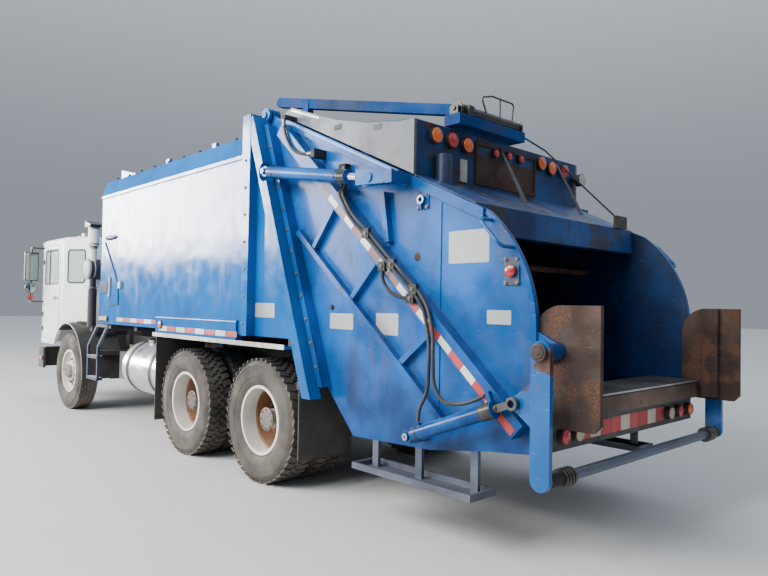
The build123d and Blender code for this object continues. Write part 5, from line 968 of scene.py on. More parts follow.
@dataclass
class GeometryTree(Nodes):
    """A Geometry Nodes tree that lays copies of one item and gives them a finish."""

    name: str
    inputs: dict[str, Kind]

    def __post_init__(self) -> None:
        """Start a group with its named inputs, a seed and a finish."""
        self.tree = bpy.data.node_groups.new(self.name, "GeometryNodeTree")
        face = self.tree.interface
        for way in ("INPUT", "OUTPUT"):
            face.new_socket("Geometry", in_out=way, socket_type="NodeSocketGeometry")
        for label, kind in {**self.inputs, "Seed": Kind.COUNT, "Finish": Kind.MATERIAL}.items():
            face.new_socket(label, in_out="INPUT", socket_type=kind.value)
        self.given = self.tree.nodes.new("NodeGroupInput").outputs
        self.sink = self.tree.nodes.new("NodeGroupOutput")

    def random(self, low: object, high: object) -> Socket:
        """A seeded number between two for each copy."""
        inputs = {2: low, 3: high, "Seed": self.given["Seed"]}
        return self.node("FunctionNodeRandomValue", inputs, data_type="FLOAT").outputs[1]

    def lay(self, points: Socket, item: Socket, **turned: Socket) -> None:
        """End the tree: an item on each point, made real and given its finish.

        Args:
            points: The points.
            item: What stands on each.
            turned: Rotation and Scale of the copies.
        """
        laid = self.node("GeometryNodeInstanceOnPoints", {"Points": points, "Instance": item, **turned})
        real = self.node("GeometryNodeRealizeInstances", {0: laid.outputs[0]})
        inputs = {"Geometry": real.outputs[0], "Material": self.given["Finish"]}
        dressed = self.node("GeometryNodeSetMaterial", inputs)
        self.tree.links.new(dressed.outputs[0], self.sink.inputs[0])

    def bake(self, name: str, carrier: bpy.types.Mesh, sizes: dict[str, object]) -> bpy.types.Mesh:
        """Run the tree on a carrier mesh.

        Args:
            name: Name of the mesh that comes out.
            carrier: The mesh whose points hold the places.
            sizes: Values of the tree's inputs by name.

        Returns:
            A plain mesh with every copy in place.
        """
        keys = {item.name: item.identifier for item in self.tree.interface.items_tree if item.in_out == "INPUT"}

        def modify(holder: bpy.types.Object) -> None:
            """Put the tree on the holder with its sizes.

            Args:
                holder: The object that is evaluated.
            """
            modifier = holder.modifiers.new("copies", "NODES")
            modifier.node_group = self.tree
            for label, value in sizes.items():
                modifier[keys[label]] = value

        return evaluated(carrier, name, modify)


def places_mesh(places: Sequence[Place]) -> bpy.types.Mesh:
    """A mesh of loose points, each with the way it faces in the attribute "facing".

    Args:
        places: Pairs of a point and the way it faces.

    Returns:
        The mesh.
    """
    mesh = bpy.data.meshes.new("places")
    mesh.from_pydata([tuple(p) for p, _ in places], [], [])
    facing = mesh.attributes.new("facing", "FLOAT_VECTOR", "POINT")
    for i, (_, direction) in enumerate(places):
        facing.data[i].vector = direction.normalized()
    return mesh


def bolt_tree() -> GeometryTree:
    """A tree that sets a washer and a hexagon head on each place, turned at random.

    Returns:
        The tree.
    """
    tree = GeometryTree("bolts", {"Radius": Kind.NUMBER, "Height": Kind.NUMBER})
    radius, height = tree.given["Radius"], tree.given["Height"]
    washer_radius, washer_height = tree.math("MULTIPLY", radius, 1.45), tree.math("MULTIPLY", height, 0.5)
    head = tree.node("GeometryNodeMeshCylinder", {"Vertices": 6, "Radius": radius, "Depth": height})
    sizes = {"Vertices": 12, "Radius": washer_radius, "Depth": washer_height}
    washer = tree.node("GeometryNodeMeshCylinder", sizes)
    shift = tree.vector(z=tree.math("MULTIPLY", height, 0.6))
    raised = tree.node("GeometryNodeTransform", {"Geometry": head.outputs[0], "Translation": shift})
    item = tree.node("GeometryNodeJoinGeometry")
    for piece in (washer.outputs[0], raised.outputs[0]):
        tree.tree.links.new(piece, item.inputs[0])
    facing = tree.node("GeometryNodeInputNamedAttribute", {"Name": "facing"}, data_type="FLOAT_VECTOR")
    turned = tree.node("FunctionNodeAlignRotationToVector", {"Vector": facing.outputs[0]}, axis="Z")
    turn = {"Rotation": turned.outputs[0], "Rotate By": tree.vector(z=tree.random(0.0, math.tau))}
    spun = tree.node("FunctionNodeRotateRotation", turn, rotation_space="LOCAL")
    tree.lay(tree.given["Geometry"], item.outputs[0], Rotation=spun.outputs[0])
    return tree


def tread_tree() -> GeometryTree:
    """A tree that wraps slanted lugs round a tyre in a row, with a small seeded difference in length.

    Returns:
        The tree.
    """
    numbers = ("Tyre Radius", "Lug Depth", "Lug Length", "Lug Width", "Row Place", "Slant", "Start Turn")
    kinds = {name: Kind.NUMBER for name in numbers}
    tree = GeometryTree("tread", {**kinds, "Lugs": Kind.COUNT, "Centre": Kind.VECTOR})
    given, combine = tree.given, tree.vector
    points = tree.node("GeometryNodePoints", {"Count": given["Lugs"]}).outputs[0]
    step = tree.math("DIVIDE", tree.node("GeometryNodeInputIndex").outputs[0], given["Lugs"])
    turn = tree.math("MULTIPLY_ADD", step, math.tau, given["Start Turn"])
    half_depth = tree.math("MULTIPLY_ADD", given["Lug Depth"], -0.5, given["Tyre Radius"])
    x, z = (tree.math("MULTIPLY", tree.math(way, turn), half_depth) for way in ("SINE", "COSINE"))
    arm = {0: combine(x, given["Row Place"], z), 1: given["Centre"]}
    spot = tree.node("ShaderNodeVectorMath", arm, operation="ADD").outputs[0]
    laid_points = tree.node("GeometryNodeSetPosition", {"Geometry": points, "Position": spot}).outputs[0]
    size = combine(given["Lug Length"], given["Lug Width"], given["Lug Depth"])
    lug = tree.node("GeometryNodeMeshCube", {"Size": size}).outputs[0]
    slanted = tree.node("GeometryNodeTransform", {"Geometry": lug, "Rotation": combine(z=given["Slant"])})
    scale = combine(tree.random(0.92, 1.06), 1.0, 1.0)
    tree.lay(laid_points, slanted.outputs[0], Rotation=combine(y=turn), Scale=scale)
    return tree


def row_tree() -> GeometryTree:
    """A tree that repeats a turned block along a straight step, a little uneven in length.

    Returns:
        The tree.
    """
    vectors = {name: Kind.VECTOR for name in ("Size", "Start", "Step", "Turn")}
    tree = GeometryTree("row", {**vectors, "Count": Kind.COUNT, "Unevenness": Kind.NUMBER})
    given = tree.given
    ends = {"Count": given["Count"], "Start Location": given["Start"], "Offset": given["Step"]}
    line = tree.node("GeometryNodeMeshLine", ends, mode="OFFSET")
    block = tree.node("GeometryNodeMeshCube", {"Size": given["Size"]})
    low, high = (tree.math(way, 1.0, given["Unevenness"]) for way in ("SUBTRACT", "ADD"))
    scale = tree.vector(tree.random(low, high), 1.0, 1.0)
    turn = tree.node("FunctionNodeEulerToRotation", {0: given["Turn"]}).outputs[0]
    tree.lay(line.outputs[0], block.outputs[0], Rotation=turn, Scale=scale)
    return tree


@dataclass(frozen=True)
class Row:
    """Like blocks set out along a straight step."""

    start: Vector
    step: Point
    count: int
    size: Point
    turn: Point = (0.0, 0.0, 0.0)
    unevenness: float = 0.0


@dataclass
class Fasteners:
    """Bolts and rows of blocks, baked from their Geometry Nodes trees."""

    crew: Crew
    bolts: GeometryTree = field(default_factory=bolt_tree)
    rows: GeometryTree = field(default_factory=row_tree)
    bolt_seed: int = 7

    def bolt(
        self, name: str, body: Body | str, places: Sequence[Place],
        radius: float = 0.011, height: float = 0.009, finish: Finish = BOLT,
    ) -> None:
        """Set bolts on their places.

        Args:
            name: Name of the piece.
            body: The body that carries them.
            places: Pairs of a point and the way the head faces.
            radius: Radius of the hexagon.
            height: Height of the head.
            finish: Its surface.
        """
        material = self.crew.shop.get(finish)
        sizes = {"Radius": radius, "Height": height, "Seed": self.bolt_seed, "Finish": material}
        self.crew.add(name, self.bolts.bake(name, places_mesh(places), sizes), finish, body, smooth=False)

    def row(self, name: str, body: Body, rows: Sequence[Row], finish: Finish) -> None:
        """Set rows of blocks as one piece.

        Args:
            name: Name of the piece.
            body: The body that carries them.
            rows: The rows.
            finish: Their surface.
        """
        meshes = []
        for number, row in enumerate(rows):
            sizes = {
                "Size": row.size, "Start": row.start, "Step": row.step, "Turn": row.turn, "Count": row.count,
                "Seed": number, "Unevenness": row.unevenness, "Finish": self.crew.shop.get(finish),
            }
            meshes.append(self.rows.bake("row", bpy.data.meshes.new("empty"), sizes))
        self.crew.add(name, merged(meshes, name), finish, body, smooth=False)


@dataclass
class Tyres:
    """Tyres with a carved tread: each stands for the CAD tyre or pair at its wheel."""

    crew: Crew
    tread: GeometryTree
    radius: float = WHEEL_RADIUS
    width: float = 0.28
    bead: float = 0.29
    groove: float = 0.014
    dual_gap: float = 0.325
    lugs: int = 44
    rib_fill: float = 0.93
    lug_fill: float = 0.62
    ribs: tuple[tuple[float, float, float, float], ...] = (
        (-0.092, 0.036, 0.0, 0.0), (-0.046, 0.034, 0.0, 0.5), (0.0, 0.034, 0.0, 0.0), (0.046, 0.034, 0.0, 0.5),
        (0.092, 0.036, 0.0, 0.0),
    )
    cross_lugs: tuple[tuple[float, float, float, float], ...] = (
        (-0.082, 0.085, 0.30, 0.0), (0.082, 0.085, -0.30, 0.5), (-0.018, 0.03, 0.2, 0.25), (0.02, 0.03, -0.2, 0.75),
    )

    def build(self) -> None:
        """Make all six wheels' tyres."""
        for axle in AXLES:
            for side, sign in SIDES:
                self.build_wheel(f"{axle}_{side}", sign, axle == "front")

    def carcass(self, shape: Shape, centre: Vector) -> None:
        """Turn one tyre without its lugs, its section given from the bead to the tread.

        Args:
            shape: What the tyre is added to.
            centre: Middle of the tyre on its axle.
        """
        half, bead, top, floor = self.width / 2, self.bead, self.radius, self.radius - self.groove
        side = [
            (half - 0.035, bead), (half - 0.036, bead + 0.014), (half - 0.026, bead + 0.02),
            (half - 0.022, bead + 0.03), (half - 0.012, bead + 0.045), (half - 0.004, bead + 0.075),
            (half - 0.004, bead + 0.079), (half, bead + 0.083), (half, bead + 0.10),
            (half, top - 0.115), (half - 0.003, top - 0.09), (half - 0.007, top - 0.07),
            (half - 0.003, top - 0.066), (half - 0.012, top - 0.045), (half - 0.03, floor - 0.006),
            (half - 0.05, floor),
        ]
        shape.ring(centre, (0, 1, 0), side + [(-t, r) for t, r in reversed(side)], 72)

    def build_wheel(self, wheel: str, sign: int, steered: bool) -> None:
        """Make the tyre or pair of tyres of one wheel.

        Args:
            wheel: Name such as "middle_left".
            sign: 1 on the left, -1 on the right.
            steered: Whether it is a single front tyre.
        """
        low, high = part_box("tyre_" + wheel)
        outer_y = (high.y if sign > 0 else low.y) - sign * self.width / 2
        shape, rows = Shape(), []
        for y in [outer_y] if steered else [outer_y, outer_y - sign * self.dual_gap]:
            centre = Vector(((low.x + high.x) / 2, y, (low.z + high.z) / 2))
            self.carcass(shape, centre)
            rows += self.rows(centre, steered)
        mesh = merged([shape.finished("carcass"), *rows], "tyre")
        piece = self.crew.add(f"tyre_{wheel}_tread", mesh, TREAD, "wheel_" + wheel)
        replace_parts(piece, "tyre_" + wheel)

    def rows(self, centre: Vector, steered: bool) -> list[bpy.types.Mesh]:
        """The rows of lugs round one tyre.

        Args:
            centre: Middle of the tyre on its axle.
            steered: Whether it has ribs, and not cross lugs.

        Returns:
            One mesh for each row.
        """
        table, fill = (self.ribs, self.rib_fill) if steered else (self.cross_lugs, self.lug_fill)
        turn = math.tau / self.lugs
        meshes = []
        for number, (row_place, row_width, slant, start) in enumerate(table):
            sizes = {
                "Tyre Radius": self.radius - 0.002, "Lug Depth": self.groove + 0.004,
                "Lug Length": turn * self.radius * fill, "Lug Width": row_width, "Row Place": row_place,
                "Slant": slant, "Start Turn": start * turn, "Lugs": self.lugs, "Seed": number,
                "Centre": centre, "Finish": self.crew.shop.get(TREAD),
            }
            meshes.append(self.tread.bake("row", bpy.data.meshes.new("empty"), sizes))
        return meshes


@dataclass
class Wheels:
    """Nuts on the discs, grease caps on the hubs and valves on the rims.

    A face is how far the disc stands from the truck's middle, and a hub end how far
    its cap does: first for a front wheel, then for a twin one.
    """

    crew: Crew
    fasteners: Fasteners
    faces: Pair = (1.090, 0.905)
    hub_ends: Pair = (1.150, 1.095)
    nut_circle: float = 0.160
    nuts: int = 10
    stud_circle: float = 0.084
    studs: int = 8
    hub_cap: tuple[Pair, ...] = ((0, 0.102), (0.004, 0.102), (0.008, 0.096), (0.009, 0.066))
    valve_reach: float = 0.235

    def build(self) -> None:
        """Dress every wheel."""
        for row, axle_x in AXLES.items():
            for side, sign in SIDES:
                self.dress(f"{row}_{side}", place(axle_x, 0, WHEEL_RADIUS), sign, row != "front")

    def dress(self, wheel: str, axle: Vector, sign: int, twin: bool) -> None:
        """Dress one wheel.

        Args:
            wheel: Name such as "middle_left".
            axle: Middle of the axle.
            sign: 1 on the left, -1 on the right.
            twin: Whether it is a rear wheel.
        """
        face, hub_end, body = self.faces[twin], self.hub_ends[twin], "wheel_" + wheel
        out = Vector((0, sign, 0))
        nuts = self.round_hub(axle, out, face, self.nut_circle, self.nuts, 0.5)
        self.fasteners.bolt(f"wheel_nuts_{wheel}", body, nuts, 0.017, 0.024)
        hub = Shape()
        hub.lathe(axle + out * (hub_end - 0.004), out, self.hub_cap, 24)
        self.crew.add(f"hub_rim_{wheel}", hub, BOLT, body)
        studs = self.round_hub(axle, out, hub_end + 0.005, self.stud_circle, self.studs, 0.0)
        self.fasteners.bolt(f"hub_studs_{wheel}", body, studs, 0.008, 0.007)
        valve = Shape()
        start = axle + Vector((self.valve_reach, sign * (face + 0.004), 0.0))
        line = [start + out * reach + Vector((bend, 0, 0)) for reach, bend in ((0, 0), (0.03, 0), (0.055, 0.006))]
        valve.pipe(line, 0.005)
        cap_ends = [start + out * reach + Vector((bend, 0, 0)) for reach, bend in ((0.05, 0.005), (0.066, 0.008))]
        valve.rod(*cap_ends, 0.007, 8)
        self.crew.add(f"tyre_valve_{wheel}", valve, FITTING, body)

    def round_hub(
        self, axle: Vector, out: Vector, reach: float, radius: float, count: int, turn: float,
    ) -> list[Place]:
        """Places evenly round an axle, the first one turned by a part of a step, with the way they face."""
        turns = (math.tau * (i + turn) / count for i in range(count))
        return [(axle + out * reach + Vector((math.cos(a) * radius, 0, math.sin(a) * radius)), out) for a in turns]


@dataclass
class CabTrim:
    """Rubber, glass edges, wipers, lamps and seams of the cab."""

    crew: Crew
    front_x: float = 6.340
    rear_x: float = 4.870
    side_y: float = 1.180
    door_x: Pair = (5.450, 6.205)
    door_top: float = 2.350
    window_x: Pair = (5.525, 6.130)
    window_z: Pair = (1.780, 2.290)
    window_bar: Pair = (0.430, 0.452)
    screen_y: Pair = (0.040, 0.950)
    screen_z: Pair = (1.640, 2.290)
    rear_window: tuple[Pair, Pair] = ((-0.492, 1.788), (0.492, 2.242))
    corner_pane: Pair = (0.162, 0.247)
    corner_z: float = 2.030
    corner_low: Pair = (5.270, 1.180)
    corner_high: Pair = (4.870, 0.960)
    rebate: float = 0.012
    gasket: float = 0.020
    gasket_depth: float = 0.006
    hinges_z: Point = (1.10, 1.32, 2.12)
    hinge_half: float = 0.035
    wiper_half: float = 0.26
    headlamp: Point = (6.402, 0.8, 0.65)
    mirror: Point = (6.260, 1.345, 1.720)
    mudguard_radius: float = 0.674
    mudguard_arc: Pair = (186.0, 58.0)
    mudguard_steps: int = 40

    def build(self) -> None:
        """Make the cab's trim."""
        self.door_rubbers()
        self.pane_rubbers()
        self.door_details()
        self.wipers()
        self.front_lamps()
        self.mirror_faces()
        self.mudguard_edges()

    def grown(self, low: Pair, high: Pair, radius: float) -> list[Pair]:
        """Outline of the opening that a pane sits in, a rebate larger than the pane."""
        grow = self.rebate
        return rounded((low[0] - grow, low[1] - grow), (high[0] + grow, high[1] + grow), radius)

    def door_rubbers(self) -> None:
        """Rubber round each door's pane, and the bar across it."""
        (x0, x1), (z0, z1) = self.window_x, self.window_z
        for side, sign in SIDES:
            shape = Shape()
            outline = [place(x, sign * self.side_y, z) for x, z in self.grown((x0, z0), (x1, z1), 0.03)]
            shape.border(outline, self.gasket, Vector((0, sign * self.gasket_depth, 0)))
            bar_low, bar_high = (x0 + reach for reach in self.window_bar)
            shape.blocks((bar_low, 1.150, z0), (bar_high, 1.172, z1), (sign,))
            self.crew.add(f"door_window_rubber_{side}", shape, GASKET, f"door_{side}", bevel=0.0015)

    def pane_rubbers(self) -> None:
        """Rubber round the windscreen's panes, the slanted corner panes and the rear window."""
        shape, depth = Shape(), self.gasket_depth
        (run_x, run_y), (end_x, end_y) = self.corner_low, self.corner_high
        for sign in SIGNS:
            y0, y1 = sorted(sign * y for y in self.screen_y)
            screen = self.grown((y0, self.screen_z[0]), (y1, self.screen_z[1]), 0.05)
            shape.border([place(self.front_x, y, z) for y, z in screen], self.gasket + 0.006, Vector((depth, 0, 0)))
            run = Vector((run_x - end_x, sign * (run_y - end_y), 0)).normalized()
            out = Vector((-run.y, run.x, 0)) * sign
            centre = place((run_x + end_x) / 2, sign * (run_y + end_y) / 2, self.corner_z)
            half_u, half_v = self.corner_pane
            pane = [
                centre + run * u + Vector((0, 0, v)) for u, v in rounded((-half_u, -half_v), (half_u, half_v), 0.05)
            ]
            shape.border(pane, self.gasket, out * depth)
        rear = [place(self.rear_x, y, z) for y, z in rounded(*self.rear_window, 0.05)]
        shape.border(rear, self.gasket, Vector((-depth, 0, 0)))
        self.crew.add("cab_window_rubber", shape, GASKET, bevel=0.0015)

    def door_details(self) -> None:
        """Hinges, lock and handle insert, the seam round the door and a trim strip."""
        (rear, front), top, y = self.door_x, self.door_top, self.side_y
        for side, sign in SIDES:
            shape = Shape()
            for z in self.hinges_z:
                ends = (place(front - 0.012, sign * (y + 0.006), z + way * self.hinge_half) for way in (-1, 1))
                shape.rod(*ends, 0.010, 12)
            shape.discs((rear + 0.235, y, 1.545), [(0, 0.016), (0.006, 0.016), (0.008, 0.012)], 16, (sign,))
            handle = [(rear + x, z) for x, z in ((0.045, 1.562), (0.185, 1.562), (0.185, 1.590), (0.045, 1.590))]
            shape.plates(handle, y + 0.022, 0.004, (sign,))
            self.crew.add(f"door_fittings_{side}", shape, GASKET, f"door_{side}", bevel=0.002)
            seam = Shape()
            line = (
                (rear - 0.003, 1.13), (rear - 0.003, top - 0.03), (rear + 0.02, top + 0.002),
                (front - 0.02, top + 0.002), (front + 0.003, top - 0.03), (front + 0.003, 0.97),
            )
            seam.pipe([place(x, sign * y, z) for x, z in line], 0.0045)
            self.crew.add(f"door_seam_{side}", seam, GASKET)
            strip = Shape()
            strip.blocks((5.72, y, 1.405), (front - 0.05, y + 0.005, 1.425), (sign,))
            self.crew.add(f"door_strip_{side}", strip, WHITE, f"door_{side}", bevel=0.002)

    def wipers(self) -> None:
        """Two wipers parked on the windscreen."""
        shape = Shape()
        along = Vector((0, -0.62, 0.30)).normalized()
        for pivot_y, tip_y in ((0.70, 0.20), (-0.25, -0.75)):
            pivot, tip = place(self.front_x + 0.004, pivot_y, 1.60), place(self.front_x + 0.018, tip_y, 1.83)
            shape.lathe(pivot, (1, 0, 0), [(0, 0.020), (0.014, 0.018), (0.018, 0.010)], 16)
            middle = pivot.lerp(tip, 0.5) + Vector((0.014, 0, 0.01))
            shape.pipe([pivot + Vector((0.012, 0, 0)), middle, tip], 0.006)
            bow = ((-self.wiper_half, -0.010), (0.0, 0.002), (self.wiper_half, -0.010))
            shape.pipe([tip + along * reach + Vector((x, 0, 0)) for reach, x in bow], 0.005)
            half = self.wiper_half + 0.01
            blade = ((-half, -0.017), (half, -0.017), (half, -0.007), (-half, -0.007))
            corners = [tip + along * reach + Vector((x, 0, 0)) for reach, x in blade]
            shape.slab(corners, along.cross(Vector((1, 0, 0))) * 0.004)
        self.crew.add("wipers", shape, GASKET)

    def front_lamps(self) -> None:
        """Headlamps with ribbed lenses, and lenses over the turn signals."""
        bezel, lens, amber = Shape(), Shape(), Shape()
        x, y, z = self.headlamp
        profile = [(0.024, 0.080), (0.028, 0.078)]
        for i in range(8):
            radius = 0.074 - 0.009 * i
            profile += [(0.029 + 0.0007 * i, radius + 0.003), (0.031 + 0.0007 * i, radius)]
        rim = [(0.0, 0.091), (0.034, 0.091), (0.036, 0.086), (0.030, 0.079), (0.0, 0.079)]
        for sign in SIGNS:
            bezel.ring(place(x, sign * y, z), (1, 0, 0), rim, 40)
            lens.lathe(place(x, sign * y, z), (1, 0, 0), profile, 40)
        amber.blocks((6.084, 1.2115, 0.624), (6.196, 1.218, 0.676))
        self.crew.add("headlamp_bezels", bezel, CHROME)
        self.crew.add("headlamp_lenses", lens, CLEAR_LENS)
        self.crew.add("turn_signal_lenses", amber, AMBER, bevel=0.003)

    def mirror_faces(self) -> None:
        """Silvered faces of the mirrors, which look rearwards, and the lamps under them."""
        face, cup, lens = Shape(), Shape(), Shape()
        x, y, z = self.mirror
        bulge = [(0, 0.078), (0.004, 0.072), (0.008, 0.055), (0.011, 0.030), (0.012, 0.004)]
        lens_steps = [
            (0.024, 0.045), (0.030, 0.043), (0.031, 0.032), (0.035, 0.030), (0.036, 0.018), (0.039, 0.004),
        ]
        for sign in SIGNS:
            pane = [place(x - 0.0005, sign * v, w) for v, w in rounded((1.262, 1.842), (1.428, 2.258), 0.02)]
            face.slab(pane, (-0.004, 0, 0))
            face.lathe(place(x + 0.0055, sign * y, z), (-1, 0, 0), bulge, 32)
            lamp = place(x + 0.022, sign * y, z - 0.148)
            cup.lathe(lamp, (-1, 0, 0), [(0, 0.022), (0.010, 0.046), (0.024, 0.048)], 28)
            lens.lathe(lamp, (-1, 0, 0), lens_steps, 28)
        self.crew.add("mirror_faces", face, MIRROR_GLASS)
        self.crew.add("mirror_lamp_cups", cup, GASKET)
        self.crew.add("mirror_lamps", lens, RED)

    def mudguard_edges(self) -> None:
        """Rolled bright edge on each front mudguard."""
        shape, (start, end) = Shape(), self.mudguard_arc
        steps = (i / self.mudguard_steps for i in range(self.mudguard_steps + 1))
        turns = [math.radians(start + (end - start) * share) for share in steps]
        arc = [
            (AXLES["front"] + self.mudguard_radius * math.cos(a), 1.188,
             WHEEL_RADIUS + self.mudguard_radius * math.sin(a)) for a in turns
        ]
        shape.bars(arc, 0.006)
        self.crew.add("mudguard_edges", shape, FITTING)


@dataclass
class BodyTrim:
    """Seams, tape, lamps, vent slots and knobs of the refuse body."""

    crew: Crew
    fasteners: Fasteners
    side_y: float = 1.220
    front_x: float = 3.700
    post_x: float = 0.250
    roof_y: float = 1.165
    seam_z: Point = (1.262, 2.820, 2.828)
    ledge_y: float = 1.2625
    ledge_z: float = 1.3755
    skirt_y: Pair = (1.294, 1.2975)
    skirt_z: Pair = (1.1755, 1.2150)
    tape_pitch: float = 0.40
    tape_length: float = 0.19
    fender_lamp: Point = (1.790, 1.265, 1.300)
    hood: Point = (3.355, 1.220, 2.320)
    hood_scale: Point = (1.1, 0.8, 0.17)
    knobs: int = 9
    post_bolts: int = 7

    def build(self) -> None:
        """Make the body's trim."""
        self.seams()
        self.tape()
        self.fender_edges()
        self.lamps()
        self.vent()
        self.boxes()
        self.bolts()
        self.sticker()

    def seams(self) -> None:
        """Caulked seam under the eave strip, and welds along the front edge and the post."""
        shape, (low, high, eave), y = Shape(), self.seam_z, self.side_y
        front, post = self.front_x, self.post_x
        shape.bars([(post + 0.01, y, eave), (front - 0.01, y, eave)], 0.005)
        shape.bars([(front - 0.012, y, low), (front - 0.012, y, high)], 0.005)
        shape.bars([(post + 0.004, y, low), (post + 0.004, y, high)], 0.006)
        self.crew.add("body_seams", shape, DARK_BLUE)

    def tape(self) -> None:
        """Reflecting tape along the lower edge, in pale and red lengths."""
        red, pale = [], []
        step = (self.tape_pitch, 0.0, 0.0)
        for sign in SIGNS:
            for rows, start in ((red, 2.03), (pale, 2.23)):
                body = place(start, sign * (self.side_y + 0.0008), 1.318)
                fender = place(start - 1.70, sign * 1.2658, 1.262)
                rows.append(Row(body, step, 3, (self.tape_length, 0.0014, 0.045), unevenness=0.02))
                rows.append(Row(fender, step, 4, (self.tape_length, 0.0014, 0.050), unevenness=0.05))
        self.fasteners.row("body_tape_red", Body.TRUCK, red, TAPE_RED)
        self.fasteners.row("body_tape_pale", Body.TRUCK, pale, TAPE_WHITE)

    def fender_edges(self) -> None:
        """Pale steel bar along the ledge's top edge as a painted highlight, and dirty pale edge of the skirt over
        the rear wheels.
        """
        top, skirt, end = Shape(), Shape(), 1.918
        # The pale steel bar on the ledge's top is a painted highlight, where light catches the edge.
        top.bars([(0.262, self.ledge_y, self.ledge_z), (end, self.ledge_y, self.ledge_z)], 0.005)
        skirt.blocks((-0.538, self.skirt_y[0], self.skirt_z[0]), (end, self.skirt_y[1], self.skirt_z[1]))
        self.crew.add("fender_top_highlight", top, PALE_STEEL)
        self.crew.add("fender_skirt_edge", skirt, SKIRT, bevel=0.001)

    def lamps(self) -> None:
        """Corner lamp at the body's front foot, the hood above it and fender lamps over the rear wheels."""
        base, lens, amber, y = Shape(), Shape(), Shape(), self.side_y
        base.plates(rounded((3.39, 1.285), (3.67, 1.355), 0.02), y, 0.012)
        for x0, x1 in ((3.41, 3.53), (3.54, 3.65)):
            lens.plates(rounded((x0, 1.297), (x1, 1.343), 0.012), y + 0.012, 0.012)
        profile = [(0, 0.175), (0.012, 0.172), (0.026, 0.150), (0.036, 0.110), (0.041, 0.060), (0.042, 0.004)]
        for side, sign in SIDES:
            dome = Shape()
            dome.lathe((0, 0, 0), (0, sign, 0), profile, 32)
            spot = place(self.hood[0], sign * self.hood[1], self.hood[2])
            bmesh.ops.scale(dome.mesh, vec=self.hood_scale, verts=dome.mesh.verts)
            bmesh.ops.translate(dome.mesh, vec=spot, verts=dome.mesh.verts)
            self.crew.add(f"side_hood_{side}", dome, DARK_BLUE)
        base.discs(self.fender_lamp, [(0, 0.046), (0.010, 0.046), (0.013, 0.042)], 28)
        steps = [(0.012, 0.038), (0.016, 0.038), (0.020, 0.030), (0.021, 0.026), (0.025, 0.014), (0.026, 0.004)]
        amber.discs(self.fender_lamp, steps, 28)
        self.crew.add("body_lamp_bases", base, GASKET, bevel=0.002)
        self.crew.add("body_lamp_beige", lens, BEIGE, bevel=0.003)
        self.crew.add("body_lamp_amber", amber, AMBER, bevel=0.003)

    def vent(self) -> None:
        """Slots in the vent, and the conduit up to the hood with its branch."""
        y, slot, step = self.side_y, (0.20, 0.006, 0.007), (0.0, 0.0, 0.0195)
        rows = [Row(place(3.505, sign * (y + 0.029), 1.670), step, 6, slot, (0.5 * sign, 0, 0)) for sign in SIGNS]
        self.fasteners.row("vent_slots", Body.TRUCK, rows, DARK_BLUE)
        shape = Shape()
        conduit = ((3.548, 2.27), (3.30, 1.99), (3.10, 1.735), (3.085, 1.60), (3.085, 1.49))
        shape.bars([(x, y + 0.007, z) for x, z in conduit], 0.007)
        shape.bars([(3.085, y + 0.007, 1.50), (3.40, y + 0.007, 1.495)], 0.005)
        self.crew.add("side_conduit", shape, GASKET)

    def boxes(self) -> None:
        """A catch and a small box by the vent, and the vent's plate."""
        pale, plate, y = Shape(), Shape(), self.side_y
        pale.blocks((2.975, y, 1.690), (3.055, y + 0.030, 1.772))
        pale.blocks((3.335, y, 1.595), (3.385, y + 0.020, 1.835))
        self.crew.add("side_boxes", pale, STICKER, bevel=0.003)
        plate.plates(rounded((3.40, 1.655), (3.61, 1.778), 0.01), y + 0.026, 0.0015)
        self.crew.add("vent_plate", plate, GASKET)

    def bolts(self) -> None:
        """Small knobs along the roof's edge, and bolts on the rear post."""
        knobs, bolts = [], []
        for sign in SIGNS:
            for i in range(self.knobs):
                spot = place(0.55 + 0.36 * i, sign * (self.roof_y - 0.035), 3.068)
                knobs.append((spot, Vector((0, sign * 0.45, 1))))
            for i in range(self.post_bolts):
                bolts.append((place(0.185, sign * (self.side_y + 0.024), 1.36 + 0.24 * i), Vector((0, sign, 0))))
        self.fasteners.bolt("roof_edge_knobs", Body.TRUCK, knobs, 0.014, 0.016, DARK_BLUE)
        self.fasteners.bolt("post_bolts", Body.TRUCK, bolts, 0.010, 0.008)

    def sticker(self) -> None:
        """A plain pale sticker on the recessed rear panel."""
        shape = Shape()
        shape.plates(rounded((-0.19, 1.42), (0.115, 1.545), 0.008), 1.160, 0.0012, (1,))
        self.crew.add("body_sticker", shape, STICKER)


LENS_FINISH = {Lens.AMBER: AMBER, Lens.RED: RED, Lens.BEIGE: BEIGE}
Lamp = tuple[float, float, float, Lens]


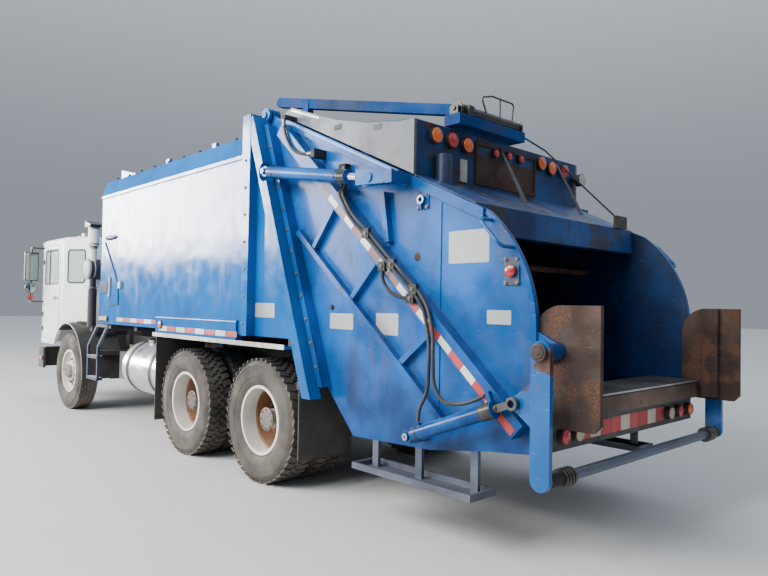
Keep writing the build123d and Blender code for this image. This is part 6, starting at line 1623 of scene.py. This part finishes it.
@dataclass
class TailgateTrim:
    """Lamps, tape, stickers, bolts, strips and fittings of the tailgate.

    A lamp is given as Y, Z, its radius and its lens.
    """

    crew: Crew
    fasteners: Fasteners
    side_y: float = 1.055
    beam_y: float = 1.150
    clamp_y: float = 1.182
    panel_x: float = -1.710
    low_panel_x: float = -2.746
    ring_depth: float = 0.030
    upper: tuple[Lamp, ...] = (
        (0.854, 2.756, 0.052, Lens.AMBER), (0.682, 2.752, 0.052, Lens.RED), (0.512, 2.745, 0.052, Lens.AMBER),
        (0.175, 2.740, 0.027, Lens.RED), (0.006, 2.745, 0.027, Lens.RED), (-0.155, 2.745, 0.027, Lens.RED),
        (-0.456, 2.764, 0.052, Lens.AMBER), (-0.608, 2.745, 0.052, Lens.AMBER), (-0.813, 2.750, 0.052, Lens.RED),
    )
    lower: tuple[Lamp, ...] = (
        (0.825, 0.785, 0.042, Lens.RED), (0.669, 0.785, 0.042, Lens.BEIGE), (-0.609, 0.785, 0.042, Lens.BEIGE),
        (-0.765, 0.785, 0.042, Lens.RED), (-0.940, 0.785, 0.042, Lens.AMBER),
    )
    work_lamp: Pair = (-0.985, 2.690)
    side_lamp: Pair = (-2.550, 1.760)
    beam: tuple[Pair, Pair] = ((-0.80, 2.459), (-2.635, 0.824))
    beam_lengths: int = 19
    faded_lengths: int = 9
    low_lengths: int = 9
    flange_bolts: int = 11
    lift_pin_z: float = 2.665
    boss: Pair = (-1.810, 2.262)
    kick_pin: Pair = (-1.850, 0.690)
    shroud_slope: float = 0.4524
    stickers: tuple[tuple[Pair, Pair], ...] = (
        ((-2.376, 1.82), (-2.046, 2.03)), ((-1.097, 1.353), (-0.814, 1.475)),
        ((-1.585, 1.33), (-1.352, 1.486)), ((-2.546, 1.439), (-2.365, 1.525)),
    )
    hose_ends: tuple[tuple[Point, Point], ...] = (
        ((-0.975, 1.095, 2.590), (-0.982, 1.100, 2.500)), ((-1.004, 1.095, 2.600), (-1.012, 1.100, 2.508)),
        ((-0.690, 1.166, 2.740), (-0.600, 1.166, 2.748)), ((-0.270, 1.166, 3.098), (-0.300, 1.166, 2.960)),
    )
    ferrule: tuple[Pair, ...] = (
        (0, 0.015), (0.018, 0.015), (0.019, 0.0165), (0.024, 0.0165), (0.025, 0.0145), (0.030, 0.0145),
        (0.031, 0.0165), (0.037, 0.0165), (0.038, 0.0145), (0.043, 0.0145), (0.044, 0.0135),
    )
    clamps: tuple[Pair, ...] = (
        (-1.357, 2.057), (-1.624, 1.826), (-1.838, 1.652), (-1.533, 1.815), (-1.815, 1.592),
    )

    def build(self) -> None:
        """Make the tailgate's trim."""
        self.lenses()
        self.side_lamps()
        self.panels()
        self.beam_tape()
        self.low_tape()
        self.blank_stickers()
        self.shroud_details()
        self.bolts()
        self.hose_fittings()
        self.wear_strips()

    def add(self, name: str, shape: Shape, finish: Finish, bevel: float = 0.0) -> None:
        """Ride a piece on the tailgate."""
        self.crew.add(name, shape, finish, Body.TAILGATE, bevel)

    def lenses(self) -> None:
        """Domed ribbed lenses over the rear lamps, and the work lamp's glass."""
        shapes = {lens: Shape() for lens in Lens}
        for panel, lamps in ((self.panel_x, self.upper), (self.low_panel_x, self.lower)):
            for y, z, radius, lens in lamps:
                rim = radius + 0.0012
                profile = [(0, rim), (0.0052, rim), (0.007, rim * 0.96)]
                for i in range(5):
                    r = rim * (0.86 - 0.16 * i)
                    profile += [(0.0085 + 0.0012 * i, r + 0.0022), (0.0098 + 0.0012 * i, r)]
                profile.append((0.0165, 0.002))
                shapes[lens].lathe(place(panel - self.ring_depth - 0.004, y, z), (-1, 0, 0), profile, 32)
        for lens, shape in shapes.items():
            self.add(f"tail_lenses_{lens.value}", shape, LENS_FINISH[lens])
        glass, spot = Shape(), place(self.panel_x - 0.099, *self.work_lamp)
        glass.lathe(
            spot, (-1, 0, 0), [(0, 0.050), (0.003, 0.050), (0.006, 0.040), (0.008, 0.020), (0.009, 0.003)], 32,
        )
        self.add("work_lamp_glass", glass, CLEAR_LENS)

    def side_lamps(self) -> None:
        """Red side lamp on its dark plate on each side."""
        lens, plate, (x, z) = Shape(), Shape(), self.side_lamp
        steps = [(0, 0.0375), (0.004, 0.037), (0.008, 0.030), (0.0095, 0.030), (0.012, 0.020), (0.014, 0.004)]
        lens.discs((x, 1.080, z), steps, 32)
        plate.plates(rounded((x - 0.054, z - 0.084), (x + 0.054, z + 0.084), 0.012), 1.061, 0.0025)
        self.add("side_lamp_lenses", lens, RED)
        self.add("side_lamp_plates", plate, DARK_BLUE)

    def panels(self) -> None:
        """Rusty recess in the middle of the lamp panel, and the worn strip beside it."""
        recess, strip, x = Shape(), Shape(), self.panel_x
        recess.box(place(x - 0.002, -0.371, 2.499), place(x, 0.371, 2.702))
        self.add("lamp_panel_recess", recess, RUSTY)
        strip.box(place(x - 0.0085, 0.492, 2.472), place(x - 0.006, 0.568, 2.638))
        self.add("lamp_panel_strip", strip, PALE_STEEL, bevel=0.001)

    def beam_tape(self) -> None:
        """Red and white tape down the face of the slanted beam, faded above."""
        start, end = (Vector(point) for point in self.beam)
        run = end - start
        size = (run.length / self.beam_lengths * 0.97, 0.0014, 0.048)
        turn = (0, math.atan2(-run.y, run.x), 0)
        faded, red, white = [], [], []
        for sign in SIGNS:
            for i in range(self.beam_lengths):
                middle = start + run * (i + 0.5) / self.beam_lengths
                kind = white if i % 2 else (faded if i < self.faded_lengths else red)
                spot = place(middle.x, sign * (self.beam_y + 0.0008), middle.y)
                kind.append(Row(spot, (0, 0, 0.001), 1, size, turn, 0.03))
        for name, rows, finish in (
            ("faded", faded, TAPE_FADED), ("red", red, TAPE_RED), ("white", white, TAPE_WHITE),
        ):
            self.fasteners.row(f"beam_tape_{name}", Body.TAILGATE, rows, finish)

    def low_tape(self) -> None:
        """Red, cream and red tape across the low panel, between its lamps."""
        red, pale = [], []
        for i in range(self.low_lengths):
            spot = place(self.low_panel_x - 0.0008, 0.555 - i * 0.13, 0.785)
            kind = red if i % 3 != 1 else pale
            kind.append(Row(spot, (0, 0, 0.001), 1, (0.0014, 0.126, 0.10)))
        self.fasteners.row("low_tape_red", Body.TAILGATE, red, TAPE_RED)
        self.fasteners.row("low_tape_pale", Body.TAILGATE, pale, BEIGE)

    def blank_stickers(self) -> None:
        """Plain stickers on the side, with nothing on them, and two plugs."""
        pale, dark = Shape(), Shape()
        for low, high in self.stickers:
            pale.plates(rounded(low, high, 0.008), self.side_y, 0.0014)
        self.add("side_stickers", pale, STICKER)
        dark.discs((-1.761, self.side_y, 1.876), [(0, 0.030), (0.002, 0.028), (0.003, 0.010)], 20)
        dark.discs((-0.841, self.side_y, 1.523), [(0, 0.018), (0.016, 0.018), (0.020, 0.012)], 20)
        self.add("side_plugs", dark, RUSTY)

    def shroud_details(self) -> None:
        """Light strip along the sloped channel, and two dark openings and a bright edge on each shroud."""
        strip, dark, bright, y = Shape(), Shape(), Shape(), self.side_y
        (rear, front), drop, height = (-1.70, -0.185), 0.010, 0.022
        edge = [(x, 3.160 + (x + 0.120) * self.shroud_slope - drop) for x in (front, rear)]
        outline = [(x, z - height) for x, z in edge] + edge[::-1]
        strip.plates(outline, y + 0.025, 0.003)
        self.add("flange_strip", strip, LIGHT_BLUE, bevel=0.001)
        for x, z in ((-0.867, 2.939), (-1.336, 2.851)):
            dark.plates(rounded((x - 0.045, z - 0.022), (x + 0.045, z + 0.022), 0.006), y, 0.002)
        self.add("shroud_slots", dark, GASKET)
        bright.plates([(-0.225, 3.215), (-0.62, 3.069), (-0.62, 3.049), (-0.225, 3.193)], y, 0.0025)
        self.add("shroud_bright_edge", bright, PALE_STEEL)

    def bolts(self) -> None:
        """Bolts at the joint flange, the ear, the boss and the side lamp, and bright rings on two pins."""
        heights = [1.05 + 0.185 * i for i in range(self.flange_bolts)]
        flange = [
            (-0.100 + (z - 2.680) * 0.385 - 0.038, 1.150, z) for z in heights if abs(z - self.lift_pin_z) > 0.12
        ]
        ear = [(x, self.side_y, z) for x, z in ((-1.992, 2.249), (-2.071, 2.208), (-2.139, 2.195), (-2.197, 2.170))]
        feet = ((-0.040, -0.050), (0.040, -0.050), (-0.040, 0.040), (0.040, 0.040))
        boss = [(self.boss[0] + u, 1.063, self.boss[1] + v) for u, v in feet]
        feet = ((-0.042, -0.070), (0.042, -0.070), (-0.042, 0.070), (0.042, 0.070))
        lamp = [(self.side_lamp[0] + u, 1.0635, self.side_lamp[1] + v) for u, v in feet]
        spots = flange + ear + boss + lamp
        places = [(place(x, sign * y, z), Vector((0, sign, 0))) for sign in SIGNS for x, y, z in spots]
        self.fasteners.bolt("tailgate_bolts", Body.TAILGATE, places)
        rings = Shape()
        for sign in SIGNS:
            out = (0, sign, 0)
            rings.hoop(place(self.boss[0], sign * 1.088, self.boss[1]), out, (0, 0.003), (0.019, 0.031))
            rings.hoop(place(self.kick_pin[0], sign * 1.238, self.kick_pin[1]), out, (0, 0.004), (0.010, 0.023), 24)
        self.add("bright_rings", rings, PALE_STEEL)

    def hose_fittings(self) -> None:
        """Crimped ferrules and nuts at the hoses' upper ends, and bolts on their clamps."""
        shape = Shape()
        for sign in SIGNS:
            for start, end in self.hose_ends:
                a, b = (place(x, sign * y, z) for x, y, z in (start, end))
                along = (b - a).normalized()
                shape.lathe(a + along * 0.02, along, self.ferrule, 18)
                shape.lathe(a + along * 0.004, along, [(0, 0.017), (0.016, 0.017)], 6)
        self.add("hose_fittings", shape, FITTING)
        bolts = [(place(x, sign * self.clamp_y, z), Vector((0, sign, 0))) for sign in SIGNS for x, z in self.clamps]
        self.fasteners.bolt("clamp_bolts", Body.TAILGATE, bolts, 0.010, 0.008)

    def wear_strips(self) -> None:
        """Worn bright edge and scraped face of the loading sill, and the guides' worn edges."""
        sill, face, edges, half = Shape(), Shape(), Shape(), 0.985
        sill.pipe([place(-2.812, half, 1.003), place(-2.812, -half, 1.003)], 0.006)
        self.add("sill_edge", sill, PALE_STEEL)
        face.box(place(-2.8225, -half, 0.884), place(-2.8200, half, 0.988))
        self.add("sill_face", face, SILL_RUST)
        edges.bars([(-3.104, 1.004, 0.90), (-3.104, 1.004, 1.53)], 0.004)
        self.add("guide_edges", edges, PALE_STEEL)


@dataclass
class CylinderTrim:
    """Glands and weld bands of the tailgate's and the kick bar's cylinders.

    A band is given as its start, end and radius, from the barrel's fixed pin.
    """

    crew: Crew
    lift_pin: Point = (-0.110, 1.220, 2.665)
    lift_eye: Point = (-1.480, 1.220, 2.430)
    lift_bands: tuple[Point, ...] = ((1.020, 1.108, 0.0545), (0.985, 1.000, 0.0525), (0.135, 0.150, 0.0525))
    kick_pin: Point = (-1.850, 1.207, 0.690)
    kick_eye: Point = (-2.670, 1.207, 1.000)
    kick_bands: tuple[Point, ...] = ((0.660, 0.742, 0.0515), (0.640, 0.650, 0.0495), (0.100, 0.112, 0.0495))
    chamfer: float = 0.003

    def build(self) -> None:
        """Dress both pairs of cylinders."""
        self.bands("lift", self.lift_pin, self.lift_eye, Body.LIFT_BARRELS, self.lift_bands)
        self.bands("kick", self.kick_pin, self.kick_eye, Body.KICK_BARRELS, self.kick_bands)

    def bands(self, name: str, pin: Point, eye: Point, body: Body, table: Sequence[Point]) -> None:
        """Turn the gland and two weld bands round each barrel of a pair.

        Args:
            name: Which pair.
            pin: The fixed pin on the left.
            eye: The rod's eye on the left.
            body: The body that carries the barrels.
            table: The bands.
        """
        shape, cut = Shape(), self.chamfer
        for sign in SIGNS:
            start, end = (place(x, sign * y, z) for x, y, z in (pin, eye))
            along = (end - start).normalized()
            for low, high, radius in table:
                length = high - low
                profile = [(0, radius - cut), (cut, radius), (length - cut, radius), (length, radius - cut)]
                shape.lathe(start + along * low, along, profile, 32)
        self.crew.add(f"{name}_glands", shape, GREASE, body)


@dataclass
class KickBarTrim:
    """Ribbed rubber ends of the kick bar, and caps and discs on its pivots."""

    crew: Crew
    fasteners: Fasteners
    bar_end: Point = (-2.880, 0.985, 0.600)
    bar_radius: float = 0.032
    ribs: int = 15
    rib_pitch: float = 0.012
    pivot: Point = (-2.857, 1.2335, 1.304)
    disc: tuple[Pair, ...] = (
        (0, 0.050), (0.006, 0.050), (0.008, 0.046), (0.008, 0.036), (0.012, 0.034), (0.012, 0.020),
        (0.014, 0.018), (0.015, 0.004),
    )

    def build(self) -> None:
        """Make the kick bar's trim."""
        ribs, caps = Shape(), Shape()
        profile, low, high = [], self.bar_radius + 0.003, self.bar_radius + 0.0075
        for i in range(self.ribs):
            t = self.rib_pitch * i
            profile += [(t, low), (t + 0.004, high), (t + 0.008, low)]
        ribs.discs(self.bar_end, profile, 24)
        self.crew.add("kick_bar_ribs", ribs, GASKET, Body.KICK_BAR)
        x, y, z = self.pivot
        places = [(place(x, sign * y, z), Vector((0, sign, 0))) for sign in SIGNS]
        self.fasteners.bolt("pivot_caps", Body.TAILGATE, places, 0.018, 0.010, RUSTY)
        caps.discs(self.pivot, self.disc, 32)
        self.crew.add("pivot_discs", caps, RUSTY, Body.TAILGATE)


@dataclass
class ChassisTrim:
    """Tank straps and cap, bands on the air cleaner and its stack, and ladder treads."""

    crew: Crew
    fasteners: Fasteners
    tank_x: Pair = (2.120, 3.120)
    tank_y: float = 0.840
    tank_z: float = 0.740
    tank_radius: float = 0.310
    strap_inset: float = 0.190
    cleaner: Pair = (4.690, 1.980)
    stack: Pair = (4.640, 0.990)
    rungs: Pair = (0.538, 0.818)
    tread_bars: int = 5
    tread_steps: int = 11

    def build(self) -> None:
        """Make the chassis trim."""
        self.tank()
        self.air_intake()
        rows = [
            Row(place(3.905, 1.098 + 0.016 * i, z + 0.0015), (0.034, 0, 0), self.tread_steps,
                (0.026, 0.009, 0.003), (0, 0, 0.35), 0.05)
            for z in self.rungs for i in range(self.tread_bars)
        ]
        self.fasteners.row("ladder_treads", Body.TRUCK, rows, PALE_STEEL)

    def tank(self) -> None:
        """Two straps round the fuel tank, and its cap."""
        straps, cap, radius = Shape(), Shape(), self.tank_radius
        for x in (self.tank_x[0] + self.strap_inset, self.tank_x[1] - self.strap_inset):
            middle = place(x, self.tank_y, self.tank_z)
            straps.hoop(middle, (1, 0, 0), (-0.031, 0.031), (radius + 0.0055, radius + 0.009), 64)
        self.crew.add("tank_straps", straps, GASKET, bevel=0.0012)
        start = place(self.tank_x[1] - 0.330, self.tank_y + 0.060, self.tank_z + radius + 0.030)
        steps = [(0, 0.055), (0.012, 0.055), (0.016, 0.050), (0.017, 0.030), (0.020, 0.028), (0.021, 0.004)]
        cap.lathe(start, (0, 0, 1), steps, 24)
        self.crew.add("tank_cap", cap, GASKET)

    def air_intake(self) -> None:
        """Bands and end cap of the air cleaner, and clamps and bright sleeves on its stack."""
        drum, clamps, sleeve = Shape(), Shape(), Shape()
        (x, z), up = self.cleaner, (0, 0, 1)
        for y in (0.775, 0.985, 1.045):
            band = [(-0.008, 0.1445), (-0.006, 0.149), (0.006, 0.149), (0.008, 0.1445)]
            drum.ring(place(x, y, z), (0, 1, 0), band, 48)
        end = [(0, 0.120), (0.008, 0.116), (0.013, 0.090), (0.013, 0.030), (0.018, 0.026), (0.022, 0.004)]
        drum.discs((x, 1.058, z), end, 32, (1,))
        self.crew.add("cleaner_bands", drum, STICKER)
        for z, half, radius in (
            (1.72, 0.010, 0.063), (2.28, 0.010, 0.063), (2.33, 0.012, 0.076), (2.55, 0.012, 0.076),
        ):
            clamps.hoop(place(*self.stack, z), up, (-half, half), (0.0445, radius))
        self.crew.add("intake_clamps", clamps, FITTING)
        sleeve.hoop(place(*self.stack, 2.302), up, (0, 0.262), (0.071, 0.0745), 40)
        sleeve.hoop(place(*self.stack, 2.000), up, (0, 0.270), (0.044, 0.0470))
        self.crew.add("stack_sleeve", sleeve, FRONT_RIM)


@dataclass
class Dash:
    """Instrument hood with dials, and a gear lever."""

    crew: Crew
    hood_low: Pair = (6.045, 1.600)
    hood_size: Pair = (0.185, 0.115)
    hood_rings: tuple[Pair, ...] = ((0.46, 0.86), (0.50, 1.0), (0.86, 1.0), (0.90, 0.86))
    dials: tuple[Pair, ...] = ((0.58, 0.042), (0.68, 0.030), (0.78, 0.042))
    dial_z: float = 1.660
    lever: tuple[Point, ...] = ((5.62, 0.30, 1.55), (5.64, 0.31, 1.72), (5.63, 0.32, 1.86))
    knob: Point = (5.63, 0.32, 1.85)

    def build(self) -> None:
        """Make what the driver looks at."""
        hood, dials, lever = Shape(), Shape(), Shape()
        (x0, z0), (length, height) = self.hood_low, self.hood_size
        outlines = [(y, rounded((x0, z0), (x0 + length, z0 + height * grow), 0.03)) for y, grow in self.hood_rings]
        hood.loft([[place(x, y, z) for x, z in outline] for y, outline in outlines])
        self.crew.add("instrument_hood", hood, DASH)
        for y, radius in self.dials:
            dials.hoop(place(x0 - 0.001, y, self.dial_z), (-1, 0, 0), (0, 0.006), (radius - 0.006, radius))
            tip = place(x0 - 0.004, y + radius * 0.6, self.dial_z + radius * 0.4)
            dials.rod(place(x0 - 0.002, y, self.dial_z), tip, 0.0012, 6)
        self.crew.add("dial_rings", dials, CHROME)
        lever.pipe([place(*point) for point in self.lever], 0.009, 10)
        knob = [(0, 0.012), (0.010, 0.024), (0.030, 0.028), (0.048, 0.022), (0.056, 0.006)]
        lever.lathe(place(*self.knob), (0, 0, 1), knob, 20)
        self.crew.add("gear_lever", lever, GASKET)


@dataclass
class Seats:
    """Two padded seats: cushions and backs with sewn channels, on their boxes."""

    crew: Crew
    seat_x: Pair = (5.140, 5.600)
    back_x: Pair = (5.090, 5.220)
    half_width: float = 0.240
    seat_y: float = 0.680
    low_z: float = 1.540
    cushion: float = 0.140
    back: float = 0.500
    floor_z: float = 1.280
    box_x: Pair = (5.200, 5.540)
    box_half: float = 0.16
    tray: float = 0.05
    corner: float = 0.03
    cushion_channels: int = 3
    back_channels: int = 4
    fill: float = 0.8
    shrink: float = 0.014
    voxel: float = 0.009
    cap: float = 0.013
    frames: int = 20
    seam_width: float = 0.007
    seam_depth: float = 0.008
    border: Pair = (0.12, 0.88)
    channel_ends: Pair = (0.06, 0.94)

    def build(self) -> None:
        """Make both seats."""
        top_z = self.low_z + self.cushion
        (x0, x1), (b0, b1) = self.seat_x, self.back_x
        for side, sign in SIDES:
            y0, y1 = sorted((sign * (self.seat_y - self.half_width), sign * (self.seat_y + self.half_width)))
            pads = (
                (f"seat_cushion_{side}", place(x0, y0, self.low_z), place(x1, y1, top_z), 2, self.cushion_channels),
                (
                    f"seat_back_{side}", place(b0, y0, top_z), place(b1, y1, top_z + self.back), 0,
                    self.back_channels,
                ),
            )
            pieces = [self.pad(*given) for given in pads]
            for piece in pieces:
                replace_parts(piece, "seats")
        box = Shape()
        for sign in SIGNS:
            y0, y1 = sorted((sign * (self.seat_y - self.box_half), sign * (self.seat_y + self.box_half)))
            base, (c0, c1), corner, tray = self.low_z - 0.03, self.box_x, self.corner, self.tray
            box.loft([
                [place(x, y, self.floor_z) for x, y in rounded((c0, y0), (c1, y1), corner)],
                [place(x, y, base) for x, y in rounded((c0 + 0.005, y0 + 0.005), (c1 - 0.005, y1 - 0.005), corner)],
            ])
            outline = rounded((x0 + 0.03, y0 - tray), (x1 - 0.03, y1 + tray), corner)
            box.loft([[place(x, y, z) for x, y in outline] for z in (base, self.low_z + 0.012)])
        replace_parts(self.crew.add("seat_boxes", box, GASKET, bevel=0.004), "seats")

    def pad(self, name: str, low: Vector, high: Vector, face_axis: int, channels: int) -> bpy.types.Object:
        """Swell a closed form by cloth under pressure, then sew its channels.

        Args:
            name: Name of the piece.
            low: Low corner of the space it fills.
            high: High corner of that space.
            face_axis: The axis that its padded face looks along.
            channels: Sewn lines across it.

        Returns:
            The padded piece.
        """
        shape = Shape()
        inset = Vector((self.shrink,) * 3)
        shape.box(low + inset, high - inset)
        edges = list(shape.mesh.edges)
        bmesh.ops.bevel(shape.mesh, geom=edges, offset=0.028, segments=4, affect="EDGES", profile=0.5)
        mesh = evaluated(shape.finished(name), name, self.remesh)
        before = [v.co.copy() for v in mesh.vertices]
        mesh = evaluated(mesh, name, self.inflate)
        bpy.context.scene.frame_set(1)
        for vertex, start in zip(mesh.vertices, before):
            travel = vertex.co - start
            if travel.length > self.cap:
                vertex.co = start + travel.normalized() * self.cap
        self.sew(mesh, low, high, face_axis, channels)
        self.keep_inside(mesh, low, high)
        return self.crew.add(name, evaluated(mesh, name, self.subdivide), VINYL)

    def remesh(self, piece: bpy.types.Object) -> None:
        """Even voxels over the piece.

        Args:
            piece: The closed form.
        """
        remesh = piece.modifiers.new("voxels", "REMESH")
        remesh.mode = "VOXEL"
        remesh.voxel_size = self.voxel

    def subdivide(self, piece: bpy.types.Object) -> None:
        """One level of subdivision."""
        smooth = piece.modifiers.new("smooth", "SUBSURF")
        smooth.levels = smooth.render_levels = 1

    def inflate(self, piece: bpy.types.Object) -> None:
        """Run cloth with air pressure and no gravity up to the last frame.

        Args:
            piece: The closed form.
        """
        cloth = piece.modifiers.new("air", "CLOTH")
        settings = {
            "quality": 4, "mass": 0.3, "tension_stiffness": 25, "compression_stiffness": 25,
            "shear_stiffness": 12, "use_pressure": True, "uniform_pressure_force": 4.0,
        }
        for name, value in settings.items():
            setattr(cloth.settings, name, value)
        cloth.settings.effector_weights.gravity = 0.0
        cloth.point_cache.frame_start = 1
        cloth.point_cache.frame_end = self.frames
        for number in range(1, self.frames + 1):
            bpy.context.scene.frame_set(number)

    def sew(self, mesh: bpy.types.Mesh, low: Vector, high: Vector, face_axis: int, channels: int) -> None:
        """Press the sewn channels and the border seams into the padded face.

        Args:
            mesh: The swollen pad.
            low: Low corner of its space.
            high: High corner of its space.
            face_axis: The axis its face looks along.
            channels: Sewn lines across it.
        """
        length_axis = 0 if face_axis == 2 else 2
        size = high - low
        lines = [i / (channels + 1) for i in range(1, channels + 1)]
        for vertex in mesh.vertices:
            u = (vertex.co[length_axis] - low[length_axis]) / size[length_axis]
            v = (vertex.co.y - low.y) / size.y
            w = (vertex.co[face_axis] - low[face_axis]) / size[face_axis]
            gaps = [(v - edge) * size.y for edge in self.border]
            if self.border[0] < v < self.border[1] and self.channel_ends[0] < u < self.channel_ends[1]:
                gaps += [(u - line) * size[length_axis] for line in lines]
            dip = max(math.exp(-(gap / self.seam_width) ** 2) for gap in gaps)
            near = max(0.0, min(1.0, (w - 0.55) / 0.25))
            vertex.co[face_axis] -= near * dip * self.seam_depth

    def keep_inside(self, mesh: bpy.types.Mesh, low: Vector, high: Vector) -> None:
        """Flatten what swelled past the space.

        Args:
            mesh: The pad.
            low: Low corner of its space.
            high: High corner of its space.
        """
        for vertex in mesh.vertices:
            for axis in range(3):
                vertex.co[axis] = min(max(vertex.co[axis], low[axis] - 0.004), high[axis] + 0.006)


@dataclass
class Studio:
    """Floor, soft light and the camera at the photograph's view."""

    camera_place: Point = (-4.8946, 4.2756, 1.5423)
    yaw: float = 0.7490
    pitch: float = 0.0264
    roll: float = 0.0173
    focal_pixels: float = 657.9987
    photo_width: float = 768.0
    sensor: float = 36.0
    floor_half: float = 60.0
    lamp_color: Color = (1.0, 0.985, 0.96)
    sky_color: Color = (0.80, 0.88, 1.0)
    sky_rise: dict[str, float] = field(
        default_factory=lambda: {"From Min": 0.12, "From Max": 0.75, "To Min": 0.36, "To Max": 1.05}
    )

    def build(self) -> None:
        """Set the stage."""
        floor = self.floor()
        self.sky()
        self.lamps(floor)
        self.camera()

    def floor(self) -> bpy.types.Object:
        """A wide pale floor with a faint grain.

        Returns:
            The floor.
        """
        shape, half = Shape(), self.floor_half
        shape.box((-half, -half, -0.05), (half, half, 0.0))
        mesh = shape.finished("studio_floor")
        material = bpy.data.materials.new("studio_floor")
        s = Shader(material)
        color = s.mix(s.noise(2.0, 6), (0.56, 0.56, 0.55), (0.62, 0.62, 0.61))
        bsdf = s.node("ShaderNodeBsdfPrincipled", {"Base Color": color, "Roughness": 0.85})
        s.node("ShaderNodeOutputMaterial", {"Surface": bsdf.outputs[0]})
        mesh.materials.append(material)
        floor = bpy.data.objects.new("studio_floor", mesh)
        bpy.context.scene.collection.objects.link(floor)
        return floor

    def sky(self) -> None:
        """A soft sky that is dimmer towards the horizon."""
        world = bpy.data.worlds.new("studio_sky")
        bpy.context.scene.world = world
        world.use_nodes = True
        tree = world.node_tree
        background = tree.nodes["Background"]
        background.inputs["Color"].default_value = (*self.sky_color, 1.0)
        direction = tree.nodes.new("ShaderNodeSeparateXYZ")
        tree.links.new(tree.nodes.new("ShaderNodeTexCoord").outputs["Generated"], direction.inputs[0])
        rise = tree.nodes.new("ShaderNodeMapRange")
        rise.interpolation_type = "SMOOTHSTEP"
        for socket, value in self.sky_rise.items():
            rise.inputs[socket].default_value = value
        tree.links.new(direction.outputs[2], rise.inputs["Value"])
        tree.links.new(rise.outputs[0], background.inputs["Strength"])

    def lamps(self, floor: bpy.types.Object) -> None:
        """Two soft boxes that the paint mirrors and the floor is spared, one for sheen and a key light.

        Args:
            floor: The studio's floor.
        """
        spared = bpy.data.collections.new("floor_out_of_mirrored_light")
        spared.objects.link(floor)
        spared.collection_objects[0].light_linking.link_state = "EXCLUDE"
        table = (
            ("mirrored_box", (33.0, 7.7), (24.0, 6.0), 30000.0), ("haze_box", (33.0, 4.3), (24.0, 0.8), 1300.0),
            ("sheen_box", (14.0, 6.5), (12.0, 7.0), 1500.0),
        )
        for name, (x, z), size, power in table:
            box = self.soft_box(name, place(x, 15.0, z), place(x, 0.0, z), size, power)
            if name != "sheen_box":
                box.light_linking.receiver_collection = spared
        self.soft_box("key_box", Vector((1.0, 13.0, 10.0)), Vector((0.5, 0.0, 1.0)), (13.0, 7.0), 5200.0)

    def soft_box(self, name: str, spot: Vector, target: Vector, size: Pair, power: float) -> bpy.types.Object:
        """A rectangular lamp that faces a point.

        Args:
            name: Its name.
            spot: Where it hangs.
            target: The point it faces.
            size: Its width and height.
            power: Watts.

        Returns:
            The lamp's object.
        """
        lamp = bpy.data.lights.new(name, "AREA")
        lamp.shape = "RECTANGLE"
        lamp.size, lamp.size_y = size
        lamp.energy = power
        lamp.color = self.lamp_color
        box = bpy.data.objects.new(name, lamp)
        aim = (spot - target).to_track_quat("Z", "Y").to_matrix().to_4x4()
        box.matrix_world = Matrix.Translation(spot) @ aim
        bpy.context.scene.collection.objects.link(box)
        return box

    def camera(self) -> None:
        """Place the camera where the photograph was taken from."""
        lens = bpy.data.cameras.new("photo_view")
        lens.sensor_width = self.sensor
        lens.lens = self.focal_pixels / self.photo_width * self.sensor
        lens.clip_end = 200.0
        level = Vector((math.cos(self.yaw), -math.sin(self.yaw), 0.0))
        forward = math.cos(self.pitch) * level + math.sin(self.pitch) * Vector((0, 0, 1))
        right = Vector((-math.sin(self.yaw), -math.cos(self.yaw), 0.0))
        up = right.cross(forward)
        turned_right = math.cos(self.roll) * right + math.sin(self.roll) * up
        turned_up = math.cos(self.roll) * up - math.sin(self.roll) * right
        basis = Matrix((turned_right, turned_up, -forward)).transposed().to_4x4()
        camera = bpy.data.objects.new("photo_view", lens)
        camera.matrix_world = Matrix.Translation(place(*self.camera_place)) @ basis
        bpy.context.scene.collection.objects.link(camera)
        bpy.context.scene.camera = camera


def main() -> None:
    """Build the classes in order and report each piece."""
    logging.basicConfig(level=logging.INFO, format="%(message)s", stream=sys.stdout)
    shop = PaintShop()
    crew = Crew(shop)
    shop.dress_frame()
    fasteners = Fasteners(crew)
    Studio().build()
    Tyres(crew, tread_tree()).build()
    Wheels(crew, fasteners).build()
    CabTrim(crew).build()
    Dash(crew).build()
    Seats(crew).build()
    BodyTrim(crew, fasteners).build()
    ChassisTrim(crew, fasteners).build()
    TailgateTrim(crew, fasteners).build()
    CylinderTrim(crew).build()
    KickBarTrim(crew, fasteners).build()


if __name__ == "__main__":
    main()
